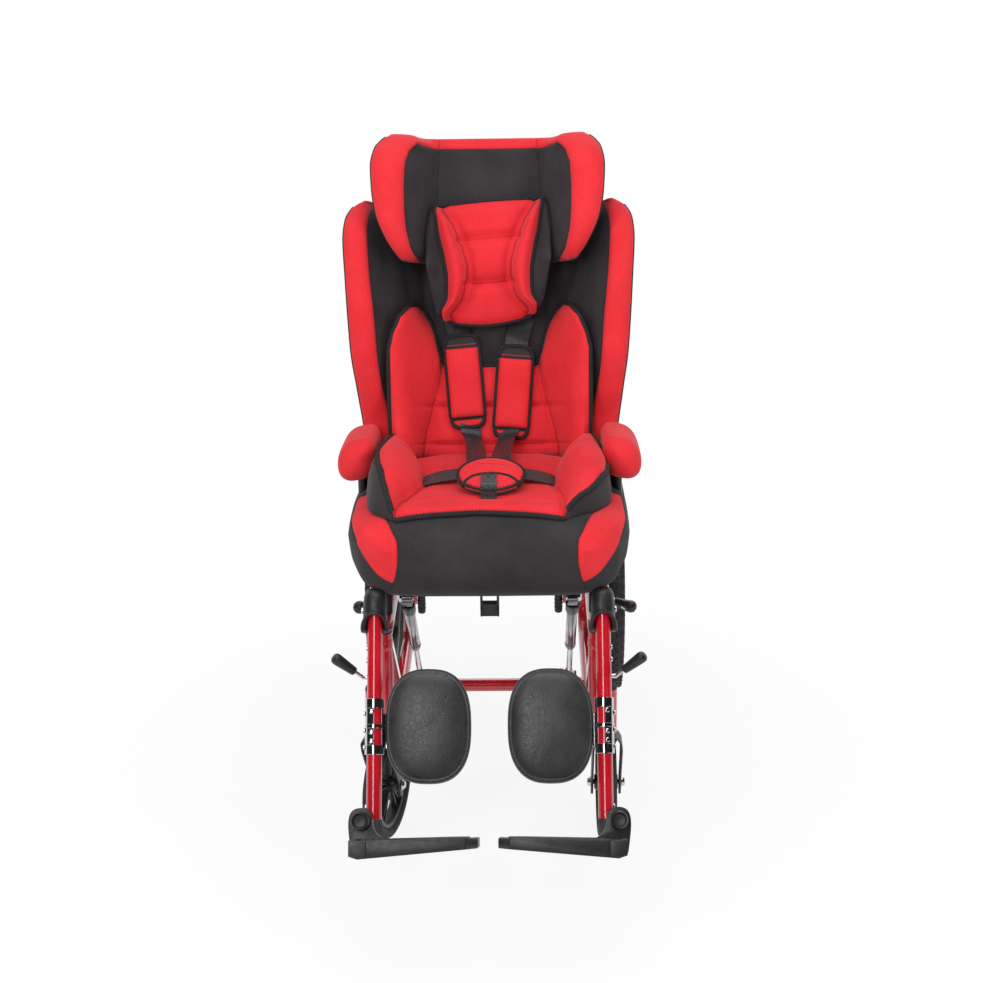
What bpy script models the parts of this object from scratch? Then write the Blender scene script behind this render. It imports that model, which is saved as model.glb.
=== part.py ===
"""Special needs stroller: a tilting base frame that carries a padded child seat with a reclining back."""

import math

import bmesh
import bpy
from mathutils import Matrix, Vector

# Driving sizes in metres; left is -X as seen from the front, the front faces -Y.
MM = 0.001
GAP = 0.3 * MM
PLAY = 1.2 * MM
INSERT_GAP = 0.5 * MM

FRAME_TUBE_R = 11.1 * MM
FRAME_X = 160 * MM
LOWER_RAIL_Z = 130 * MM
UPPER_RAIL_Z = 362 * MM
FRONT_UPRIGHT_Y = -270 * MM
REAR_UPRIGHT_Y = 288 * MM
LOWER_CROSS_Y = 38 * MM

REAR_WHEEL_R = 203 * MM
REAR_TYRE_WIDTH = 44 * MM
REAR_TYRE_HEIGHT = 36 * MM
REAR_WHEEL_X = 206 * MM
REAR_AXLE_Y = 325 * MM
REAR_AXLE_R = 6 * MM

CASTER_R = 88 * MM
CASTER_TYRE_WIDTH = 28 * MM
CASTER_TYRE_HEIGHT = 17 * MM
CASTER_TRAIL = 45 * MM
CASTER_X = 179 * MM
CASTER_STEM_R = 6 * MM
CASTER_HOUSING_R = 14 * MM
LEFT_CASTER_TURN = math.radians(-14)

SEAT_RAIL_X = 168 * MM
SEAT_RAIL_Z = 440 * MM
TILT_PIVOT_Y = 118 * MM
TILT_PIVOT_Z = SEAT_RAIL_Z - 40 * MM
PIVOT_R = 5 * MM
PLATE_T = 5 * MM

KNEE_Y = -312 * MM
LEG_ANGLE = math.radians(30)
LEG_LENGTH = 318 * MM
KNUCKLE_R = 18 * MM

CALF_PAD_WIDTH = 126 * MM
CALF_PAD_HEIGHT = 168 * MM
CALF_PAD_THICKNESS = 30 * MM
CALF_CLAMP_START = 158 * MM
CALF_CLAMP_LENGTH = 64 * MM

FOOT_PIVOT_OUT = 17 * MM
FOOT_PLATE_DEPTH = 128 * MM
FOOT_PLATE_T = 14 * MM
FOOT_PLATE_INNER_X = 14 * MM
FOOT_PIN_R = 6 * MM

GAS_X = 126 * MM
GAS_LOW_Y = 20 * MM
GAS_LOW_Z = 158 * MM
GAS_TOP_Y = -236 * MM
GAS_TOP_Z = SEAT_RAIL_Z - 28 * MM
GAS_ROD_R = 5 * MM
GAS_TUBE_R = 8.5 * MM

BACK_LEAN = math.radians(18)
BACK_Y = 45 * MM
BACK_Z = SEAT_RAIL_Z + 120 * MM
BACK_HEIGHT = 396 * MM
BACK_LOW_S = 2 * MM
BACK_HALF_WIDTH = 230 * MM
BACK_THICKNESS = 48 * MM
WING_DEPTH = 106 * MM
BACK_TUBE_N = -88 * MM
RECLINE_S = -60 * MM
PUSH_BAR_REACH = 130 * MM

HEAD_BOTTOM_S = 296 * MM
HEAD_TOP_S = 498 * MM
HEAD_HALF_WIDTH = 186 * MM
HEAD_THICKNESS = 38 * MM
HEAD_WING_DEPTH = 92 * MM

SEAT_FRONT_Y = -336 * MM
SEAT_REAR_Y = 75 * MM
SEAT_TOP_Z = SEAT_RAIL_Z + 127 * MM
SEAT_LIP = 20 * MM
SEAT_SLOPE = 0.06
SEAT_HALF_WIDTH = 212 * MM
SEAT_PAN_T = 7 * MM
SEAT_CROSS_R = FRAME_TUBE_R * 0.9
SEAT_BOTTOM_Z = SEAT_RAIL_Z + SEAT_CROSS_R + GAP + SEAT_PAN_T + GAP
ARM_X = 209 * MM
ARM_Z = SEAT_TOP_Z + 25 * MM
ARM_HALF_WIDTH = 25 * MM
ARM_HALF_HEIGHT = 40 * MM

WEBBING_WIDTH = 38 * MM
WEBBING_T = 2 * MM
STRAP_X = 37 * MM
SHOULDER_PAD_WIDTH = 56 * MM
SHOULDER_PAD_LENGTH = 116 * MM
SHOULDER_PAD_T = 13 * MM
BUCKLE_T = 13 * MM
BUCKLE_WIDTH = 54 * MM
BUCKLE_LENGTH = 52 * MM
BUCKLE_PAD_WIDTH = 102 * MM
BUCKLE_PAD_LENGTH = 80 * MM
BUCKLE_PAD_T = 24 * MM

for stale in list(bpy.data.objects):
    bpy.data.objects.remove(stale)


# Materials
def finish(name, colour, roughness, metallic):
    material = bpy.data.materials.new(name)
    material.use_nodes = True
    shader = material.node_tree.nodes["Principled BSDF"]
    shader.inputs["Base Color"].default_value = (*colour, 1.0)
    shader.inputs["Roughness"].default_value = roughness
    shader.inputs["Metallic"].default_value = metallic
    return material


RED_PAINT = finish("red_paint", (0.46, 0.005, 0.012), 0.25, 0.0)
CHROME = finish("bright_chrome", (0.78, 0.78, 0.80), 0.12, 1.0)
BLACK_PLASTIC = finish("black_plastic", (0.022, 0.021, 0.022), 0.45, 0.0)
BLACK_RUBBER = finish("black_rubber", (0.018, 0.018, 0.018), 0.8, 0.0)
RED_FABRIC = finish("red_fabric", (0.78, 0.032, 0.04), 0.85, 0.0)
BLACK_FABRIC = finish("black_fabric", (0.035, 0.031, 0.033), 0.9, 0.0)
BLACK_VINYL = finish("black_vinyl", (0.02, 0.019, 0.02), 0.55, 0.0)
WEBBING = finish("black_webbing", (0.015, 0.015, 0.016), 0.7, 0.0)


# Shape makers: each one returns a bmesh in the object's own frame
def spline(points, q):
    """Point at q (0 to 1) on a smooth curve through the given points."""
    last = len(points) - 1
    place = min(max(q, 0.0), 1.0) * last
    i = min(int(place), last - 1)
    f = place - i
    p0 = Vector(points[max(i - 1, 0)])
    p1 = Vector(points[i])
    p2 = Vector(points[i + 1])
    p3 = Vector(points[min(i + 2, last)])
    a = p1 * 2
    b = (p2 - p0) * f
    c = (p0 * 2 - p1 * 5 + p2 * 4 - p3) * f * f
    d = (p1 * 3 - p0 - p2 * 3 + p3) * f * f * f
    return (a + b + c + d) * 0.5


def ramp(points, x):
    """Height at x on a smooth curve through (x, height) pairs."""
    if x <= points[0][0]:
        return points[0][1]
    for (x0, y0), (x1, y1) in zip(points, points[1:]):
        if x <= x1:
            f = (x - x0) / (x1 - x0)
            f = f * f * (3 - 2 * f)
            return y0 + (y1 - y0) * f
    return points[-1][1]


def rounded(points, radius, steps=3):
    """The path with its inner corners turned into arcs."""
    path = [Vector(points[0])]
    for before, corner, after in zip(points, points[1:], points[2:]):
        corner = Vector(corner)
        a = Vector(before) - corner
        b = Vector(after) - corner
        half = a.angle(b) / 2
        cut = min(radius / math.tan(half), a.length * 0.49, b.length * 0.49)
        bow = cut * math.tan(half)
        a.normalize()
        b.normalize()
        middle = corner + (a + b).normalized() * (bow / math.sin(half))
        start = corner + a * cut - middle
        end = corner + b * cut - middle
        for i in range(steps + 1):
            f = i / steps
            path.append(middle + start.normalized().slerp(end.normalized(), f) * bow)
    path.append(Vector(points[-1]))
    return path


def frames(path):
    """A tangent and two cross directions at each point of a path."""
    tangents = []
    for i, point in enumerate(path):
        ahead = path[min(i + 1, len(path) - 1)]
        behind = path[max(i - 1, 0)]
        a = (ahead - point).normalized() if i < len(path) - 1 else Vector((0, 0, 0))
        b = (point - behind).normalized() if i else Vector((0, 0, 0))
        tangents.append((a + b).normalized())
    side = tangents[0].orthogonal().normalized()
    if abs(tangents[0].x) < 0.9:
        side = Vector((1, 0, 0)) - tangents[0] * tangents[0].x
        side.normalize()
    out = []
    for tangent in tangents:
        side = (side - tangent * side.dot(tangent)).normalized()
        out.append((tangent, side, tangent.cross(side)))
    return out


def rings(loops, closed=False):
    """Skin over rings of points; open ends are capped."""
    bm = bmesh.new()
    made = [[bm.verts.new(p) for p in loop] for loop in loops]
    pairs = list(zip(made, made[1:]))
    if closed:
        pairs.append((made[-1], made[0]))
    for a, b in pairs:
        for i in range(len(a)):
            j = (i + 1) % len(a)
            bm.faces.new((a[i], a[j], b[j], b[i]))
    if not closed:
        bm.faces.new(list(reversed(made[0])))
        bm.faces.new(made[-1])
    return bm


def tube(points, radius, sides=10, bend=0.0, steps=3):
    path = rounded(points, bend, steps) if bend else [Vector(p) for p in points]
    loops = []
    for i, (point, (tangent, side, up)) in enumerate(zip(path, frames(path))):
        stretch = 1.0
        if 0 < i < len(path) - 1:
            into = (path[i] - path[i - 1]).normalized()
            stretch = 1.0 / max(into.dot(tangent), 0.5)
        loop = []
        for k in range(sides):
            angle = 2 * math.pi * (k + 0.5) / sides
            loop.append(point + side * math.cos(angle) * radius + up * math.sin(angle) * radius * stretch)
        loops.append(loop)
    return rings(loops)


def turned(profile, centre, axis, sides=24, ring=False):
    """Turned piece: (radius, height) pairs along an axis; ring=True closes the profile on itself."""
    axis = Vector(axis).normalized()
    side = axis.orthogonal().normalized()
    up = axis.cross(side)
    centre = Vector(centre)
    bm = bmesh.new()
    rows = []
    for radius, height in profile:
        if radius <= 1e-9:
            rows.append([bm.verts.new(centre + axis * height)])
            continue
        row = []
        for k in range(sides):
            angle = 2 * math.pi * k / sides
            out = side * math.cos(angle) + up * math.sin(angle)
            row.append(bm.verts.new(centre + axis * height + out * radius))
        rows.append(row)
    pairs = list(zip(rows, rows[1:]))
    if ring:
        pairs.append((rows[-1], rows[0]))
    for a, b in pairs:
        for k in range(sides):
            m = (k + 1) % sides
            if len(a) == 1:
                bm.faces.new((a[0], b[k], b[m]))
            elif len(b) == 1:
                bm.faces.new((a[k], b[0], a[m]))
            else:
                bm.faces.new((a[k], b[k], b[m], a[m]))
    return bm


def clear(radius, sides=10):
    """Radius of a bore whose flats stay a gap away from a round of the given radius."""
    return (radius + GAP) / math.cos(math.pi / sides)


def rod(start, end, radius, sides=10):
    start = Vector(start)
    length = (Vector(end) - start).length
    return turned([(0, 0), (radius, 0), (radius, length), (0, length)], start, Vector(end) - start, sides)


def slab(outline, thickness, normal):
    """Flat plate: outline points in space, made thick along the normal, half to each side."""
    half = Vector(normal).normalized() * (thickness / 2)
    low = [Vector(p) - half for p in outline]
    high = [Vector(p) + half for p in outline]
    return rings([low, high])


def box(centre, size):
    x, y, z = (0.5 * s for s in size)
    c = Vector(centre)
    low = [c + Vector(p) for p in ((-x, -y, -z), (x, -y, -z), (x, y, -z), (-x, y, -z))]
    high = [p + Vector((0, 0, 2 * z)) for p in low]
    return rings([low, high])


def padded(front, back, across, along):
    """Cushion between a front and a back surface, both given over u in -1..1 and v in 0..1."""
    bm = bmesh.new()
    sheets = []
    for surface in (front, back):
        grid = []
        for j in range(along + 1):
            v = 0.5 - 0.5 * math.cos(math.pi * j / along)
            row = []
            for i in range(across + 1):
                u = math.sin(math.pi * (i / across - 0.5))
                row.append(bm.verts.new(surface(u, v)))
            grid.append(row)
        sheets.append(grid)
    for grid in sheets:
        for j in range(along):
            for i in range(across):
                bm.faces.new((grid[j][i], grid[j][i + 1], grid[j + 1][i + 1], grid[j + 1][i]))
    top, under = sheets
    for i in range(across):
        bm.faces.new((top[0][i], top[0][i + 1], under[0][i + 1], under[0][i]))
        bm.faces.new((top[along][i], top[along][i + 1], under[along][i + 1], under[along][i]))
    for j in range(along):
        bm.faces.new((top[j][0], top[j + 1][0], under[j + 1][0], under[j][0]))
        bm.faces.new((top[j][across], top[j + 1][across], under[j + 1][across], under[j][across]))
    return bm


def domed(outline, middle, levels):
    """Cushion over an outline: each level is (share of the outline, shift vector)."""
    middle = Vector(middle)
    loops = []
    for share, shift in levels:
        loops.append([middle + (Vector(p) - middle) * share + Vector(shift) for p in outline])
    return rings(loops)


def ribbon(path, width, thickness, sideways=(1, 0, 0)):
    """Flat webbing along a path."""
    side = Vector(sideways)
    loops = []
    points = [Vector(p) for p in path]
    for point, (tangent, _, _) in zip(points, frames(points)):
        across = (side - tangent * side.dot(tangent)).normalized() * (width / 2)
        lift = tangent.cross(across).normalized() * (thickness / 2)
        low = point - lift
        high = point + lift
        loops.append([low - across, low + across, high + across, high - across])
    return rings(loops)


def oval(centre, e1, e2, a, b, count=24, power=2.0):
    """Outline of an oval or, with a higher power, of a rounded rectangle."""
    out = []
    for k in range(count):
        angle = 2 * math.pi * (k + 0.5) / count
        c = math.cos(angle)
        s = math.sin(angle)
        x = a * math.copysign(abs(c) ** (2 / power), c)
        y = b * math.copysign(abs(s) ** (2 / power), s)
        out.append(Vector(centre) + Vector(e1) * x + Vector(e2) * y)
    return out


# Putting shapes together
def to_object(name, bm):
    bmesh.ops.remove_doubles(bm, verts=bm.verts, dist=2e-6)
    bmesh.ops.dissolve_degenerate(bm, edges=bm.edges, dist=1e-6)
    bmesh.ops.recalc_face_normals(bm, faces=bm.faces)
    if bm.calc_volume(signed=True) < 0:
        bmesh.ops.reverse_faces(bm, faces=bm.faces)
    mesh = bpy.data.meshes.new(name)
    bm.to_mesh(mesh)
    bm.free()
    item = bpy.data.objects.new(name, mesh)
    bpy.context.scene.collection.objects.link(item)
    return item


def welded(first, added=(), cut=()):
    """One solid: the first shape with others added and cut away."""
    base = to_object("base_shape", first)
    for kind, shapes in (("UNION", added), ("DIFFERENCE", cut)):
        for shape in shapes:
            tool = to_object("tool_shape", shape)
            step = base.modifiers.new(kind, "BOOLEAN")
            step.operation = kind
            step.solver = "EXACT"
            step.object = tool
            bpy.context.view_layer.update()
            made = bpy.data.meshes.new_from_object(base.evaluated_get(bpy.context.evaluated_depsgraph_get()))
            base.modifiers.remove(step)
            base.data = made
            bpy.data.objects.remove(tool)
    bm = bmesh.new()
    bm.from_mesh(base.data)
    bpy.data.objects.remove(base)
    bmesh.ops.remove_doubles(bm, verts=bm.verts, dist=1e-5)
    return bm


def body(name, point, parent=None):
    """Empty on a joint axis that carries the pieces moving with it."""
    carrier = bpy.data.objects.new(name, None)
    carrier.empty_display_size = 0.03
    bpy.context.scene.collection.objects.link(carrier)
    if parent:
        carrier.parent = parent
        spot = Vector(point) - Vector(parent["spot"])
        carrier.location = spot
    else:
        carrier.location = Vector(point) - Vector((0, MIDDLE_Y, 0))
    carrier["spot"] = tuple(point)
    return carrier


def piece(name, bm, material, carrier):
    spot = Vector(carrier["spot"])
    for vert in bm.verts:
        vert.co -= spot
    item = to_object(name, bm)
    item.data.materials.append(material)
    item.data.shade_smooth()
    item.data.set_sharp_from_angle(angle=math.radians(32))
    item.parent = carrier
    return item


def swivelled(bm, centre, angle):
    """The shape turned about an upright axis through a point."""
    bmesh.ops.rotate(bm, verts=bm.verts, cent=Vector(centre), matrix=Matrix.Rotation(angle, 3, "Z"))
    return bm


def on_back(x, s, n):
    """Point on the leaning back: s up along it, n forward of its middle surface."""
    y = BACK_Y + s * math.sin(BACK_LEAN) - n * math.cos(BACK_LEAN)
    z = BACK_Z + s * math.cos(BACK_LEAN) + n * math.sin(BACK_LEAN)
    return Vector((x, y, z))


def on_leg(x, t, f):
    """Point on a legrest: t down along the tube from the knee, f forward of its axis."""
    y = KNEE_Y - t * math.sin(LEG_ANGLE) - f * math.cos(LEG_ANGLE)
    z = SEAT_RAIL_Z - t * math.cos(LEG_ANGLE) + f * math.sin(LEG_ANGLE)
    return Vector((x, y, z))


LEG_DOWN = Vector((0, -math.sin(LEG_ANGLE), -math.cos(LEG_ANGLE)))
LEG_FORWARD = Vector((0, -math.cos(LEG_ANGLE), math.sin(LEG_ANGLE)))
BACK_UP = Vector((0, math.sin(BACK_LEAN), math.cos(BACK_LEAN)))
BACK_FORWARD = Vector((0, -math.cos(BACK_LEAN), math.sin(BACK_LEAN)))
X_AXIS = Vector((1, 0, 0))
Y_AXIS = Vector((0, 1, 0))
Z_AXIS = Vector((0, 0, 1))
SIDES = (("left", -1), ("right", 1))

# The object's middle, halfway from the footplates to the back of the rear wheels, becomes the origin
CLAMP_R = FRAME_TUBE_R + 3 * MM
FOOT_T = LEG_LENGTH + 2 * MM
FOOT_LUG_F = CLAMP_R - 1 * MM
FOOT_LUG_THICK = 13 * MM
FOOT_PLATE_F = FOOT_LUG_F + 1 * MM
FOOT_PLATE_LOW_T = FOOT_T + 51 * MM
FRONT_Y = on_leg(0, FOOT_PLATE_LOW_T, FOOT_PLATE_F + FOOT_PLATE_DEPTH).y
MIDDLE_Y = (FRONT_Y + REAR_AXLE_Y + REAR_WHEEL_R) / 2

BASE = body("base", (0, 0, 0))
SEAT = body("seat", (0, TILT_PIVOT_Y, TILT_PIVOT_Z))
RECLINE = on_back(0, RECLINE_S, BACK_TUBE_N)
BACK = body("back", RECLINE, SEAT)
HEAD = body("head", on_back(0, HEAD_BOTTOM_S, 0), BACK)

# Where the recline plates and the back tubes stand, from the seat rails inward
RECLINE_PLATE_X = SEAT_RAIL_X - FRAME_TUBE_R * 0.55
BACK_TUBE_X = RECLINE_PLATE_X - PLATE_T / 2 - PLAY - FRAME_TUBE_R

# Side frames: bent tube loop, front upright, caster housing, axle plate, tilt bearing and brake bracket
HOUSING_LOW_Z = 2 * CASTER_R + 24 * MM
HOUSING_HIGH_Z = HOUSING_LOW_Z + 76 * MM
TILT_PLATE_X = FRAME_X - 2 * MM
SEAT_PLATE_X = TILT_PLATE_X + PLATE_T + PLAY
BRAKE_Y = REAR_AXLE_Y - REAR_WHEEL_R - 34 * MM
BRAKE_Z = UPPER_RAIL_Z - 34 * MM
BRAKE_X = FRAME_X + FRAME_TUBE_R + 10 * MM
BUMPER_TOP_Z = SEAT_RAIL_Z - FRAME_TUBE_R - GAP
for side_name, side in SIDES:
    x = side * FRAME_X
    loop = tube(
        [
            (x, FRONT_UPRIGHT_Y, UPPER_RAIL_Z - 90 * MM),
            (x, FRONT_UPRIGHT_Y + 150 * MM, LOWER_RAIL_Z),
            (x, REAR_UPRIGHT_Y, LOWER_RAIL_Z),
            (x, REAR_UPRIGHT_Y, UPPER_RAIL_Z),
            (x, FRONT_UPRIGHT_Y, UPPER_RAIL_Z),
        ],
        FRAME_TUBE_R,
        bend=55 * MM,
    )
    upright = tube(
        [(x, FRONT_UPRIGHT_Y, UPPER_RAIL_Z + 15 * MM), (x, FRONT_UPRIGHT_Y, HOUSING_LOW_Z + 12 * MM)],
        FRAME_TUBE_R * 1.03,
    )
    housing = rod(
        (side * CASTER_X, FRONT_UPRIGHT_Y, HOUSING_LOW_Z),
        (side * CASTER_X, FRONT_UPRIGHT_Y, HOUSING_HIGH_Z),
        CASTER_HOUSING_R,
    )
    bore = rod(
        (side * CASTER_X, FRONT_UPRIGHT_Y, HOUSING_LOW_Z - 0.01),
        (side * CASTER_X, FRONT_UPRIGHT_Y, HOUSING_HIGH_Z - 8 * MM),
        clear(CASTER_STEM_R),
    )
    axle_plate = slab(
        oval((x, REAR_AXLE_Y - 8 * MM, REAR_WHEEL_R), Y_AXIS, Z_AXIS, 38 * MM, 36 * MM, 16, 4.0),
        8 * MM,
        X_AXIS,
    )
    axle_hole = rod(
        (x - 0.02, REAR_AXLE_Y, REAR_WHEEL_R), (x + 0.02, REAR_AXLE_Y, REAR_WHEEL_R), clear(REAR_AXLE_R)
    )
    bearing_low = UPPER_RAIL_Z
    bearing = slab(
        [
            (side * TILT_PLATE_X, TILT_PIVOT_Y - 26 * MM, bearing_low),
            (side * TILT_PLATE_X, TILT_PIVOT_Y + 26 * MM, bearing_low),
            (side * TILT_PLATE_X, TILT_PIVOT_Y + 13 * MM, TILT_PIVOT_Z + 9 * MM),
            (side * TILT_PLATE_X, TILT_PIVOT_Y + 6 * MM, TILT_PIVOT_Z + 14 * MM),
            (side * TILT_PLATE_X, TILT_PIVOT_Y - 6 * MM, TILT_PIVOT_Z + 14 * MM),
            (side * TILT_PLATE_X, TILT_PIVOT_Y - 13 * MM, TILT_PIVOT_Z + 9 * MM),
        ],
        PLATE_T,
        X_AXIS,
    )
    pin = rod(
        (side * TILT_PLATE_X, TILT_PIVOT_Y, TILT_PIVOT_Z),
        (side * (SEAT_PLATE_X + PLATE_T / 2 + 4 * MM), TILT_PIVOT_Y, TILT_PIVOT_Z),
        PIVOT_R,
    )
    bumper = rod(
        (x, FRONT_UPRIGHT_Y + 70 * MM, UPPER_RAIL_Z), (x, FRONT_UPRIGHT_Y + 70 * MM, BUMPER_TOP_Z), 8 * MM, 12
    )
    bracket = box(
        (side * (FRAME_X + BRAKE_X - PLATE_T) / 2, BRAKE_Y, (BRAKE_Z + UPPER_RAIL_Z) / 2 - 3 * MM),
        (BRAKE_X - PLATE_T - FRAME_X, 30 * MM, 54 * MM),
    )
    brake_pin = rod(
        (side * (BRAKE_X - PLATE_T - 4 * MM), BRAKE_Y, BRAKE_Z),
        (side * (BRAKE_X + PLATE_T), BRAKE_Y, BRAKE_Z),
        PIVOT_R,
    )
    brace = slab(
        [
            (x, FRONT_UPRIGHT_Y + 18 * MM, UPPER_RAIL_Z - 2 * MM),
            (x, FRONT_UPRIGHT_Y + 34 * MM, UPPER_RAIL_Z - 2 * MM),
            (x, LOWER_CROSS_Y - 40 * MM, LOWER_RAIL_Z + 4 * MM),
            (x, LOWER_CROSS_Y - 58 * MM, LOWER_RAIL_Z + 4 * MM),
        ],
        14 * MM,
        X_AXIS,
    )
    frame = welded(
        loop,
        [upright, housing, axle_plate, bearing, pin, bumper, bracket, brake_pin, brace],
        [bore, axle_hole],
    )
    piece(f"{side_name}_side_frame", frame, RED_PAINT, BASE)

# Lower cross tube with lugs for the gas springs, and the rear axle
CROSS_END_X = FRAME_X - FRAME_TUBE_R - GAP
lugs = []
for side_name, side in SIDES:
    lug_x = side * (GAS_X - 12 * MM)
    lugs.append(
        slab(
            [
                (lug_x, LOWER_CROSS_Y - 8 * MM, LOWER_RAIL_Z),
                (lug_x, LOWER_CROSS_Y + 9 * MM, LOWER_RAIL_Z),
                (lug_x, GAS_LOW_Y + 10 * MM, GAS_LOW_Z + 4 * MM),
                (lug_x, GAS_LOW_Y + 4 * MM, GAS_LOW_Z + 10 * MM),
                (lug_x, GAS_LOW_Y - 6 * MM, GAS_LOW_Z + 9 * MM),
                (lug_x, GAS_LOW_Y - 10 * MM, GAS_LOW_Z - 3 * MM),
            ],
            PLATE_T,
            X_AXIS,
        )
    )
    lugs.append(
        rod((lug_x, GAS_LOW_Y, GAS_LOW_Z), (side * (GAS_X + 11 * MM), GAS_LOW_Y, GAS_LOW_Z), 4 * MM, 12)
    )
cross = tube(
    [(-CROSS_END_X, LOWER_CROSS_Y, LOWER_RAIL_Z), (CROSS_END_X, LOWER_CROSS_Y, LOWER_RAIL_Z)],
    FRAME_TUBE_R,
)
piece("lower_cross_tube", welded(cross, lugs), RED_PAINT, BASE)

AXLE_SHOULDER_X = FRAME_X - 4 * MM - GAP
HUB_IN_X = FRAME_X + FRAME_TUBE_R + 3 * MM
HUB_OUT_X = REAR_WHEEL_X + REAR_TYRE_WIDTH / 2 - 3 * MM
axle_profile = [
    (0, -HUB_OUT_X - 9 * MM),
    (8 * MM, -HUB_OUT_X - 9 * MM),
    (10 * MM, -HUB_OUT_X - 6 * MM),
    (10 * MM, -HUB_OUT_X - PLAY),
    (REAR_AXLE_R, -HUB_OUT_X - PLAY),
    (REAR_AXLE_R, -AXLE_SHOULDER_X),
    (10 * MM, -AXLE_SHOULDER_X),
]
axle_profile += [(r, -h) for r, h in reversed(axle_profile)]
piece("rear_axle", turned(axle_profile, (0, REAR_AXLE_Y, REAR_WHEEL_R), X_AXIS, 10), CHROME, BASE)


# Wheels: a tyre section turned around the axle, and a rim with hub and spokes
def tyre_profile(radius, width, height, sides):
    half = width / 2
    inner = radius - height
    # Faces, not corners, lie at the rolling radius, so the wheel stands on a flat
    radius = radius / math.cos(math.pi / sides)
    return [
        (inner, -half * 0.6),
        (inner + height * 0.45, -half),
        (radius - height * 0.18, -half * 0.84),
        (radius, -half * 0.38),
        (radius, half * 0.38),
        (radius - height * 0.18, half * 0.84),
        (inner + height * 0.45, half),
        (inner, half * 0.6),
    ]


def spoked_rim(centre, outer, width, hub_r, hub_in, hub_out, bore_r, spokes, spoke_width, direction):
    axis = X_AXIS * direction
    centre = Vector(centre)
    depth = 14 * MM if outer > 0.1 else 7 * MM
    ring = turned(
        [(outer - depth, -width / 2), (outer, -width / 2), (outer, width / 2), (outer - depth, width / 2)],
        centre,
        axis,
        28 if outer > 0.1 else 20,
        True,
    )
    hub = [(bore_r, hub_in), (hub_r, hub_in), (hub_r, hub_out), (bore_r, hub_out)]
    parts = [turned(hub, centre, axis, 10, True)]
    for k in range(spokes):
        angle = 2 * math.pi * (k + 0.29) / spokes
        out = Y_AXIS * math.cos(angle) + Z_AXIS * math.sin(angle)
        along = axis.cross(out)
        near = centre + out * hub_r * 0.6
        far = centre + out * (outer - depth + 3 * MM)
        loops = []
        for point, share in ((near, 1.0), (far, 0.7)):
            w = along * (spoke_width * share / 2)
            h = axis * (min(width, hub_out - hub_in) * 0.32 * share)
            loops.append([point - w - h, point + w - h, point + w + h, point - w + h])
        parts.append(rings(loops))
    return welded(ring, parts)


for side_name, side in SIDES:
    spot = (side * REAR_WHEEL_X, REAR_AXLE_Y, REAR_WHEEL_R)
    wheel = body(f"{side_name}_rear_wheel", spot, BASE)
    piece(
        f"{side_name}_rear_tyre",
        turned(tyre_profile(REAR_WHEEL_R, REAR_TYRE_WIDTH, REAR_TYRE_HEIGHT, 28), spot, X_AXIS, 28, True),
        BLACK_RUBBER,
        wheel,
    )
    rim = spoked_rim(
        spot,
        REAR_WHEEL_R - REAR_TYRE_HEIGHT - GAP,
        REAR_TYRE_WIDTH * 0.62,
        25 * MM,
        HUB_IN_X - REAR_WHEEL_X,
        HUB_OUT_X - REAR_WHEEL_X,
        clear(REAR_AXLE_R),
        8,
        17 * MM,
        side,
    )
    piece(f"{side_name}_rear_rim", rim, BLACK_PLASTIC, wheel)

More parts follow.
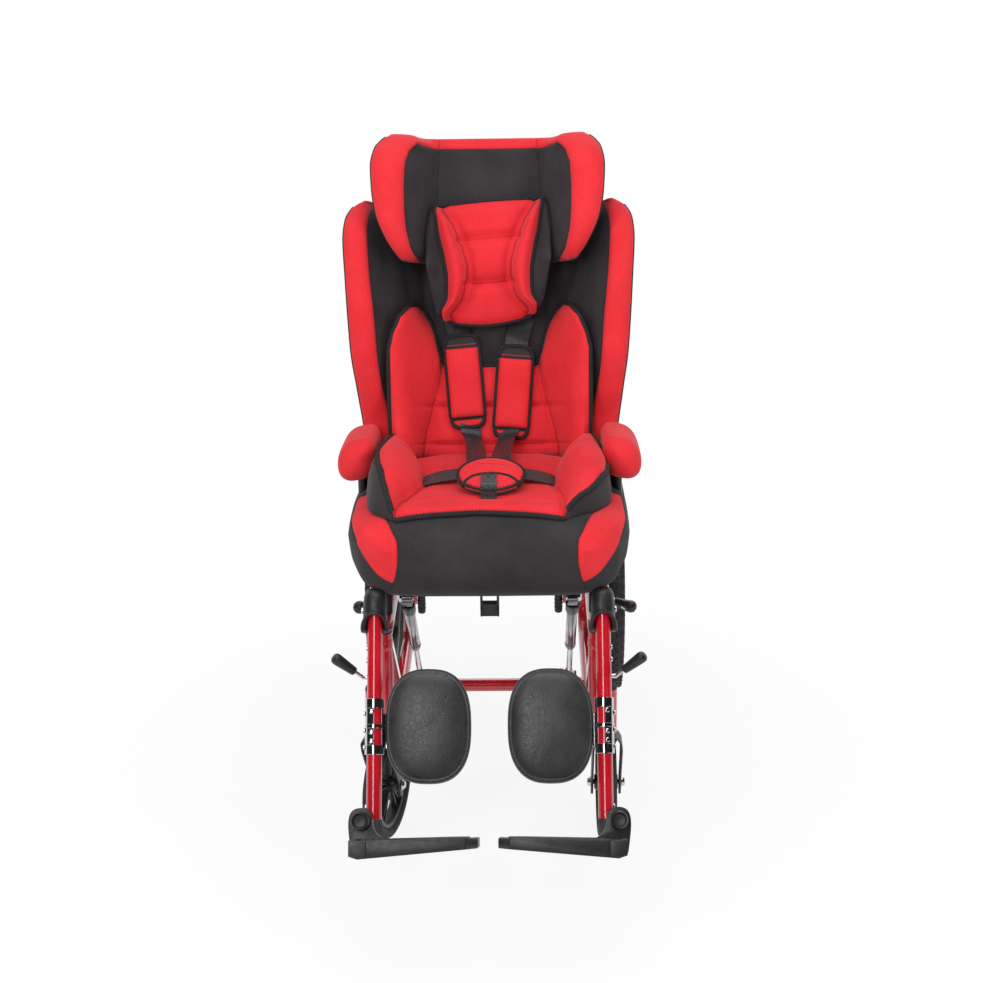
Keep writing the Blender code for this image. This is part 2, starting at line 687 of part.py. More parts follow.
# Casters: stem and fork, axle, rim and tyre
FORK_HALF = CASTER_TYRE_WIDTH / 2 + 8 * MM
FORK_T = 4 * MM
CROWN_Z = 2 * CASTER_R + 15 * MM
HUB_HALF = FORK_HALF - FORK_T / 2 - PLAY
for side_name, side in SIDES:
    x = side * CASTER_X
    stem_y = FRONT_UPRIGHT_Y
    axle_y = stem_y + CASTER_TRAIL
    pivot = Vector((x, stem_y, HOUSING_LOW_Z))
    turn = LEFT_CASTER_TURN if side < 0 else 0.0
    swivel = body(f"{side_name}_caster", pivot, BASE)
    crown_outline = oval((x, stem_y, CROWN_Z), X_AXIS, Y_AXIS, FORK_HALF * 0.8, 17 * MM, 14, 3.0)
    crown = slab(crown_outline, 8 * MM, Z_AXIS)
    stem = rod((x, stem_y, CROWN_Z - 2 * MM), (x, stem_y, HOUSING_HIGH_Z - 9 * MM), CASTER_STEM_R, 8)
    shoulder = rod((x, stem_y, CROWN_Z), (x, stem_y, HOUSING_LOW_Z - GAP), 11 * MM, 10)
    legs = []
    for edge in (-1, 1):
        sections = (
            (0.62, 0.0, CROWN_Z + 2 * MM, 17 * MM),
            (0.80, 0.02, CROWN_Z - 10 * MM, 17 * MM),
            (1.0, 0.30, CROWN_Z - 40 * MM, 14 * MM),
            (1.0, 1.0, CASTER_R + 6 * MM, 11 * MM),
            (1.0, 1.0, CASTER_R - 8 * MM, 9 * MM),
            (1.0, 1.0, CASTER_R - 22 * MM, 2.5 * MM),
        )
        loops = []
        for share, back, z, half in sections:
            cx = x + edge * FORK_HALF * share
            cy = stem_y + CASTER_TRAIL * back
            t = FORK_T / 2
            loops.append(
                [
                    Vector((cx - t, cy - half, z)),
                    Vector((cx + t, cy - half, z)),
                    Vector((cx + t, cy + half, z)),
                    Vector((cx - t, cy + half, z)),
                ]
            )
        legs.append(rings(loops))
    holes = rod((x - 0.05, axle_y, CASTER_R), (x + 0.05, axle_y, CASTER_R), clear(4 * MM, 8), 8)
    fork = welded(crown, [shoulder, stem] + legs, [holes])
    piece(f"{side_name}_caster_fork", swivelled(fork, pivot, turn), BLACK_PLASTIC, swivel)
    outside = FORK_HALF + FORK_T / 2
    bolt = [
        (0, -outside - 6 * MM),
        (7 * MM, -outside - 6 * MM),
        (7 * MM, -outside - GAP),
        (4 * MM, -outside - GAP),
        (4 * MM, outside + GAP),
        (7 * MM, outside + GAP),
        (7 * MM, outside + 6 * MM),
        (0, outside + 6 * MM),
    ]
    spot = Vector((x, axle_y, CASTER_R))
    axle = turned(bolt, spot, X_AXIS, 8)
    piece(f"{side_name}_caster_axle", swivelled(axle, pivot, turn), CHROME, swivel)
    centre = pivot + Matrix.Rotation(turn, 3, "Z") @ (spot - pivot)
    wheel = body(f"{side_name}_caster_wheel", centre, swivel)
    section = tyre_profile(CASTER_R, CASTER_TYRE_WIDTH, CASTER_TYRE_HEIGHT, 20)
    tyre = turned(section, spot, X_AXIS, 20, True)
    piece(f"{side_name}_caster_tyre", swivelled(tyre, pivot, turn), BLACK_RUBBER, wheel)
    rim = spoked_rim(
        spot,
        CASTER_R - CASTER_TYRE_HEIGHT - GAP,
        CASTER_TYRE_WIDTH * 0.6,
        14 * MM,
        -HUB_HALF,
        HUB_HALF,
        clear(4 * MM),
        5,
        11 * MM,
        side,
    )
    piece(f"{side_name}_caster_rim", swivelled(rim, pivot, turn), BLACK_PLASTIC, wheel)

# Wheel brakes: a bent lever with its grip in front and a shoe that meets the tyre
SHOE_Y = REAR_AXLE_Y - math.sqrt(REAR_WHEEL_R**2 - (BRAKE_Z - 36 * MM - REAR_WHEEL_R) ** 2) - 19 * MM
for side_name, side in SIDES:
    lever_x = side * BRAKE_X
    lever = body(f"{side_name}_brake", (lever_x, BRAKE_Y, BRAKE_Z), BASE)
    hub = rod(
        (side * (BRAKE_X - PLATE_T / 2), BRAKE_Y, BRAKE_Z),
        (side * (BRAKE_X + PLATE_T / 2), BRAKE_Y, BRAKE_Z),
        13 * MM,
    )
    arm = tube(
        [
            (lever_x, BRAKE_Y - 6 * MM, BRAKE_Z - 2 * MM),
            (lever_x + side * 2 * MM, BRAKE_Y - 40 * MM, BRAKE_Z - 8 * MM),
            (lever_x + side * 20 * MM, BRAKE_Y - 84 * MM, BRAKE_Z - 20 * MM),
            (lever_x + side * 44 * MM, BRAKE_Y - 108 * MM, BRAKE_Z - 28 * MM),
        ],
        3.5 * MM,
        6,
        bend=20 * MM,
        steps=1,
    )
    grip_start = Vector((lever_x + side * 22 * MM, BRAKE_Y - 86 * MM, BRAKE_Z - 21 * MM))
    grip_axis = Vector((side * 24 * MM, -24 * MM, -8 * MM)).normalized()
    grip = turned(
        [(0, 0), (6 * MM, 0), (8.5 * MM, 12 * MM), (11 * MM, 30 * MM), (8 * MM, 38 * MM), (0, 40 * MM)],
        grip_start,
        grip_axis,
        8,
    )
    strut = tube(
        [
            (lever_x, BRAKE_Y + 4 * MM, BRAKE_Z - 6 * MM),
            (lever_x + side * 4 * MM, SHOE_Y - 10 * MM, BRAKE_Z - 30 * MM),
            (side * REAR_WHEEL_X, SHOE_Y, BRAKE_Z - 36 * MM),
        ],
        4 * MM,
        6,
    )
    shoe = rod(
        (side * (REAR_WHEEL_X - REAR_TYRE_WIDTH * 0.3), SHOE_Y, BRAKE_Z - 36 * MM),
        (side * (REAR_WHEEL_X + REAR_TYRE_WIDTH * 0.3), SHOE_Y, BRAKE_Z - 36 * MM),
        7.5 * MM,
        8,
    )
    hole = rod((lever_x - 0.03, BRAKE_Y, BRAKE_Z), (lever_x + 0.03, BRAKE_Y, BRAKE_Z), clear(PIVOT_R))
    piece(f"{side_name}_brake_lever", welded(hub, [arm, grip, strut, shoe], [hole]), CHROME, lever)

# Seat frame: rails, cross tubes, tilt and recline plates, knee tongues and gas spring lugs
RAIL_REAR_Y = RECLINE.y + 26 * MM
TONGUE_T = 5 * MM
TONGUE_FRONT = KNUCKLE_R * 0.67
TONGUE_REAR = KNUCKLE_R + 28 * MM
added = []
cuts = []
for side_name, side in SIDES:
    x = side * SEAT_RAIL_X
    rail = tube([(x, KNEE_Y + KNUCKLE_R + 16 * MM, SEAT_RAIL_Z), (x, RAIL_REAR_Y, SEAT_RAIL_Z)], FRAME_TUBE_R)
    added.append(rail)
    added.append(
        slab(
            oval(
                (x, KNEE_Y + (TONGUE_REAR - TONGUE_FRONT) / 2, SEAT_RAIL_Z),
                Y_AXIS,
                Z_AXIS,
                (TONGUE_REAR + TONGUE_FRONT) / 2,
                10 * MM,
                16,
                4.0,
            ),
            TONGUE_T,
            X_AXIS,
        )
    )
    cuts.append(rod((x - 0.02, KNEE_Y, SEAT_RAIL_Z), (x + 0.02, KNEE_Y, SEAT_RAIL_Z), clear(PIVOT_R)))
    added.append(
        slab(
            [
                (side * SEAT_PLATE_X, TILT_PIVOT_Y - 26 * MM, SEAT_RAIL_Z),
                (side * SEAT_PLATE_X, TILT_PIVOT_Y + 26 * MM, SEAT_RAIL_Z),
                (side * SEAT_PLATE_X, TILT_PIVOT_Y + 13 * MM, TILT_PIVOT_Z - 8 * MM),
                (side * SEAT_PLATE_X, TILT_PIVOT_Y + 6 * MM, TILT_PIVOT_Z - 13 * MM),
                (side * SEAT_PLATE_X, TILT_PIVOT_Y - 6 * MM, TILT_PIVOT_Z - 13 * MM),
                (side * SEAT_PLATE_X, TILT_PIVOT_Y - 13 * MM, TILT_PIVOT_Z - 8 * MM),
            ],
            PLATE_T,
            X_AXIS,
        )
    )
    tilt_spot = Vector((x, TILT_PIVOT_Y, TILT_PIVOT_Z))
    cuts.append(rod(tilt_spot - X_AXIS * 0.03, tilt_spot + X_AXIS * 0.03, clear(PIVOT_R)))
    plate_x = side * RECLINE_PLATE_X
    added.append(
        slab(
            [
                (plate_x, RECLINE.y - 22 * MM, SEAT_RAIL_Z),
                (plate_x, RECLINE.y + 24 * MM, SEAT_RAIL_Z),
                (plate_x, RECLINE.y + 13 * MM, RECLINE.z + 9 * MM),
                (plate_x, RECLINE.y + 6 * MM, RECLINE.z + 14 * MM),
                (plate_x, RECLINE.y - 6 * MM, RECLINE.z + 14 * MM),
                (plate_x, RECLINE.y - 13 * MM, RECLINE.z + 9 * MM),
            ],
            PLATE_T,
            X_AXIS,
        )
    )
    recline_spot = Vector((plate_x, RECLINE.y, RECLINE.z))
    cuts.append(rod(recline_spot - X_AXIS * 0.01, recline_spot + X_AXIS * 0.01, clear(PIVOT_R)))
    lug_x = side * (GAS_X - 13 * MM)
    added.append(
        slab(
            [
                (lug_x, GAS_TOP_Y - 10 * MM, SEAT_RAIL_Z),
                (lug_x, GAS_TOP_Y + 14 * MM, SEAT_RAIL_Z),
                (lug_x, GAS_TOP_Y + 10 * MM, GAS_TOP_Z - 4 * MM),
                (lug_x, GAS_TOP_Y + 4 * MM, GAS_TOP_Z - 9 * MM),
                (lug_x, GAS_TOP_Y - 4 * MM, GAS_TOP_Z - 9 * MM),
                (lug_x, GAS_TOP_Y - 10 * MM, GAS_TOP_Z - 4 * MM),
            ],
            PLATE_T,
            X_AXIS,
        )
    )
    lug_spot = Vector((lug_x, GAS_TOP_Y, GAS_TOP_Z))
    pin_end = Vector((side * (GAS_X + 10 * MM), GAS_TOP_Y, GAS_TOP_Z))
    added.append(rod(lug_spot, pin_end, 4 * MM, 12))
front_cross = tube(
    [(-SEAT_RAIL_X, GAS_TOP_Y, SEAT_RAIL_Z), (SEAT_RAIL_X, GAS_TOP_Y, SEAT_RAIL_Z)],
    SEAT_CROSS_R,
)
rear_cross = tube(
    [(-SEAT_RAIL_X, TILT_PIVOT_Y - 60 * MM, SEAT_RAIL_Z), (SEAT_RAIL_X, TILT_PIVOT_Y - 60 * MM, SEAT_RAIL_Z)],
    SEAT_CROSS_R,
)
piece("seat_frame", welded(front_cross, [rear_cross] + added, cuts), RED_PAINT, SEAT)

# Seat pan and the bracket under its front
PAN_LOW_Z = SEAT_RAIL_Z + SEAT_CROSS_R + GAP
PAN_Z = PAN_LOW_Z + SEAT_PAN_T / 2
PAN_FRONT_Y = SEAT_FRONT_Y + 92 * MM
PAN_REAR_Y = RECLINE.y - 36 * MM
pan = slab(
    oval(
        (0, (PAN_FRONT_Y + PAN_REAR_Y) / 2, PAN_Z),
        X_AXIS,
        Y_AXIS,
        SEAT_RAIL_X - 18 * MM,
        (PAN_REAR_Y - PAN_FRONT_Y) / 2,
        20,
        6.0,
    ),
    SEAT_PAN_T,
    Z_AXIS,
)
piece("seat_pan", pan, BLACK_PLASTIC, SEAT)
BRACKET_Y = GAS_TOP_Y - SEAT_CROSS_R - GAP - 7 * MM
BRACKET_Z = SEAT_RAIL_Z - 16 * MM
bracket = box((0, BRACKET_Y, BRACKET_Z), (27 * MM, 14 * MM, 46 * MM))
windows = [
    box((0, BRACKET_Y, BRACKET_Z - 4 * MM), (19 * MM, 40 * MM, 9 * MM)),
    box((0, BRACKET_Y, BRACKET_Z - 21 * MM), (19 * MM, 40 * MM, 17 * MM)),
]
piece("front_bracket", welded(bracket, (), windows), BLACK_PLASTIC, SEAT)

# Gas springs: rod on the lower cross tube, cylinder on the seat frame
GAS_LOW = Vector((0, GAS_LOW_Y, GAS_LOW_Z))
GAS_TOP = Vector((0, GAS_TOP_Y, GAS_TOP_Z))
GAS_DIR = (GAS_TOP - GAS_LOW).normalized()
GAS_LENGTH = (GAS_TOP - GAS_LOW).length
GAS_EYE_R = 9.5 * MM
for side_name, side in SIDES:
    shift = Vector((side * GAS_X, 0, 0))
    low = GAS_LOW + shift
    top = GAS_TOP + shift
    eye = rod(low - X_AXIS * 7 * MM, low + X_AXIS * 7 * MM, GAS_EYE_R)
    shaft = rod(low + GAS_DIR * 4 * MM, low + GAS_DIR * (GAS_LENGTH - 60 * MM), GAS_ROD_R, 12)
    hole = rod(low - X_AXIS * 0.03, low + X_AXIS * 0.03, clear(4 * MM, 12), 12)
    swing = body(f"{side_name}_gas_rod_pivot", low, BASE)
    piece(f"{side_name}_gas_rod", welded(shaft, [eye], [hole]), CHROME, swing)
    reach = body(f"{side_name}_gas_cylinder_slide", low, swing)
    head = rod(top - X_AXIS * 8 * MM, top + X_AXIS * 8 * MM, 13 * MM)
    start = GAS_LENGTH * 0.40
    inner = clear(GAS_ROD_R, 16)
    barrel = turned(
        [
            (0, GAS_LENGTH - 6 * MM),
            (GAS_TUBE_R, GAS_LENGTH - 6 * MM),
            (GAS_TUBE_R, start),
            (inner, start),
            (inner, GAS_LENGTH - 40 * MM),
            (0, GAS_LENGTH - 40 * MM),
        ],
        low,
        GAS_DIR,
        16,
    )
    hole = rod(top - X_AXIS * 0.03, top + X_AXIS * 0.03, 4 * MM + 3.2 * MM, 16)
    piece(f"{side_name}_gas_cylinder", welded(barrel, [head], [hole]), BLACK_PLASTIC, reach)

# Legrests: knuckle at the knee, tube, release lever, calf clamp and pad, footplate and its pin
PAD_BACK_F = -22 * MM
LEVER_T = 112 * MM
for side_name, side in SIDES:
    x = side * SEAT_RAIL_X
    legrest = body(f"{side_name}_legrest", (x, KNEE_Y, SEAT_RAIL_Z), SEAT)

    def at(px, t, f, x=x):
        return on_leg(x + px, t, f)

    ball = rod((x - 17 * MM, KNEE_Y, SEAT_RAIL_Z), (x + 17 * MM, KNEE_Y, SEAT_RAIL_Z), KNUCKLE_R, 16)
    sleeve = turned(
        [(0, 0), (17 * MM, 0), (17 * MM, 38 * MM), (20.5 * MM, 41 * MM), (20.5 * MM, 52 * MM), (0, 52 * MM)],
        at(0, 0, 0),
        LEG_DOWN,
        16,
    )
    slot = slab(
        [
            at(0, -40 * MM, 40 * MM),
            at(0, 24 * MM, 40 * MM),
            at(0, 24 * MM, -40 * MM),
            at(0, -40 * MM, -40 * MM),
        ],
        TONGUE_T + 2 * PLAY,
        X_AXIS,
    )
    socket = rod(at(0, 26 * MM, 0), at(0, 80 * MM, 0), clear(FRAME_TUBE_R, 12), 12)
    pin = rod((x - 16 * MM, KNEE_Y, SEAT_RAIL_Z), (x + 16 * MM, KNEE_Y, SEAT_RAIL_Z), PIVOT_R, 12)
    knuckle = welded(ball, [sleeve], [slot, socket])
    piece(f"{side_name}_knee_knuckle", welded(knuckle, [pin]), BLACK_PLASTIC, legrest)

    leg = tube([at(0, 26 * MM + GAP, 0), at(0, LEG_LENGTH, 0)], FRAME_TUBE_R)
    boss = rod(
        at(side * FOOT_PIVOT_OUT, FOOT_T, -11 * MM),
        at(side * FOOT_PIVOT_OUT, FOOT_T, FOOT_LUG_F - GAP),
        11 * MM,
    )
    lever_boss = rod(
        at(side * 6 * MM, LEVER_T, -9 * MM),
        at(side * (FRAME_TUBE_R + 12 * MM), LEVER_T, -9 * MM),
        6 * MM,
        12,
    )
    boss_hole = rod(
        at(side * FOOT_PIVOT_OUT, FOOT_T, -6 * MM), at(side * FOOT_PIVOT_OUT, FOOT_T, 0.05), clear(FOOT_PIN_R)
    )
    piece(f"{side_name}_leg_tube", welded(leg, [boss, lever_boss], [boss_hole]), RED_PAINT, legrest)

    lever_spot = at(side * (FRAME_TUBE_R + 17 * MM), LEVER_T, -9 * MM)
    lever = body(f"{side_name}_leg_release", lever_spot, legrest)
    lever_out = X_AXIS * side * 5 * MM
    lever_hub = rod(lever_spot - lever_out + X_AXIS * side * GAP, lever_spot + lever_out, 6 * MM, 8)
    lever_tip = lever_spot + Vector((side * 26 * MM, -4 * MM, 20 * MM))
    lever_dir = (lever_tip - lever_spot).normalized()
    wire = rod(lever_spot, lever_tip, 2.8 * MM, 6)
    knob = turned(
        [(0, 0), (6 * MM, 0), (8 * MM, 5 * MM), (8.5 * MM, 24 * MM), (6 * MM, 33 * MM), (0, 35 * MM)],
        lever_spot + lever_dir * 12 * MM,
        lever_dir,
        8,
    )
    piece(f"{side_name}_release_lever", welded(lever_hub, [wire, knob]), CHROME, lever)

    mid_t = CALF_CLAMP_START + CALF_CLAMP_LENGTH / 2
    calf = body(f"{side_name}_calf_swing", at(0, mid_t, 0), legrest)
    band = turned(
        [
            (clear(FRAME_TUBE_R, 16), CALF_CLAMP_START),
            (CLAMP_R, CALF_CLAMP_START),
            (CLAMP_R, CALF_CLAMP_START + CALF_CLAMP_LENGTH),
            (clear(FRAME_TUBE_R, 16), CALF_CLAMP_START + CALF_CLAMP_LENGTH),
        ],
        at(0, 0, 0),
        LEG_DOWN,
        16,
        True,
    )
    ear = slab(
        [
            at(-side * 5 * MM, CALF_CLAMP_START + 6 * MM, PAD_BACK_F - 1.5 * MM - GAP),
            at(-side * 92 * MM, CALF_CLAMP_START + 14 * MM, PAD_BACK_F - 1.5 * MM - GAP),
            at(-side * 92 * MM, CALF_CLAMP_START + CALF_CLAMP_LENGTH - 14 * MM, PAD_BACK_F - 1.5 * MM - GAP),
            at(-side * 5 * MM, CALF_CLAMP_START + CALF_CLAMP_LENGTH - 6 * MM, PAD_BACK_F - 1.5 * MM - GAP),
        ],
        3 * MM,
        LEG_FORWARD,
    )
    web = slab(
        [
            at(-side * 8 * MM, CALF_CLAMP_START + 6 * MM, -CLAMP_R + 2.5 * MM),
            at(-side * 8 * MM, CALF_CLAMP_START + 6 * MM, PAD_BACK_F - 2 * MM),
            at(-side * 8 * MM, CALF_CLAMP_START + CALF_CLAMP_LENGTH - 6 * MM, PAD_BACK_F - 2 * MM),
            at(-side * 8 * MM, CALF_CLAMP_START + CALF_CLAMP_LENGTH - 6 * MM, -CLAMP_R + 2.5 * MM),
        ],
        5 * MM,
        X_AXIS,
    )
    windows = []
    for low, high in ((0.24, 0.44), (0.56, 0.76)):
        a = CALF_CLAMP_START + CALF_CLAMP_LENGTH * low
        b = CALF_CLAMP_START + CALF_CLAMP_LENGTH * high
        windows.append(
            slab([at(0, a, 6 * MM), at(0, b, 6 * MM), at(0, b, 25 * MM), at(0, a, 25 * MM)], 15 * MM, X_AXIS)
        )
    piece(f"{side_name}_calf_clamp", welded(band, [web, ear], windows), CHROME, calf)

    pad_x = -side * (CLAMP_R + 1.5 * MM + CALF_PAD_WIDTH / 2)
    pad_t = CALF_CLAMP_START + 26 * MM
    outline = oval(
        at(pad_x, pad_t, 0), X_AXIS, LEG_DOWN, CALF_PAD_WIDTH / 2, CALF_PAD_HEIGHT / 2, 24, 2.5
    )
    levels = []
    for share, height in ((0.90, 0.0), (0.99, 0.2), (1.0, 0.42), (0.95, 0.7), (0.76, 0.93), (0.4, 1.0)):
        levels.append((share, LEG_FORWARD * (PAD_BACK_F + CALF_PAD_THICKNESS * height)))
    piece(f"{side_name}_calf_pad", domed(outline, at(pad_x, pad_t, 0), levels), BLACK_VINYL, calf)

    pin_x = side * FOOT_PIVOT_OUT
    foot = body(f"{side_name}_footplate_hinge", at(pin_x, FOOT_T, 0), legrest)
    lug = slab(
        [
            at(pin_x + side * 13 * MM, FOOT_T + 48 * MM, FOOT_LUG_F + FOOT_LUG_THICK / 2),
            at(pin_x + side * 17 * MM, FOOT_T + 10 * MM, FOOT_LUG_F + FOOT_LUG_THICK / 2),
            at(pin_x + side * 15 * MM, FOOT_T - 9 * MM, FOOT_LUG_F + FOOT_LUG_THICK / 2),
            at(pin_x + side * 7 * MM, FOOT_T - 17 * MM, FOOT_LUG_F + FOOT_LUG_THICK / 2),
            at(pin_x - side * 6 * MM, FOOT_T - 18 * MM, FOOT_LUG_F + FOOT_LUG_THICK / 2),
            at(pin_x - side * 15 * MM, FOOT_T - 10 * MM, FOOT_LUG_F + FOOT_LUG_THICK / 2),
            at(pin_x - side * 17 * MM, FOOT_T + 8 * MM, FOOT_LUG_F + FOOT_LUG_THICK / 2),
            at(pin_x - side * 24 * MM, FOOT_T + 20 * MM, FOOT_LUG_F + FOOT_LUG_THICK / 2),
            at(pin_x - side * 42 * MM, FOOT_T + 28 * MM, FOOT_LUG_F + FOOT_LUG_THICK / 2),
            at(pin_x - side * 42 * MM, FOOT_T + 44 * MM, FOOT_LUG_F + FOOT_LUG_THICK / 2),
        ],
        FOOT_LUG_THICK,
        LEG_FORWARD,
    )
    outer_x = pin_x + side * 6 * MM
    inner_x = side * FOOT_PLATE_INNER_X - x
    loops = []
    for f in (FOOT_PLATE_F, FOOT_PLATE_F + FOOT_PLATE_DEPTH):
        loops.append(
            [
                at(outer_x, FOOT_T + 27 * MM, f),
                at(inner_x + side * 6 * MM, FOOT_T + 23 * MM, f),
                at(inner_x, FOOT_T + 23 * MM + FOOT_PLATE_T * 0.3, f),
                at(inner_x, FOOT_T + 23 * MM + FOOT_PLATE_T * 0.8, f),
                at(inner_x + side * 6 * MM, FOOT_T + 23 * MM + FOOT_PLATE_T, f),
                at(outer_x - side * 12 * MM, FOOT_PLATE_LOW_T, f),
                at(outer_x, FOOT_T + 47 * MM, f),
            ]
        )
    plate = rings(loops)
    hole = rod(at(pin_x, FOOT_T, 0), at(pin_x, FOOT_T, 0.06), clear(FOOT_PIN_R))
    piece(f"{side_name}_footplate", welded(plate, [lug], [hole]), BLACK_PLASTIC, foot)

    face = FOOT_LUG_F + FOOT_LUG_THICK + GAP
    pin = turned(
        [
            (0, -6 * MM + GAP),
            (FOOT_PIN_R, -6 * MM + GAP),
            (FOOT_PIN_R, face),
            (12 * MM, face),
            (13.5 * MM, face + 11 * MM),
            (12 * MM, face + 15 * MM),
            (9 * MM, face + 14 * MM),
            (0, face + 10 * MM),
        ],
        at(pin_x, FOOT_T, 0),
        LEG_FORWARD,
        12,
    )
    piece(f"{side_name}_footplate_pin", pin, BLACK_PLASTIC, legrest)


# Soft parts are closed skins between two surfaces over u (across) and v (along)
def ends(v, first, last):
    """Thickness share that closes a cushion roundly at both ends."""
    share = 1.0
    if v < first:
        share = math.sqrt(max(0.0, 1 - (1 - v / first) ** 2))
    if v > 1 - last:
        share *= math.sqrt(max(0.0, 1 - (1 - (1 - v) / last) ** 2))
    return share


def bump(x, low, high):
    """Rounded hill between low and high."""
    if x <= low or x >= high:
        return 0.0
    return math.sin(math.pi * (x - low) / (high - low)) ** 0.8


# Seat cushion with its two arms
def seat_half(y):
    share = (y - SEAT_FRONT_Y) / (SEAT_REAR_Y - SEAT_FRONT_Y)
    outline = [(0, 0.70), (0.09, 0.89), (0.22, 0.99), (0.45, 1.0), (0.8, 1.0), (1, 0.94)]
    return SEAT_HALF_WIDTH * ramp(outline, share)


def seat_top(y):
    return SEAT_TOP_Z - SEAT_SLOPE * (y - SEAT_FRONT_Y)


def seat_edge(q, y, upper):
    half = seat_half(y)
    top = seat_top(y)
    low = SEAT_BOTTOM_Z - SEAT_LIP * ramp([(SEAT_FRONT_Y + 40 * MM, 1), (SEAT_FRONT_Y + 72 * MM, 0)], y)
    tip = top - 38 * MM
    if upper:
        line = [(0, top), (0.35, top), (0.62, top), (0.84, top - 3 * MM), (0.97, top - 15 * MM), (1, tip)]
    else:
        line = [(0, low), (0.4, low), (0.58, low + 1.5 * MM), (0.80, low + 13 * MM)]
        line += [(0.95, (low + tip) / 2), (1, tip)]
    place = spline([(a, b, 0) for a, b in line], q)
    return Vector((place.x * half, place.y, 0))


def seat_skin(upper):
    def surface(u, v):
        y = SEAT_FRONT_Y + (SEAT_REAR_Y - SEAT_FRONT_Y) * v
        q = abs(u)
        middle = (seat_edge(q, y, True) + seat_edge(q, y, False)) / 2
        place = middle + (seat_edge(q, y, upper) - middle) * ends(v, 0.13, 0.06)
        return Vector((math.copysign(place.x, u), y, place.y))

    return surface


def seat_height(x, y):
    """Height of the cushion top under a point."""
    low = 0.0
    high = 1.0
    for _ in range(24):
        q = (low + high) / 2
        if seat_edge(q, y, True).x < abs(x):
            low = q
        else:
            high = q
    return seat_edge(low, y, True).y


arms = []
ARM_FRONT_Y = SEAT_FRONT_Y + 184 * MM
ARM_REAR_Y = BACK_Y - 47 * MM
for side_name, side in SIDES:
    loops = []
    for k in range(7):
        v = 0.5 - 0.5 * math.cos(math.pi * (k + 0.35) / 6.7)
        y = ARM_FRONT_Y + (ARM_REAR_Y - ARM_FRONT_Y) * v
        share = ends(v, 0.22, 0.2)
        loops.append(
            oval(
                (side * ARM_X, y, ARM_Z - 0.12 * (y - ARM_FRONT_Y)),
                X_AXIS,
                Z_AXIS,
                ARM_HALF_WIDTH * share,
                ARM_HALF_HEIGHT * share,
                12,
                2.4,
            )
        )
    arms.append(rings(loops))
    arms.append(
        box(
            (side * (ARM_X - 13 * MM), (ARM_FRONT_Y + ARM_REAR_Y) / 2 + 10 * MM, ARM_Z - 42 * MM),
            (17 * MM, (ARM_REAR_Y - ARM_FRONT_Y) * 0.62, 62 * MM),
        )
    )
piece("seat_cushion", welded(padded(seat_skin(True), seat_skin(False), 18, 10), arms), RED_FABRIC, SEAT)

# Seat insert: quilted middle with a bolster along each side
INSERT_FRONT_Y = SEAT_FRONT_Y + 30 * MM
INSERT_REAR_Y = BACK_Y - 34 * MM


def seat_insert(upper):
    def surface(u, v):
        q = abs(u)
        rear = INSERT_REAR_Y - 30 * MM * ramp([(0.45, 0), (0.75, 1)], q)
        y = INSERT_FRONT_Y + (rear - INSERT_FRONT_Y) * v
        half = (ARM_X - ARM_HALF_WIDTH) * ramp([(0, 0.66), (0.3, 0.83), (0.55, 0.94), (1, 0.93)], v)
        x = u * half
        low = seat_height(x, y) + INSERT_GAP
        rise = ramp([(0, 8 * MM), (0.3, 34 * MM), (0.55, 58 * MM), (0.85, 60 * MM), (1, 40 * MM)], v)
        middle = 15 * MM * (1 - 0.45 * math.exp(-(((v - 0.32) / 0.05) ** 2)))
        thick = middle * ramp([(0, 1), (0.9, 0.9), (1, 0.3)], q) + rise * bump(q, 0.58, 1.02)
        thick *= ends(v, 0.09, 0.12) * math.sqrt(max(0.0, 1 - q**8))
        return Vector((x, y, low + thick if upper else low))

    return surface


piece("seat_insert", padded(seat_insert(True), seat_insert(False), 16, 9), RED_FABRIC, SEAT)


# Back cushion with side wings
def back_half(s):
    share = s / BACK_HEIGHT
    outline = [(0, 0.87), (0.25, 0.925), (0.5, 0.97), (0.84, 1.0), (0.94, 0.97), (1, 0.9)]
    return BACK_HALF_WIDTH * ramp(outline, share)


def wing_depth(s):
    return WING_DEPTH * ramp([(0, 0.3), (0.1, 0.36), (0.42, 1.0), (0.82, 1.0), (1, 0.62)], s / BACK_HEIGHT)


WING_TIP = 38 * MM
WING_START = 104 * MM


def back_face(x, s):
    """How far forward the front of the back cushion is."""
    inner = back_half(s) - WING_TIP
    p = min(max((abs(x) - WING_START) / (inner - WING_START), 0.0), 1.0)
    return 0.92 * wing_depth(s) * p**1.7


def back_edge(q, s, front):
    half = back_half(s)
    inner = half - WING_TIP
    reach = 0.92 * wing_depth(s)
    if not front:
        t = BACK_THICKNESS
        line = [(0, -t), (0.42, -t), (0.76, -0.94 * t), (0.95, -0.4 * t), (1, 0.35 * reach), (1, reach)]
        place = spline([(a * half, b, 0) for a, b in line], q)
        return Vector((place.x, place.y, 0))
    if q < 0.74:
        x = inner * q / 0.74
        return Vector((x, back_face(x, s), 0))
    turn = math.pi * (q - 0.74) / 0.26
    across = inner + WING_TIP * (0.5 - 0.5 * math.cos(turn))
    return Vector((across, reach + 0.4 * WING_TIP * math.sin(turn), 0))


def back_skin(front):
    def surface(u, v):
        s = BACK_LOW_S + (BACK_HEIGHT - BACK_LOW_S) * v
        q = abs(u)
        middle = (back_edge(q, s, True) + back_edge(q, s, False)) / 2
        place = middle + (back_edge(q, s, front) - middle) * ends(v, 0.07, 0.09)
        return on_back(math.copysign(place.x, u), s, place.y)

    return surface


piece("back_cushion", padded(back_skin(True), back_skin(False), 26, 10), RED_FABRIC, BACK)

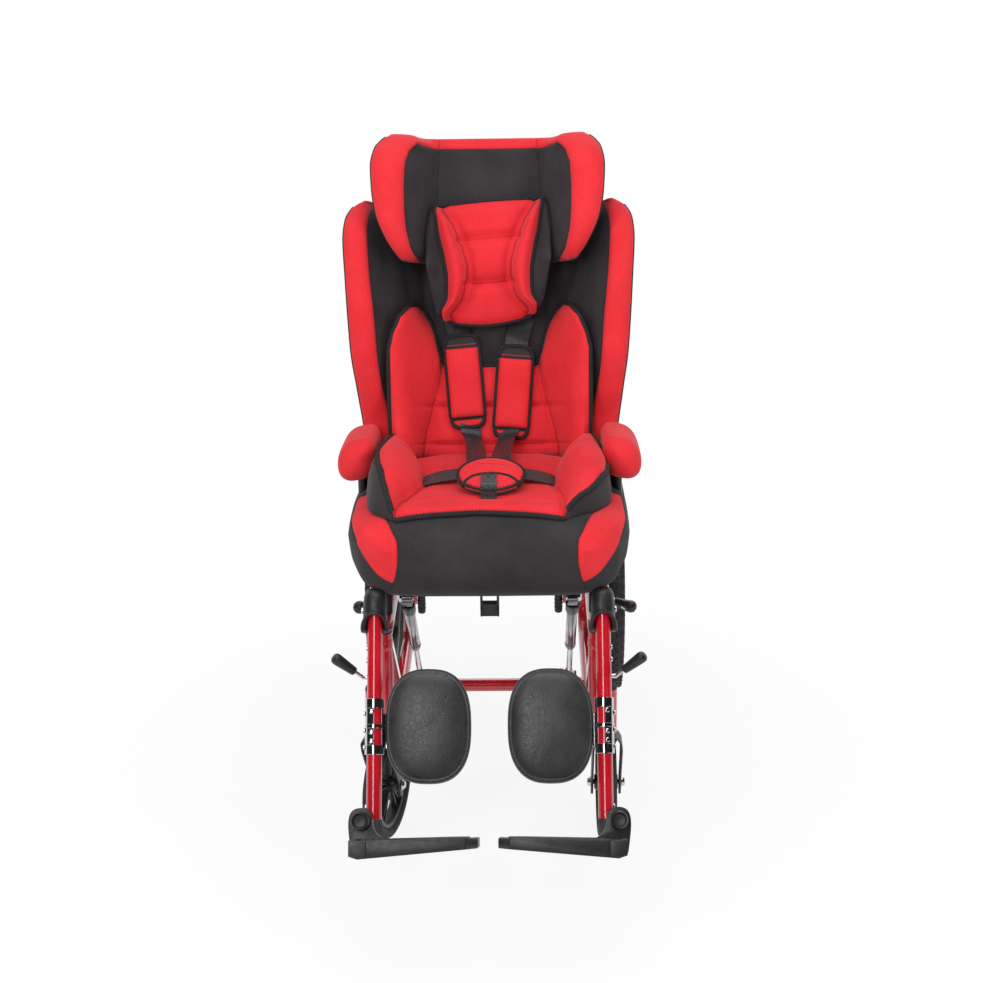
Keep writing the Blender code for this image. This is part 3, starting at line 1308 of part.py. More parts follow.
# Back insert: quilted middle and two bolsters that rise to points
BACK_INSERT_HALF = 156 * MM
BACK_INSERT_LOW_S = -12 * MM
BACK_INSERT_MID_S = 142 * MM
BACK_INSERT_TOP_S = 238 * MM


def back_insert(front):
    rise = BACK_INSERT_TOP_S - BACK_INSERT_MID_S

    def surface(u, v):
        q = abs(u)
        x = u * BACK_INSERT_HALF
        crest = ramp([(0.42, 0), (0.52, 0.35), (0.72, 0.9), (0.82, 1), (0.95, 0.86), (1, 0.6)], q)
        top = BACK_INSERT_MID_S + rise * crest
        s = BACK_INSERT_LOW_S + (top - BACK_INSERT_LOW_S) * v
        spare = 4 * MM * ramp([(WING_START - 14 * MM, 0), (WING_START + 12 * MM, 1)], abs(x))
        spare += 10 * MM * ramp([(WING_START + 12 * MM, 0), (BACK_INSERT_HALF, 1)], abs(x))
        low = back_face(x, s) + INSERT_GAP + spare
        middle = 16 * MM * (1 - 0.45 * math.exp(-(((v - 0.5) / 0.06) ** 2)))
        thick = middle * ramp([(0, 1), (0.9, 0.8), (1, 0.3)], q) + 40 * MM * bump(q, 0.58, 1.0)
        thick *= ends(v, 0.1, 0.16) * math.sqrt(max(0.0, 1 - q**8))
        return on_back(x, s, low + thick if front else low)

    return surface


piece("back_insert", padded(back_insert(True), back_insert(False), 18, 9), RED_FABRIC, BACK)

# Headrest with side wings, the pillow on it and the carrier behind
HEAD_N = 4 * MM
HEAD_TIP = 44 * MM
HEAD_START = 80 * MM


def head_half(s):
    share = (s - HEAD_BOTTOM_S) / (HEAD_TOP_S - HEAD_BOTTOM_S)
    return HEAD_HALF_WIDTH * ramp([(0, 0.74), (0.25, 0.88), (0.55, 0.99), (0.82, 1.0), (1, 0.9)], share)


def head_depth(s):
    share = (s - HEAD_BOTTOM_S) / (HEAD_TOP_S - HEAD_BOTTOM_S)
    return HEAD_WING_DEPTH * ramp([(0, 0.75), (0.3, 1.0), (0.7, 1.0), (1, 0.4)], share)


def head_face(x, s):
    inner = head_half(s) - HEAD_TIP
    p = min(max((abs(x) - HEAD_START) / (inner - HEAD_START), 0.0), 1.0)
    return HEAD_N + HEAD_THICKNESS + 0.9 * head_depth(s) * p**1.5


def head_edge(q, s, front):
    half = head_half(s)
    inner = half - HEAD_TIP
    reach = HEAD_N + HEAD_THICKNESS + 0.9 * head_depth(s)
    if not front:
        line = [
            (0, HEAD_N),
            (HEAD_START * 0.7, HEAD_N),
            (HEAD_START * 1.3, HEAD_N + 3 * MM),
            (half - 16 * MM, HEAD_N + 0.40 * head_depth(s)),
            (half, reach - 0.35 * head_depth(s)),
            (half, reach),
        ]
        return spline([(a, b, 0) for a, b in line], q)
    if q < 0.70:
        x = inner * q / 0.70
        return Vector((x, head_face(x, s), 0))
    turn = math.pi * (q - 0.70) / 0.30
    across = inner + HEAD_TIP * (0.5 - 0.5 * math.cos(turn))
    return Vector((across, reach + 0.35 * HEAD_TIP * math.sin(turn), 0))


def head_skin(front):
    def surface(u, v):
        s = HEAD_BOTTOM_S + (HEAD_TOP_S - HEAD_BOTTOM_S) * v
        q = abs(u)
        middle = (head_edge(q, s, True) + head_edge(q, s, False)) / 2
        place = middle + (head_edge(q, s, front) - middle) * ends(v, 0.14, 0.14)
        return on_back(math.copysign(place.x, u), s, place.y)

    return surface


piece("headrest", padded(head_skin(True), head_skin(False), 20, 8), RED_FABRIC, HEAD)

PILLOW_LOW_S = 192 * MM
PILLOW_TOP_S = 399 * MM
PILLOW_HALF = 101 * MM


def pillow(front):
    def surface(u, v):
        q = abs(u)
        s = PILLOW_LOW_S + (PILLOW_TOP_S - PILLOW_LOW_S) * v
        outline = [(0, 0.58), (0.12, 0.74), (0.3, 0.94), (0.55, 1.0), (0.85, 0.97), (1, 0.84)]
        x = u * PILLOW_HALF * ramp(outline, v)
        spare = 10 * MM * ramp([(50 * MM, 0), (HEAD_START + 4 * MM, 1)], abs(x))
        resting = head_face(x, max(s, HEAD_BOTTOM_S)) + PLAY + spare
        hanging = 15 * MM + 0.2 * abs(x)
        lift = ramp([(PILLOW_LOW_S, 0), (HEAD_BOTTOM_S - 6 * MM, 1)], s)
        low = hanging + (resting - hanging) * lift
        folds = math.exp(-(((v - 0.36) / 0.04) ** 2)) + math.exp(-(((v - 0.66) / 0.04) ** 2))
        middle = 20 * MM * (1 - 0.4 * folds)
        thick = middle * ramp([(0, 1), (0.85, 0.8), (1, 0.3)], q) + 24 * MM * bump(q, 0.38, 0.98)
        thick *= ends(v, 0.12, 0.12) * math.sqrt(max(0.0, 1 - q**8))
        return on_back(x, s, low + thick if front else low)

    return surface


piece("head_pillow", padded(pillow(True), pillow(False), 16, 10), RED_FABRIC, HEAD)

CARRIER_T = 4 * MM
CARRIER_HALF = 30 * MM
CARRIER_LENGTH = 260 * MM
CARRIER_TONGUE = 60 * MM
GUIDE_LENGTH = 170 * MM
SHELL_T = 5 * MM
SHELL_N = -BACK_THICKNESS - 2 * GAP
CARRIER_N = SHELL_N - SHELL_T - CARRIER_T / 2 - GAP
CARRIER_STEP_S = BACK_HEIGHT + 24 * MM
carrier_rear = slab(
    [
        on_back(-CARRIER_HALF, CARRIER_STEP_S + CARRIER_T / 2, CARRIER_N),
        on_back(CARRIER_HALF, CARRIER_STEP_S + CARRIER_T / 2, CARRIER_N),
        on_back(CARRIER_HALF, CARRIER_STEP_S - CARRIER_LENGTH, CARRIER_N),
        on_back(-CARRIER_HALF, CARRIER_STEP_S - CARRIER_LENGTH, CARRIER_N),
    ],
    CARRIER_T,
    BACK_FORWARD,
)
CARRIER_FRONT_N = HEAD_N - GAP - CARRIER_T / 2
carrier_step = slab(
    [
        on_back(-CARRIER_HALF, CARRIER_STEP_S, CARRIER_N),
        on_back(CARRIER_HALF, CARRIER_STEP_S, CARRIER_N),
        on_back(CARRIER_HALF, CARRIER_STEP_S, CARRIER_FRONT_N),
        on_back(-CARRIER_HALF, CARRIER_STEP_S, CARRIER_FRONT_N),
    ],
    CARRIER_T,
    BACK_UP,
)
carrier_front = slab(
    [
        on_back(-CARRIER_HALF, CARRIER_STEP_S - CARRIER_T / 2, CARRIER_FRONT_N),
        on_back(CARRIER_HALF, CARRIER_STEP_S - CARRIER_T / 2, CARRIER_FRONT_N),
        on_back(CARRIER_HALF * 0.7, CARRIER_STEP_S + CARRIER_TONGUE, CARRIER_FRONT_N),
        on_back(-CARRIER_HALF * 0.7, CARRIER_STEP_S + CARRIER_TONGUE, CARRIER_FRONT_N),
    ],
    CARRIER_T,
    BACK_FORWARD,
)
piece("headrest_carrier", welded(carrier_rear, [carrier_step, carrier_front]), BLACK_PLASTIC, HEAD)


# Back shell with ribs that meet the frame and guides for the headrest carrier
def shell_skin(front):
    def surface(u, v):
        s = BACK_LOW_S + 4 * MM + (BACK_HEIGHT - BACK_LOW_S - 16 * MM) * v
        x = u * back_half(s) * 0.84
        n = SHELL_N - (0.0 if front else SHELL_T)
        return on_back(x, s, n)

    return surface


BRACE_R = FRAME_TUBE_R * 0.85
RIB_BACK_N = BACK_TUBE_N + BRACE_R + GAP
ribs = []
BRACE_S = (48 * MM, BACK_HEIGHT - 76 * MM)
for s in BRACE_S:
    for side_name, side in SIDES:
        a = SHELL_N - SHELL_T / 2
        ribs.append(
            slab(
                [
                    on_back(side * 52 * MM, s, a),
                    on_back(side * 120 * MM, s, a),
                    on_back(side * 120 * MM, s, RIB_BACK_N),
                    on_back(side * 52 * MM, s, RIB_BACK_N),
                ],
                9 * MM,
                BACK_UP,
            )
        )
for side_name, side in SIDES:
    high = BACK_HEIGHT - 20 * MM
    low = high - GUIDE_LENGTH
    wall = side * (CARRIER_HALF + PLAY + 2 * MM)
    ribs.append(
        slab(
            [
                on_back(wall, low, SHELL_N - SHELL_T / 2),
                on_back(wall, high, SHELL_N - SHELL_T / 2),
                on_back(wall, high, CARRIER_N - CARRIER_T / 2 - PLAY - 3 * MM),
                on_back(wall, low, CARRIER_N - CARRIER_T / 2 - PLAY - 3 * MM),
            ],
            4 * MM,
            X_AXIS,
        )
    )
    lip = CARRIER_N - CARRIER_T / 2 - PLAY - 1.5 * MM
    ribs.append(
        slab(
            [
                on_back(wall + side * 1 * MM, low + 3 * MM, lip - 0.5 * MM),
                on_back(wall + side * 1 * MM, high - 3 * MM, lip - 0.5 * MM),
                on_back(wall - side * 9 * MM, high - 3 * MM, lip - 0.5 * MM),
                on_back(wall - side * 9 * MM, low + 3 * MM, lip - 0.5 * MM),
            ],
            3 * MM,
            BACK_FORWARD,
        )
    )
piece("back_shell", welded(padded(shell_skin(True), shell_skin(False), 10, 8), ribs), BLACK_PLASTIC, BACK)

# Back frame: uprights that bend back into the push bar, two braces, recline pins and release bar pins
BAR_S = BACK_HEIGHT + 45 * MM
bend_top = on_back(0, BAR_S, BACK_TUBE_N)
BAR_Y = bend_top.y + PUSH_BAR_REACH
BAR_Z = bend_top.z + 24 * MM
BAR_PIVOT_Y = BAR_Y - 62 * MM
BAR_PIVOT_Z = BAR_Z - 10 * MM
bar_path = []
for side in (-1, 1):
    low = on_back(side * BACK_TUBE_X, RECLINE_S - 13 * MM, BACK_TUBE_N)
    high = on_back(side * BACK_TUBE_X, BAR_S, BACK_TUBE_N)
    rear = Vector((side * BACK_TUBE_X, BAR_Y, BAR_Z))
    bar_path += [low, high, rear] if side < 0 else [rear, high, low]
added = []
for s in BRACE_S:
    added.append(
        tube([on_back(-BACK_TUBE_X, s, BACK_TUBE_N), on_back(BACK_TUBE_X, s, BACK_TUBE_N)], BRACE_R)
    )
for side_name, side in SIDES:
    start = on_back(side * BACK_TUBE_X, RECLINE_S, BACK_TUBE_N)
    pin_length = RECLINE_PLATE_X - BACK_TUBE_X + PLATE_T / 2 + 3 * MM
    added.append(rod(start, start + X_AXIS * side * pin_length, PIVOT_R))
    start = Vector((side * BACK_TUBE_X, BAR_PIVOT_Y, BAR_PIVOT_Z))
    added.append(rod(start, start - X_AXIS * side * (FRAME_TUBE_R + 9 * MM), 4 * MM, 12))
piece("back_frame", welded(tube(bar_path, FRAME_TUBE_R, bend=36 * MM), added), RED_PAINT, BACK)

GRIP_HALF = BACK_TUBE_X - 44 * MM
grip_profile = [
    (clear(FRAME_TUBE_R, 14), -GRIP_HALF),
    (FRAME_TUBE_R + 4 * MM, -GRIP_HALF),
    (FRAME_TUBE_R + 5.5 * MM, -GRIP_HALF + 4 * MM),
    (FRAME_TUBE_R + 5.5 * MM, GRIP_HALF - 4 * MM),
    (FRAME_TUBE_R + 4 * MM, GRIP_HALF),
    (clear(FRAME_TUBE_R, 14), GRIP_HALF),
]
piece("push_grip", turned(grip_profile, (0, BAR_Y, BAR_Z), X_AXIS, 14, True), BLACK_RUBBER, BACK)

RELEASE = body("release_bar_hinge", (0, BAR_PIVOT_Y, BAR_PIVOT_Z), BACK)
cheek_x = BACK_TUBE_X - FRAME_TUBE_R - 5 * MM
cheeks = []
holes = []
for side_name, side in SIDES:
    cheeks.append(
        slab(
            [
                (side * cheek_x, BAR_PIVOT_Y - 8 * MM, BAR_PIVOT_Z - 4 * MM),
                (side * cheek_x, BAR_PIVOT_Y - 2 * MM, BAR_PIVOT_Z + 8 * MM),
                (side * cheek_x, BAR_PIVOT_Y + 8 * MM, BAR_PIVOT_Z + 5 * MM),
                (side * cheek_x, BAR_Y + 6 * MM, BAR_Z - 46 * MM),
                (side * cheek_x, BAR_Y - 4 * MM, BAR_Z - 54 * MM),
            ],
            4 * MM,
            X_AXIS,
        )
    )
    holes.append(
        rod(
            (side * cheek_x - 0.01, BAR_PIVOT_Y, BAR_PIVOT_Z),
            (side * cheek_x + 0.01, BAR_PIVOT_Y, BAR_PIVOT_Z),
            clear(4 * MM, 12),
            12,
        )
    )
handle = rod((-cheek_x, BAR_Y, BAR_Z - 48 * MM), (cheek_x, BAR_Y, BAR_Z - 48 * MM), 6 * MM, 12)
piece("release_bar", welded(handle, cheeks, holes), BLACK_PLASTIC, RELEASE)

# Harness: shoulder straps with pads on the back; webbing, buckle, buckle pad and crotch strap on the seat
STRAP_N = 16 * MM + INSERT_GAP + WEBBING_T / 2 + 0.2 * GAP
for side_name, side in SIDES:
    x = side * STRAP_X
    path = []
    course = [(214, 3.2), (198, 4.5), (184, 8), (172, 14), (160, 18.5), (146, 20.4), (110, 20.4), (70, 20.4)]
    course.append((36, 20.8))
    for s, n in course:
        share = n / 20.4
        path.append(on_back(x, s * MM, STRAP_N * share if share < 1 else STRAP_N))
    piece(f"{side_name}_shoulder_strap", ribbon(path, WEBBING_WIDTH, WEBBING_T), WEBBING, BACK)
    pad_n = STRAP_N + WEBBING_T / 2 + GAP
    middle = on_back(x, 108 * MM, 0)
    outline = oval(middle, X_AXIS, BACK_UP, SHOULDER_PAD_WIDTH / 2, SHOULDER_PAD_LENGTH / 2, 16, 6.0)
    levels = []
    for share, height in ((0.93, 0.0), (1.0, 0.25), (1.0, 0.55), (0.94, 0.85), (0.6, 1.0)):
        levels.append((share, BACK_FORWARD * (pad_n + SHOULDER_PAD_T * height)))
    piece(f"{side_name}_shoulder_pad", domed(outline, middle, levels), RED_FABRIC, BACK)

BUCKLE_Y = INSERT_FRONT_Y + 112 * MM
STRAP_REST = 15 * MM + INSERT_GAP + GAP
BUCKLE_LOW_Z = seat_top(BUCKLE_Y - 30 * MM) + STRAP_REST + WEBBING_T + GAP
BUCKLE_TOP_Z = BUCKLE_LOW_Z + BUCKLE_T
lap_z = BUCKLE_LOW_Z + BUCKLE_T / 2
tongue = box((0, BUCKLE_Y + BUCKLE_LENGTH / 2 + 8 * MM + GAP, lap_z), (86 * MM, 16 * MM, 4 * MM))
straps = []
for side_name, side in SIDES:
    straps.append(
        ribbon(
            [
                (side * 30 * MM, BUCKLE_Y + BUCKLE_LENGTH / 2 + 8 * MM, lap_z),
                (side * 52 * MM, BUCKLE_Y + 50 * MM, lap_z + 2 * MM),
                (side * 84 * MM, BUCKLE_Y + 84 * MM, lap_z + 5 * MM),
                (side * 96 * MM, BUCKLE_Y + 112 * MM, lap_z + 16 * MM),
            ],
            WEBBING_WIDTH * 0.8,
            WEBBING_T,
            (0, 1, 0),
        )
    )
    straps.append(
        ribbon(
            [
                (side * 23 * MM, BUCKLE_Y + BUCKLE_LENGTH / 2 + 8 * MM, lap_z),
                (side * 27 * MM, BUCKLE_Y + 60 * MM, lap_z + 4 * MM),
                (side * 34 * MM, BUCKLE_Y + 110 * MM, lap_z + 7 * MM),
                (side * STRAP_X, BACK_Y - 30 * MM, lap_z + 14 * MM),
            ],
            WEBBING_WIDTH,
            WEBBING_T,
        )
    )
piece("lower_harness", welded(tongue, straps), WEBBING, SEAT)
buckle_outline = oval((0, BUCKLE_Y, lap_z), X_AXIS, Y_AXIS, BUCKLE_WIDTH / 2, BUCKLE_LENGTH / 2, 20, 4.0)
buckle = slab(buckle_outline, BUCKLE_T, Z_AXIS)
piece("buckle", buckle, BLACK_PLASTIC, SEAT)
middle = Vector((0, BUCKLE_Y + 1 * MM, BUCKLE_TOP_Z + GAP))
outline = oval(middle, X_AXIS, Y_AXIS, BUCKLE_PAD_WIDTH / 2, BUCKLE_PAD_LENGTH / 2, 20, 2.2)
levels = []
for share, height in ((0.9, 0.0), (1.0, 0.28), (0.97, 0.5), (0.82, 0.8), (0.5, 0.97), (0.2, 1.0)):
    levels.append((share, Z_AXIS * BUCKLE_PAD_T * height))
piece("buckle_pad", domed(outline, middle, levels), RED_FABRIC, SEAT)
crotch = []
for y in (14, -20, -50, -84):
    py = BUCKLE_Y + y * MM
    crotch.append((0, py, seat_top(py) + STRAP_REST + WEBBING_T / 2))
piece("crotch_strap", ribbon(crotch, WEBBING_WIDTH * 0.72, WEBBING_T), WEBBING, SEAT)

# Release cables: from a barrel beside each gas spring lug, under the pan to the recline pivot
for side_name, side in SIDES:
    barrel_x = side * (GAS_X - 13 * MM - PLATE_T / 2 - GAP - 6 * MM)
    under = SEAT_RAIL_Z - FRAME_TUBE_R - 6 * MM
    barrel = rod((barrel_x, GAS_TOP_Y, under - 36 * MM), (barrel_x, GAS_TOP_Y, under), 6 * MM, 10)
    path = [
        (barrel_x, GAS_TOP_Y, under - 6 * MM),
        (barrel_x - side * 14 * MM, GAS_TOP_Y - 2 * MM, under - 5 * MM),
        (side * 52 * MM, GAS_TOP_Y + 14 * MM, under - 7 * MM),
        (side * 18 * MM, GAS_TOP_Y + 52 * MM, under + 4 * MM),
        (side * 14 * MM, GAS_TOP_Y + 120 * MM, under + 8 * MM),
        (side * 30 * MM, TILT_PIVOT_Y - 100 * MM, under - 2 * MM),
        (side * 70 * MM, TILT_PIVOT_Y - 50 * MM, under - 2 * MM),
        (side * (BACK_TUBE_X - FRAME_TUBE_R - 26 * MM), RECLINE.y - 16 * MM, under + 18 * MM),
        (side * (BACK_TUBE_X - FRAME_TUBE_R - 4 * PLAY), RECLINE.y, RECLINE.z),
    ]
    smooth = [spline(path, k / 18) for k in range(19)]
    piece(f"{side_name}_release_cable", welded(tube(smooth, 2.5 * MM, 5), [barrel]), BLACK_RUBBER, SEAT)
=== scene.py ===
"""The finished look of the special needs stroller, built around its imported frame."""

import math

import bmesh
import bpy
import numpy as np
from mathutils import Matrix, Vector
from mathutils.bvhtree import BVHTree


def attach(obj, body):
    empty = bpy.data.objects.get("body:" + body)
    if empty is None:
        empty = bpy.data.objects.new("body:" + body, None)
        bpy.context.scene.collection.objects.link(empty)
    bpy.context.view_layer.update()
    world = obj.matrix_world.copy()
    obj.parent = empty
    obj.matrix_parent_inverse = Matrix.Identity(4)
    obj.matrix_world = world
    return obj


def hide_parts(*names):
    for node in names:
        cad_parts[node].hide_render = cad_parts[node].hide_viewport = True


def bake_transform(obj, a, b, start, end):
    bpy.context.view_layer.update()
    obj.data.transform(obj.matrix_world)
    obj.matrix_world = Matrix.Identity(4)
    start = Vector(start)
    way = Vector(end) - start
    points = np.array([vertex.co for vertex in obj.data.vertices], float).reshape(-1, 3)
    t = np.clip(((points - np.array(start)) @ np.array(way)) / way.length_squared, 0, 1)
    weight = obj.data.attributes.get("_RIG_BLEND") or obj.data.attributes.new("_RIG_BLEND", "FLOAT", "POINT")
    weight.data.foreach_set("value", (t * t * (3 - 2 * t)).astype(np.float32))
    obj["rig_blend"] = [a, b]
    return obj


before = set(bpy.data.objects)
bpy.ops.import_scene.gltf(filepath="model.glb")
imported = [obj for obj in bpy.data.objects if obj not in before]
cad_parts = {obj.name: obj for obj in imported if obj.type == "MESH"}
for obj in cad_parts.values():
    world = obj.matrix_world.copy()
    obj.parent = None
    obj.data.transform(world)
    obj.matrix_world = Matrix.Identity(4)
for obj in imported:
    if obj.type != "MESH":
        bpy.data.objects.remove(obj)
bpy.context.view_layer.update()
scene = bpy.context.scene
scene.view_settings.view_transform = "Standard"

# Camera: stands 2.8 m in front of the chair, 1.5 m above the floor, and looks down at it by 20 degrees.
# All drawing sizes below are millimetres; the drawing's own zero lies MIDDLE behind the frame's.
MM = 0.001
MIDDLE = 46.2811
camera_data = bpy.data.cameras.new("camera")
camera_data.sensor_width = 36
camera_data.lens = 36 * 1800 / 983
camera = bpy.data.objects.new("camera", camera_data)
stand = Matrix.Translation((0, MIDDLE * MM, 0)) @ Matrix.Rotation(math.radians(1.2), 4, "Z")
aim = Matrix.Rotation(math.radians(70), 4, "X") @ Matrix.Rotation(math.radians(-0.9), 4, "Z")
camera.matrix_world = stand @ Matrix.Translation((0, -2.755, 1.5)) @ aim
scene.collection.objects.link(camera)
scene.camera = camera


# Floor and light: a wide pale studio floor, a strip box on each side, soft boxes in front, above and behind.
# The floor turns to plain white away from the wheels, as under a seamless paper backdrop.
# A dark curtain behind the camera shows only in plated and coated parts, which would else look blank.
def add(tree, kind, *values, settings=None, **sockets):
    """One node: values fill its inputs in order, sockets by name; a socket links, a number is set."""
    node = tree.nodes.new(kind)
    for key, value in (settings or {}).items():
        setattr(node, key, value)
    filled = list(zip(node.inputs, values))
    filled += [(node.inputs[key.replace("_", " ")], value) for key, value in sockets.items()]
    for socket, value in filled:
        if isinstance(value, bpy.types.NodeSocket):
            tree.links.new(value, socket)
        elif value is not None:
            socket.default_value = value
    return node


def sum_of(tree, operation, *values):
    """One sum on the values."""
    return add(tree, "ShaderNodeMath", *values, settings={"operation": operation}).outputs[0]


def ranged(tree, value, low, high, new_low, new_high):
    """The value moved from one range to another, and kept within it."""
    return add(tree, "ShaderNodeMapRange", value, low, high, new_low, new_high).outputs[0]


def seen_straight(tree):
    """1 for what the camera, a mirror or glass sees, 0 for the light that falls on things."""
    path = add(tree, "ShaderNodeLightPath").outputs
    mirror = sum_of(tree, "MAXIMUM", path["Is Camera Ray"], path["Is Glossy Ray"])
    return sum_of(tree, "MAXIMUM", mirror, path["Is Transmission Ray"])


world = bpy.data.worlds.new("studio")
world.use_nodes = True
scene.world = world
tree = world.node_tree
tree.nodes.clear()
WORLD_GLOW = 0.42
glow = ranged(tree, seen_straight(tree), 0.0, 1.0, WORLD_GLOW, 1.0)
sky = add(tree, "ShaderNodeBackground", (1, 1, 1, 1), glow)
add(tree, "ShaderNodeOutputWorld", sky.outputs[0])

paper = bpy.data.materials.new("studio_floor")
paper.use_nodes = True
tree = paper.node_tree
tree.nodes.clear()
place = add(tree, "ShaderNodeTexCoord").outputs["Object"]
away = add(tree, "ShaderNodeVectorMath", place, settings={"operation": "LENGTH"}).outputs["Value"]
fade = add(
    tree, "ShaderNodeMapRange", away, 0.3, 1.05, 0.88, 1.0, settings={"interpolation_type": "SMOOTHSTEP"}
)
share = sum_of(tree, "MULTIPLY", fade.outputs[0], seen_straight(tree))
grain = add(tree, "ShaderNodeTexNoise", place, Scale=60.0)
matt = add(tree, "ShaderNodeBsdfDiffuse", ranged(tree, grain.outputs[0], 0.0, 1.0, 0.80, 0.84))
white = add(tree, "ShaderNodeEmission", (1, 1, 1, 1), 1.0)
mixed = add(tree, "ShaderNodeMixShader", share, matt.outputs[0], white.outputs[0])
add(tree, "ShaderNodeOutputMaterial", mixed.outputs[0])
floor_mesh = bpy.data.meshes.new("studio_floor")
FLOOR_REACH = 30
corners = [(a * FLOOR_REACH, b * FLOOR_REACH, 0) for a, b in ((-1, -1), (1, -1), (1, 1), (-1, 1))]
floor_mesh.from_pydata(corners, [], [(0, 1, 2, 3)])
floor_mesh.materials.append(paper)
studio_floor = bpy.data.objects.new("studio_floor", floor_mesh)
scene.collection.objects.link(studio_floor)

for name, place, target, wide, tall, power in (
    ("left_strip_box", (-2.3, -2.2, 1.9), (0, 0, 0.6), 0.5, 2.2, 30),
    ("right_strip_box", (2.4, -1.9, 1.8), (0, 0, 0.6), 0.5, 2.2, 28),
    ("front_soft_box", (-0.75, -3.3, 2.5), (0, 0, 0.7), 0.85, 1.8, 37),
    ("top_soft_box", (0, -0.6, 3.2), (0, 0, 0.5), 2.2, 2.2, 28),
    ("rear_soft_box", (0.4, 2.6, 2.2), (0, 0, 0.6), 1.6, 1.6, 22),
):
    lamp = bpy.data.lights.new(name, "AREA")
    lamp.shape = "RECTANGLE"
    lamp.size = wide
    lamp.size_y = tall
    lamp.energy = power
    lamp_object = bpy.data.objects.new(name, lamp)
    lamp_object.location = place
    lamp_object.rotation_euler = (Vector(target) - Vector(place)).to_track_quat("-Z", "Y").to_euler()
    lamp_object.visible_glossy = "strip" not in name
    scene.collection.objects.link(lamp_object)

dark_cloth = bpy.data.materials.new("dark_curtain")
dark_cloth.use_nodes = True
tree = dark_cloth.node_tree
tree.nodes.clear()
grain = add(tree, "ShaderNodeTexNoise", add(tree, "ShaderNodeTexCoord").outputs["Object"], Scale=3.0)
matt = add(tree, "ShaderNodeBsdfDiffuse", ranged(tree, grain.outputs[0], 0.0, 1.0, 0.02, 0.05))
add(tree, "ShaderNodeOutputMaterial", matt.outputs[0])
curtain_mesh = bpy.data.meshes.new("dark_curtain")
CURTAIN_R = 4.4
posts = []
for k in range(25):
    a = math.radians(-185 + 190 * k / 24)
    for rise in (2, 18, 34, 50, 66):
        e = math.radians(rise)
        far = CURTAIN_R * math.cos(a) * math.cos(e), CURTAIN_R * math.sin(a) * math.cos(e)
        posts.append((*far, CURTAIN_R * math.sin(e)))
panes = [(5 * k + r, 5 * k + r + 5, 5 * k + r + 6, 5 * k + r + 1) for k in range(24) for r in range(4)]
curtain_mesh.from_pydata(posts, [], panes)
curtain_mesh.materials.append(dark_cloth)
curtain = bpy.data.objects.new("dark_curtain", curtain_mesh)
scene.collection.objects.link(curtain)
curtain.visible_camera = False
curtain.visible_diffuse = False
curtain.visible_shadow = False


def material(name):
    """A new material, its node tree, its shader and the piece's own coordinates."""
    made_of = bpy.data.materials.new(name)
    made_of.use_nodes = True
    nodes = made_of.node_tree
    return made_of, nodes, nodes.nodes["Principled BSDF"], add(nodes, "ShaderNodeTexCoord").outputs["Object"]


def noise(nodes, place, scale, detail=2.0, low=0.0, high=1.0):
    """Soft blotches of the given scale, spread from low to high."""
    blotch = add(nodes, "ShaderNodeTexNoise", place, Scale=scale, Detail=detail)
    return ranged(nodes, blotch.outputs[0], 0.3, 0.7, low, high)


def mix(nodes, share, first, second):
    """Two colours mixed by a share."""
    node = add(nodes, "ShaderNodeMix", settings={"data_type": "RGBA"})
    for index, value in ((0, share), (6, first), (7, second)):
        if isinstance(value, bpy.types.NodeSocket):
            nodes.links.new(value, node.inputs[index])
        else:
            node.inputs[index].default_value = value if index == 0 else (*value, 1)
    return node.outputs[2]


def relief(nodes, shader, height, strength, depth):
    """Bump on the shader from a height."""
    bump = add(nodes, "ShaderNodeBump", Strength=strength, Distance=depth * MM, Height=height)
    nodes.links.new(bump.outputs[0], shader.inputs["Normal"])


def coat(nodes, shader, place, blotch, dark, light, grain, smooth, dull):
    """Colour between dark and light, gloss between smooth and dull; blotch and grain are scale and detail."""
    nodes.links.new(mix(nodes, noise(nodes, place, *blotch), dark, light), shader.inputs["Base Color"])
    nodes.links.new(noise(nodes, place, *grain, smooth, dull), shader.inputs["Roughness"])


red_paint, nodes, shader, place = material("glossy_red_coating")
coat(nodes, shader, place, (22.0, 2.0), (0.42, 0.004, 0.012), (0.53, 0.008, 0.020), (40.0, 3.0), 0.14, 0.22)
shader.inputs["Coat Weight"].default_value = 0.7
shader.inputs["Coat Roughness"].default_value = 0.05
relief(nodes, shader, noise(nodes, place, 260.0), 0.03, 0.2)

chrome, nodes, shader, place = material("bright_plating")
coat(nodes, shader, place, (30.0, 2.0), (0.52, 0.52, 0.54), (0.64, 0.64, 0.66), (90.0, 4.0), 0.06, 0.12)
shader.inputs["Metallic"].default_value = 1.0
relief(nodes, shader, noise(nodes, place, 180.0), 0.015, 0.1)

black_plastic, nodes, shader, place = material("moulded_black_plastic")
coat(nodes, shader, place, (35.0, 4.0), (0.010, 0.0095, 0.010), (0.022, 0.021, 0.022), (160.0, 4.0), 0.30, 0.46)
spark = add(nodes, "ShaderNodeTexVoronoi", place, Scale=1100.0)
relief(nodes, shader, spark.outputs["Distance"], 0.22, 0.25)

black_rubber, nodes, shader, place = material("black_rubber")
coat(nodes, shader, place, (28.0, 5.0), (0.013, 0.013, 0.014), (0.036, 0.035, 0.034), (120.0, 4.0), 0.62, 0.86)
relief(nodes, shader, noise(nodes, place, 900.0, 4.0), 0.2, 0.3)


def spot(x, y, z):
    """A point of the drawing, in millimetres, in the frame's metres."""
    return Vector((x, y + MIDDLE, z)) * MM


BEND_STEPS = 9


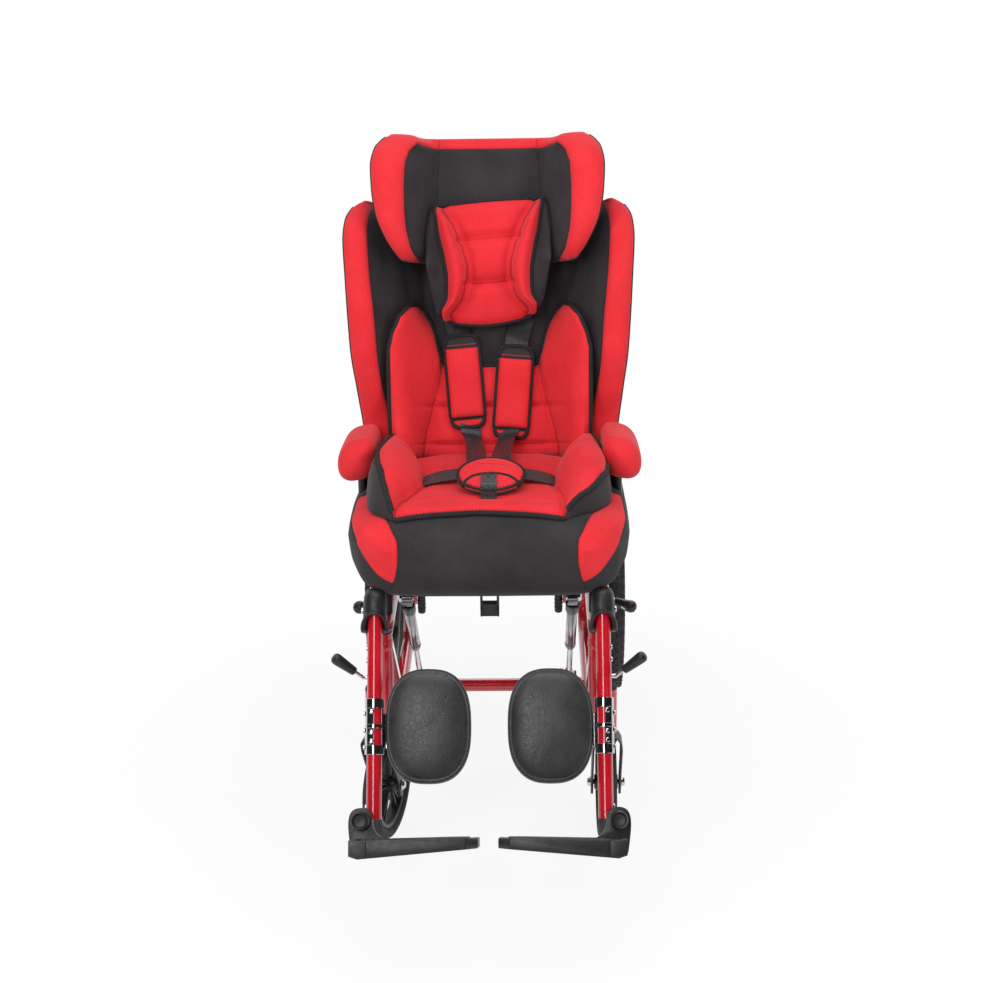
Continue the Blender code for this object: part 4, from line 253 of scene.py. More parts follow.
def bent(points, radius):
    """The path with its inner corners turned into arcs."""
    path = [points[0]]
    for before, corner, after in zip(points, points[1:], points[2:]):
        a = (before - corner).normalized()
        b = (after - corner).normalized()
        half = a.angle(b) / 2
        cut = min(radius * MM / math.tan(half), (before - corner).length * 0.49, (after - corner).length * 0.49)
        bow = cut * math.tan(half)
        middle = corner + (a + b).normalized() * (bow / math.sin(half))
        start = (corner + a * cut - middle).normalized()
        end = (corner + b * cut - middle).normalized()
        path += [middle + start.slerp(end, i / BEND_STEPS) * bow for i in range(BEND_STEPS + 1)]
    return path + [points[-1]]


def sides_along(path):
    """Tangent and two cross directions at each point of a path, without twist."""
    out = []
    across = None
    for i, point in enumerate(path):
        tangent = (path[min(i + 1, len(path) - 1)] - path[max(i - 1, 0)]).normalized()
        if across is None:
            across = Vector((1, 0, 0)) if abs(tangent.x) < 0.9 else Vector((0, 0, 1))
        across = (across - tangent * across.dot(tangent)).normalized()
        out.append((tangent, across, tangent.cross(across)))
    return out


def skin(shape, loops, closed=False):
    """Faces over rings of points; open ends are capped."""
    made_loops = [[shape.verts.new(p) for p in loop] for loop in loops]
    pairs = list(zip(made_loops, made_loops[1:]))
    if closed:
        pairs.append((made_loops[-1], made_loops[0]))
    for a, b in pairs:
        for i in range(len(a)):
            j = (i + 1) % len(a)
            shape.faces.new((a[i], a[j], b[j], b[i]))
    if not closed:
        shape.faces.new(made_loops[0][::-1])
        shape.faces.new(made_loops[-1])


def tube(shape, path, radius, sides=28, flat=1.0):
    """Round or flattened bar along a path; the radius may change from point to point."""
    loops = []
    for i, (point, (_, across, up)) in enumerate(zip(path, sides_along(path))):
        r = (radius[i] if isinstance(radius, (list, tuple)) else radius) * MM
        turn = [2 * math.pi * k / sides for k in range(sides)]
        loops.append([point + across * math.cos(a) * r + up * math.sin(a) * r * flat for a in turn])
    skin(shape, loops)


def lathe(shape, profile, centre, axis, sides=40, ring=False):
    """Turned piece from (radius, height) pairs along an axis; ring closes the profile on itself."""
    axis = Vector(axis).normalized()
    across = axis.orthogonal().normalized()
    up = axis.cross(across)
    loops = []
    for radius, height in profile:
        out = max(radius, 0.02) * MM
        turn = [2 * math.pi * k / sides for k in range(sides)]
        at = centre + axis * height * MM
        loops.append([at + (across * math.cos(a) + up * math.sin(a)) * out for a in turn])
    skin(shape, loops, ring)


def plate(shape, outline, thickness, normal, edge=0.8):
    """Flat plate with eased edges: outline points in space, made thick along the normal."""
    middle = sum(outline, Vector()) / len(outline)
    reach = sum((p - middle).length for p in outline) / len(outline)
    small = 1 - edge * MM / reach
    lift = Vector(normal).normalized() * thickness / 2 * MM
    inset = lift * (1 - 2 * edge / thickness)
    loops = []
    for share, shift in ((small, -lift), (1, -inset), (1, inset), (small, lift)):
        loops.append([middle + (p - middle) * share + shift for p in outline])
    skin(shape, loops)


def oval(centre, e1, e2, a, b, count, power=2.0):
    """Outline of an oval or, with a higher power, of a rounded rectangle."""
    out = []
    for k in range(count):
        c = math.cos(2 * math.pi * (k + 0.5) / count)
        s = math.sin(2 * math.pi * (k + 0.5) / count)
        x = a * math.copysign(abs(c) ** (2 / power), c)
        y = b * math.copysign(abs(s) ** (2 / power), s)
        out.append(centre + (Vector(e1) * x + Vector(e2) * y) * MM)
    return out


def meshed(name, shape):
    """The shape as a mesh."""
    mesh = bpy.data.meshes.new(name)
    shape.to_mesh(mesh)
    shape.free()
    return mesh


def finished(name, mesh, finish, body, stands_for=(), angle=60):
    """A mesh as a finished piece that rides on a body, where one is given."""
    mesh.name = name
    mesh.materials.clear()
    mesh.materials.append(finish)
    mesh.shade_smooth()
    mesh.set_sharp_from_angle(angle=math.radians(angle))
    piece = bpy.data.objects.new(name, mesh)
    scene.collection.objects.link(piece)
    if body:
        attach(piece, body)
    if stands_for:
        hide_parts(*stands_for)
    return piece


def made(name, shape, finish, body, stands_for=(), angle=38):
    """The shape, with its faces joined and turned outwards, as a finished piece."""
    bmesh.ops.remove_doubles(shape, verts=shape.verts, dist=1e-6)
    bmesh.ops.recalc_face_normals(shape, faces=shape.faces)
    return finished(name, meshed(name, shape), finish, body, stands_for, angle=angle)


def worked(mesh, modifier, given=(), **settings):
    """The mesh after one modifier; settings are its values by name, given the inputs of a node tree."""
    holder = bpy.data.objects.new("holder", mesh)
    scene.collection.objects.link(holder)
    step = holder.modifiers.new("step", modifier)
    for key, value in settings.items():
        setattr(step, key, value)
    for key, value in given:
        step[key] = value
    depsgraph = bpy.context.evaluated_depsgraph_get()
    result = bpy.data.meshes.new_from_object(holder.evaluated_get(depsgraph), depsgraph=depsgraph)
    bpy.data.objects.remove(holder)
    return result


X = Vector((1, 0, 0))
Y = Vector((0, 1, 0))
Z = Vector((0, 0, 1))
SIDES = (("left", -1), ("right", 1))
TUBE_R = 11.1
FRAME_X = 160
LOW_RAIL_Z = 130
HIGH_RAIL_Z = 362
REAR_POST_Y = 288
CASTER_X = 179
CASTER_Y = -270
AXLE_Y = 325
AXLE_Z = 203
TILT_Y = 118
TILT_Z = 400
BRAKE_Y = 88
BRAKE_Z = 328
for side_name, side in SIDES:
    x = side * FRAME_X
    caster = spot(side * CASTER_X, CASTER_Y, 0)
    shape = bmesh.new()
    loop = [
        (CASTER_Y, 272), (-120, LOW_RAIL_Z), (REAR_POST_Y, LOW_RAIL_Z), (REAR_POST_Y, HIGH_RAIL_Z),
        (CASTER_Y, HIGH_RAIL_Z),
    ]
    loop = [spot(x, y, z) for y, z in loop]
    tube(shape, bent(loop, 55), TUBE_R)
    tube(shape, [spot(x, CASTER_Y, 377), spot(x, CASTER_Y, 212)], 11.4)
    lathe(shape, [(12.6, 200), (14, 201), (14, 275), (12.6, 276), (0, 276)], caster, Z)
    plate(shape, oval(spot(x, 317, AXLE_Z), Y, Z, 38, 36, 40, 4.0), 8, X)
    bearing = [(92, HIGH_RAIL_Z), (144, HIGH_RAIL_Z), (131, 409), (124, 414), (112, 414), (105, 409)]
    plate(shape, [spot(side * 158, y, z) for y, z in bearing], 5, X)
    for y, z in ((-120, 141), (REAR_POST_Y, AXLE_Z), (CASTER_Y, 352)):
        lathe(shape, [(TUBE_R, -9), (12.3, -6), (12.3, 6), (TUBE_R, 9)], spot(x, y, z), Z, 28)
    made(f"{side_name}_frame_tubes", shape, red_paint, "base", [f"{side_name}_side_frame"])
    shape = bmesh.new()
    tube(shape, [spot(side * 158, TILT_Y, TILT_Z), spot(side * 171, TILT_Y, TILT_Z)], 5, 20)
    tube(shape, [spot(side * 172, BRAKE_Y, BRAKE_Z), spot(side * 185.5, BRAKE_Y, BRAKE_Z)], 5, 20)
    brace = [(-252, 360), (-236, 360), (-2, 134), (-20, 134)]
    plate(shape, [spot(x, y, z) for y, z in brace], 13.6, X)
    plate(shape, oval(spot(side * 168, BRAKE_Y, 342), Y, Z, 15, 27, 32, 6.0), 15, X)
    lathe(shape, [(8.4, 198.6), (12, 199), (12, 201), (8.4, 201.4)], caster, Z, 32, True)
    made(f"{side_name}_frame_fittings", shape, chrome, "base")
    shape = bmesh.new()
    lathe(shape, [(8, 372), (8, 424), (7.4, 427), (5.5, 428.4), (0, 428.5)], spot(x, -200, 0), Z, 28)
    lathe(shape, [(0, 378), (9, 378), (11, 376.5), (11.6, 374), (11.6, 371)], spot(x, CASTER_Y, 0), Z, 28)
    lathe(shape, [(0, 281.5), (11, 281), (13, 279), (13.6, 276), (13.6, 275)], caster, Z, 28)
    made(f"{side_name}_frame_stops", shape, black_rubber, "base")

# Lower cross tube and rear axle: the tube joins the two side frames and carries the gas spring lugs.
# Red coated steel with welded collars; the axle is a plated rod with domed nuts at its ends.
CROSS_Y = 38
GAS_LOW_Y = 20
GAS_LOW_Z = 158
shape = bmesh.new()
tube(shape, [spot(-148.6, CROSS_Y, LOW_RAIL_Z), spot(148.6, CROSS_Y, LOW_RAIL_Z)], TUBE_R)
for side in (-1, 1):
    lug = [(30, LOW_RAIL_Z), (47, LOW_RAIL_Z), (30, 162), (24, 168), (14, 167), (10, 155)]
    plate(shape, [spot(side * 114, y, z) for y, z in lug], 5, X)
    collar = [(TUBE_R, -7), (12.6, -4.5), (12.8, 0), (TUBE_R, 1.2)]
    lathe(shape, collar, spot(side * 147, CROSS_Y, LOW_RAIL_Z), X * side, 32)
made("cross_tube", shape, red_paint, "base", ["lower_cross_tube"])
shape = bmesh.new()
for side in (-1, 1):
    tube(shape, [spot(side * 114, GAS_LOW_Y, GAS_LOW_Z), spot(side * 137, GAS_LOW_Y, GAS_LOW_Z)], 4, 20)
    lathe(shape, [(7, 0), (7, 3), (5.5, 5), (0, 5.4)], spot(side * 134, GAS_LOW_Y, GAS_LOW_Z), X * side, 6)
    nut = [(6, 155), (6, 224.5), (10, 224.5), (10, 229), (9, 231.5), (6, 233.6), (0, 234)]
    lathe(shape, nut, spot(0, AXLE_Y, AXLE_Z), X * side, 32)
    lathe(shape, [(10, 0), (10, 155.6), (6, 155.7)], spot(0, AXLE_Y, AXLE_Z), X * side, 32)
    lathe(shape, [(12, 164.5), (12, 166.5), (9, 168), (0, 168)], spot(0, AXLE_Y, AXLE_Z), X * side, 6)
made("axle_and_pins", shape, chrome, "base", ["rear_axle"])


# Rear wheels: black spoked plastic wheels with solid rubber tyres and a block tread.
# Rim, hub and eight spokes are moulded in one; the tread blocks stand in five rows on the tyre.
def spread_tree():
    """Node tree that sets a small shape on every point, turned to the surface and to its run."""
    tree = bpy.data.node_groups.new("set_on_spots", "GeometryNodeTree")
    for label, kind in (("Spots", "NodeSocketGeometry"), ("Shape", "NodeSocketObject")):
        tree.interface.new_socket(label, in_out="INPUT", socket_type=kind)
    tree.interface.new_socket("Pieces", in_out="OUTPUT", socket_type="NodeSocketGeometry")
    given = tree.nodes.new("NodeGroupInput").outputs
    item = add(tree, "GeometryNodeObjectInfo", given["Shape"])
    turned = None
    for axis, label in (("X", "along"), ("Z", "facing")):
        read = add(tree, "GeometryNodeInputNamedAttribute", label, settings={"data_type": "FLOAT_VECTOR"})
        value = next(s for s in read.outputs if s.enabled)
        pivot = "AUTO" if axis == "X" else "X"
        settings = {"axis": axis, "pivot_axis": pivot}
        turned = add(
            tree, "FunctionNodeAlignRotationToVector", settings=settings, Rotation=turned, Vector=value
        ).outputs[0]
    put = add(
        tree, "GeometryNodeInstanceOnPoints", Points=given["Spots"], Instance=item.outputs["Geometry"],
        Rotation=turned,
    )
    add(tree, "NodeGroupOutput", add(tree, "GeometryNodeRealizeInstances", put.outputs[0]).outputs[0])
    return tree


SPREAD = spread_tree()


def spread(name, item, spots, finish, body):
    """One piece made of the item set on every spot (place, facing, along)."""
    points = bpy.data.meshes.new("spots")
    points.from_pydata([p for p, _, _ in spots], [], [])
    for label, column in (("facing", 1), ("along", 2)):
        layer = points.attributes.new(label, "FLOAT_VECTOR", "POINT")
        layer.data.foreach_set("vector", [c for row in spots for c in row[column]])
    bmesh.ops.recalc_face_normals(item, faces=item.faces)
    sample = bpy.data.objects.new("item", meshed("item", item))
    scene.collection.objects.link(sample)
    socket = next(s.identifier for s in SPREAD.interface.items_tree if s.name == "Shape")
    result = worked(points, "NODES", [(socket, sample)], node_group=SPREAD)
    bpy.data.objects.remove(sample)
    for layer in [a for a in result.attributes if a.name in ("facing", "along")]:
        result.attributes.remove(layer)
    return finished(name, result, finish, body, angle=40)


def tyre_profile(radius, width, height, crown):
    """Rounded tyre section as (radius, height) pairs."""
    half = width / 2
    inner = radius - height
    out = []
    for k in range(25):
        a = math.pi * (k / 24 - 0.5)
        side_share = math.copysign(abs(math.sin(a)) ** 0.8, a)
        rise = math.cos(a) ** crown
        out.append((inner + height * (0.42 + 0.58 * rise), half * side_share))
    return [(inner, -half * 0.62), (inner + height * 0.2, -half * 0.9)] + out + [
        (inner + height * 0.2, half * 0.9),
        (inner, half * 0.62),
    ]


def spoke(shape, near, far, wide, deep, axis, rounding=3.0):
    """Moulded spoke from hub to rim, thinner towards the rim, with rounded flanks."""
    out = (far - near).normalized()
    along = Vector(axis).cross(out)
    loops = []
    for share, size in ((0, 1.25), (0.12, 1.0), (0.5, 0.82), (0.88, 0.78), (1, 1.15)):
        middle = near.lerp(far, share)
        loops.append(oval(middle, along, axis, wide / 2 * size, deep / 2 * (1 - 0.25 * share), 16, rounding))
    skin(shape, loops)


WHEEL_X = 206
TYRE_R = 200.4
TREAD_BLOCKS = 72
TREAD_ROWS = ((0, 0.0, 0.0), (1, 0.5, -1.3), (-1, 0.5, -1.3), (2, 0.0, -5.2), (-2, 0.0, -5.2))
for side_name, side in SIDES:
    hub = spot(side * WHEEL_X, AXLE_Y, AXLE_Z)
    body = f"{side_name}_rear_wheel"
    shape = bmesh.new()
    lathe(shape, tyre_profile(TYRE_R, 44, 33.6, 0.55), hub, X, 112, True)
    for wall in (-1, 1):
        for radius in (176, 189):
            wall_x = wall * (21.3 - (radius - 176) * 0.08)
            bead = [(radius - 1, 0), (radius, 0.9), (radius + 1, 0)]
            lathe(shape, bead, hub + X * wall_x * MM, X * wall, 96, True)
    made(f"{side_name}_rear_tyre_body", shape, black_rubber, body, [f"{side_name}_rear_tyre"])
    shape = bmesh.new()
    block = ((-1.5, 5, 3.4), (1.6, 4.8, 3.2), (2.5, 4.0, 2.5))
    skin(shape, [oval(Vector((0, 0, h * MM)), X, Y, a, b, 12, 5.0) for h, a, b in block])
    blocks = []
    for k in range(TREAD_BLOCKS):
        for row, shift, lift in TREAD_ROWS:
            a = 2 * math.pi * (k + shift) / TREAD_BLOCKS
            out = Y * math.cos(a) + Z * math.sin(a)
            tip = (out + X * row * 0.26).normalized()
            run = (-Y * math.sin(a) + Z * math.cos(a) + X * row * 0.2).normalized()
            blocks.append((hub + out * (TYRE_R + lift) * MM + X * row * 8.6 * MM, tip, run))
    spread(f"{side_name}_rear_tread", shape, blocks, black_rubber, body)
    shape = bmesh.new()
    rim = [
        (151, -14), (153, -16), (164, -16.5), (166.6, -13), (166.6, 13), (164, 16.5), (153, 16), (151, 14),
        (154, 10), (154, -10),
    ]
    lathe(shape, rim, hub, X, 112, True)
    cup = [(7, -31.5), (22, -31.5), (25, -28), (25, 14), (22, 17.5), (15, 18.4), (13, 16.5), (7, 16.5)]
    lathe(shape, cup, hub, X * side, 56, True)
    for k in range(8):
        a = 2 * math.pi * (k + 0.29) / 8
        out = Y * math.cos(a) + Z * math.sin(a) * side
        spoke(shape, hub + out * 20 * MM, hub + out * 154 * MM, 17, 20, X)
        spoke(shape, hub + out * 20 * MM, hub + out * 153 * MM, 6, 26, X, 2.0)
    made(f"{side_name}_rear_wheel_body", shape, black_plastic, body, [f"{side_name}_rear_rim"])

# Casters: small spoked wheels in moulded forks that turn in the housings under the front uprights.
# Black plastic forks and rims, plain rubber tyres, plated axle bolts with locking nuts.
CASTER_R = 88
CASTER_TRAIL = 45
for side_name, side in SIDES:
    turn = Matrix.Rotation(math.radians(-14), 4, "Z") if side < 0 else Matrix.Identity(4)
    stem = spot(side * CASTER_X, CASTER_Y, 0)
    swivel = Matrix.Translation(stem) @ turn @ Matrix.Translation(-stem)
    hub = swivel @ spot(side * CASTER_X, CASTER_Y + CASTER_TRAIL, CASTER_R)
    across = turn.to_3x3() @ X
    shape = bmesh.new()
    lathe(shape, tyre_profile(CASTER_R, 28, 17, 0.5), hub, across, 88, True)
    for wall in (-1, 1):
        lathe(shape, [(78, 0), (79, 0.8), (80, 0)], hub + across * wall * 13.2 * MM, across * wall, 72, True)
    made(
        f"{side_name}_caster_tyre_body", shape, black_rubber, f"{side_name}_caster_wheel",
        [f"{side_name}_caster_tyre"],
    )
    shape = bmesh.new()
    rim = [(63.6, -8), (65, -9.4), (70, -9.6), (70.7, -8), (70.7, 8), (70, 9.6), (65, 9.4), (63.6, 8)]
    lathe(shape, rim, hub, across, 88, True)
    hollow = [(4.6, -18.6), (11, -18.6), (13, -16), (14, -12), (14, 12), (13, 16), (11, 18.6), (4.6, 18.6)]
    lathe(shape, hollow, hub, across, 40, True)
    for k in range(5):
        a = 2 * math.pi * (k + 0.29) / 5
        e1 = across.cross(Z).normalized()
        out = e1 * math.cos(a) + Z * math.sin(a)
        for shift in (-0.11, 0.11):
            lean = e1 * math.cos(a + shift) + Z * math.sin(a + shift)
            spoke(shape, hub + lean * 11 * MM, hub + lean * 66 * MM, 5.5, 13, across)
        spoke(shape, hub + out * 11 * MM, hub + out * 66 * MM, 10, 5, across)
    made(
        f"{side_name}_caster_wheel_body", shape, black_plastic, f"{side_name}_caster_wheel",
        [f"{side_name}_caster_rim"],
    )
    shape = bmesh.new()
    crown = [(0, 183), (9, 183), (14, 184.5), (16, 188), (16, 193), (13, 196)]
    lathe(shape, crown + [(11.2, 197), (11.2, 199.4), (0, 199.6)], stem, Z, 40)
    for edge in (-1, 1):
        loops = []
        for share, back, z, half in (
            (0.45, 0.0, 196, 16), (0.72, 0.02, 193, 17), (0.93, 0.08, 184, 17), (1.0, 0.2, 168, 15.5),
            (1.0, 0.46, 140, 13), (1.0, 0.8, 112, 11.5), (1.0, 1.0, 94, 11), (1.0, 1.03, 82, 10),
            (1.0, 1.03, 74, 7), (1.0, 1.02, 67, 3),
        ):
            middle = stem + Vector((edge * 22 * share, CASTER_TRAIL * back, z)) * MM
            loops.append(oval(middle, X * (2.0 if share > 0.5 else 3.0), Y, 1.0, half, 20, 5.0))
        skin(shape, loops)
    for vert in shape.verts:
        vert.co = swivel @ vert.co
    made(
        f"{side_name}_caster_fork_body", shape, black_plastic, f"{side_name}_caster",
        [f"{side_name}_caster_fork"],
    )
    shape = bmesh.new()
    for edge in (-1, 1):
        lathe(shape, [(4, 0), (4, 24.4), (8.4, 24.5), (8.4, 25.6), (0, 25.7)], hub, across * edge, 24)
        lathe(shape, [(6.8, 25.6), (6.8, 28.5), (6, 29.4), (4, 30.2), (0, 30.3)], hub, across * edge, 6)
    made(f"{side_name}_caster_bolt", shape, chrome, f"{side_name}_caster", [f"{side_name}_caster_axle"])

# Wheel brakes: a plated lever with a black grip in front and a roller that is pressed to the tyre.
# The lever turns on a pin in the bracket on the upper rail.
for side_name, side in SIDES:
    body = f"{side_name}_brake"
    px = side * 181.1
    shape = bmesh.new()
    lathe(shape, [(5.4, -2.5), (13, -2.5), (13, 2.5), (5.4, 2.5)], spot(px, BRAKE_Y, BRAKE_Z), X, 36, True)
    arm = [
        spot(px, 82, 326), spot(px + side * 2, 48, 317), spot(px + side * 20, 4, 300),
        spot(px + side * 40, -16, 295),
    ]
    tube(shape, bent(arm, 20), 3.8, 20)
    roller = spot(side * WHEEL_X, 122.2, 292)
    strut = [spot(px, 92, 322), spot(px + side * 4, 112, 298), roller]
    tube(shape, bent(strut, 18), 4, 20)
    lathe(shape, [(6, -1), (6, 4), (5, 5.5), (0, 5.6)], spot(side * 183.6, BRAKE_Y, BRAKE_Z), X * side, 6)
    made(f"{side_name}_brake_rod", shape, chrome, body, [f"{side_name}_brake_lever"])
    shape = bmesh.new()
    start = spot(px + side * 20, 3, 299.5)
    run = Vector((side * 24, -12, -3)).normalized()
    if side < 0:
        grip = [(0, 6), (5, 6), (5.6, 8), (5.6, 13)]
        grip += [(11.0 * math.sin(a), 24 - 11.2 * math.cos(a)) for a in np.linspace(0.6, 3.0, 16)] + [(0, 35.2)]
    else:
        grip = [
            (0, 2), (7.6, 2), (8.6, 3.4), (8.8, 20), (9.6, 24), (10.4, 29), (10, 34), (7.6, 38), (4, 39.8),
            (0, 40.2),
        ]
    lathe(shape, grip, start, run, 36)
    made(f"{side_name}_brake_grip", shape, black_plastic, body)
    shape = bmesh.new()
    roll = [(4.2, -13.4), (6.6, -13.4), (7.5, -12), (7.5, 12), (6.6, 13.4), (4.2, 13.4)]
    lathe(shape, roll, roller, X, 32, True)
    made(f"{side_name}_brake_roller", shape, black_rubber, body)

# Seat frame: two straight rails and two cross tubes under the seat, with welded pivot plates.
# Red coated steel; the front tongues sit inside the knee joints of the legrests.
RECLINE_Y = 110.152
RECLINE_Z = 475.743
RAIL_X = 168
RAIL_Z = 440
RAIL_END_Y = 136
GAS_TOP_Y = -236
GAS_TOP_Z = 412
TILT_PLATE = [(-26, RAIL_Z), (26, RAIL_Z), (13, 392), (6, 387), (-6, 387), (-13, 392)]
RECLINE_PLATE = [(-22, RAIL_Z), (24, RAIL_Z), (13, 484.7), (6, 489.7), (-6, 489.7), (-13, 484.7)]
shape = bmesh.new()
for side in (-1, 1):
    x = side * RAIL_X
    tube(shape, [spot(x, -278, RAIL_Z), spot(x, RAIL_END_Y, RAIL_Z)], TUBE_R)
    tongue = oval(spot(x, -295.0, RAIL_Z), Y, Z, 29.0, 10, 40, 4.0)
    plate(shape, tongue, 5, X)
    for px, py, lines in ((164.2, TILT_Y, TILT_PLATE), (161.9, RECLINE_Y, RECLINE_PLATE)):
        plate(shape, [spot(side * px, py + y, z) for y, z in lines], 5, X)
    lug = [(-246, RAIL_Z), (-222, RAIL_Z), (-226, 408), (-232, 403), (-240, 403), (-246, 408)]
    plate(shape, [spot(side * 113, y, z) for y, z in lug], 5, X)
for y in (GAS_TOP_Y, 58):
    tube(shape, [spot(-RAIL_X, y, RAIL_Z), spot(RAIL_X, y, RAIL_Z)], 10)
made("seat_frame_tubes", shape, red_paint, "seat", ["seat_frame"])
shape = bmesh.new()
for side in (-1, 1):
    tube(shape, [spot(side * 113, GAS_TOP_Y, GAS_TOP_Z), spot(side * 136, GAS_TOP_Y, GAS_TOP_Z)], 4, 20)
    lathe(shape, [(7, 0), (7, 3), (5, 4.8), (0, 5)], spot(side * 134.5, GAS_TOP_Y, GAS_TOP_Z), X * side, 6)
    lathe(shape, [(7.5, 0), (7.5, 3), (5, 4.8), (0, 5)], spot(side * 166.7, TILT_Y, TILT_Z), X * side, 6)
    plug = [(0, 0), (8, 0), (11, 0.4), (11, 2.4), (8, 2.8), (0, 2.8)]
    lathe(shape, plug, spot(side * RAIL_X, RAIL_END_Y, RAIL_Z), Y, 32)
made("seat_frame_pins", shape, chrome, "seat")

# Seat pan and the hanging bracket: the pan is a ribbed plastic board between cushion and rails.
# The bracket is a small bent plate with a window, screwed under the front cross tube.
shape = bmesh.new()
plate(shape, oval(spot(0, -84.924, 453.8), X, Y, 149, 157, 64, 6.0), 6.6, Z, 1.5)
for x in (-90, -30, 30, 90):
    plate(shape, oval(spot(x, -89, 449.2), X, Y, 4, 132, 24, 6.0), 3.2, Z)
made("seat_board", shape, black_plastic, "seat", ["seat_pan"])
shape = bmesh.new()
for x in (-12.5, 12.5):
    plate(shape, oval(spot(x, -253, 418), Y, Z, 6.8, 28.8, 28, 8.0), 3.6, X)
for z, tall in ((438, 16), (401, 22)):
    plate(shape, oval(spot(0, -253, z), Y, Z, 6.8, tall / 2, 28, 8.0), 28, X)
plate(shape, oval(spot(0, -246.5, 393), X, Z, 13.6, 4, 28, 8.0), 2.4, Y)
made("hanging_bracket", shape, black_plastic, "seat", ["front_bracket"])

# Gas springs: a plated rod from the lower cross tube into a dark plated cylinder hung on the seat frame.
# Each ends in an eye on a pin, with a plastic collar below the upper one; together they hold the tilt.
dark_chrome, nodes, shader, place = material("dark_plating")
coat(nodes, shader, place, (30.0, 2.0), (0.16, 0.16, 0.17), (0.24, 0.24, 0.25), (90.0, 4.0), 0.08, 0.16)
shader.inputs["Metallic"].default_value = 1.0
relief(nodes, shader, noise(nodes, place, 180.0), 0.015, 0.1)
GAS_X = 126
gas_low = spot(0, GAS_LOW_Y, GAS_LOW_Z)
gas_run = (spot(0, GAS_TOP_Y, GAS_TOP_Z) - gas_low).normalized()
for side_name, side in SIDES:
    low = gas_low + X * side * GAS_X * MM
    shape = bmesh.new()
    lathe(shape, [(4.5, -7), (9, -7), (9.5, -6), (9.5, 6), (9, 7), (4.5, 7)], low, X, 32, True)
    lathe(shape, [(6.5, 8), (6.5, 20), (5, 21.5), (5, 300), (0, 300.6)], low, gas_run, 32)
    made(f"{side_name}_gas_spring_rod", shape, chrome, f"{side_name}_gas_rod", [f"{side_name}_gas_rod"])
    shape = bmesh.new()
    barrel = [
        (5.4, 144.3), (7.4, 144.3), (8.5, 146), (8.5, 330), (7.8, 334), (6.5, 336), (6.5, 352), (0, 352.3)
    ]
    lathe(shape, barrel, low, gas_run, 40)
    lathe(shape, [(8.5, 150), (9.0, 151), (9.0, 156), (8.5, 157)], low, gas_run, 40)
    top = low + gas_run * 360.627 * MM
    lathe(shape, [(7.2, -8), (12, -8), (13, -7), (13, 7), (12, 8), (7.2, 8)], top, X, 36, True)
    made(
        f"{side_name}_gas_spring_cylinder", shape, dark_chrome, f"{side_name}_gas_cylinder",
        [f"{side_name}_gas_cylinder"],
    )
    shape = bmesh.new()
    collar = [(8.4, 306), (10, 307), (10.5, 309), (10.5, 334), (10, 336), (8.4, 337)]
    lathe(shape, collar, low, gas_run, 40, True)
    made(f"{side_name}_gas_spring_collar", shape, black_plastic, f"{side_name}_gas_cylinder")

# Legrests: a padded black knee cover over the pivot, a red tube, a release lever on its outer side.
# The cover is moulded with a thick rim at its lower end, from which the tube comes out.
KNEE_Y = -312
LEG_LEAN = math.radians(30)
LEG_DOWN = Vector((0, -math.sin(LEG_LEAN), -math.cos(LEG_LEAN)))
LEG_FORE = Vector((0, -math.cos(LEG_LEAN), math.sin(LEG_LEAN)))
RELEASE_T = 112
RELEASE_F = -9
FOOT_T = 320
FOOT_OUT = 17


def on_leg(x, t, f):
    """Point on a legrest: t down along the tube from the knee, f forward of its axis."""
    return spot(x, KNEE_Y, RAIL_Z) + (LEG_DOWN * t + LEG_FORE * f) * MM


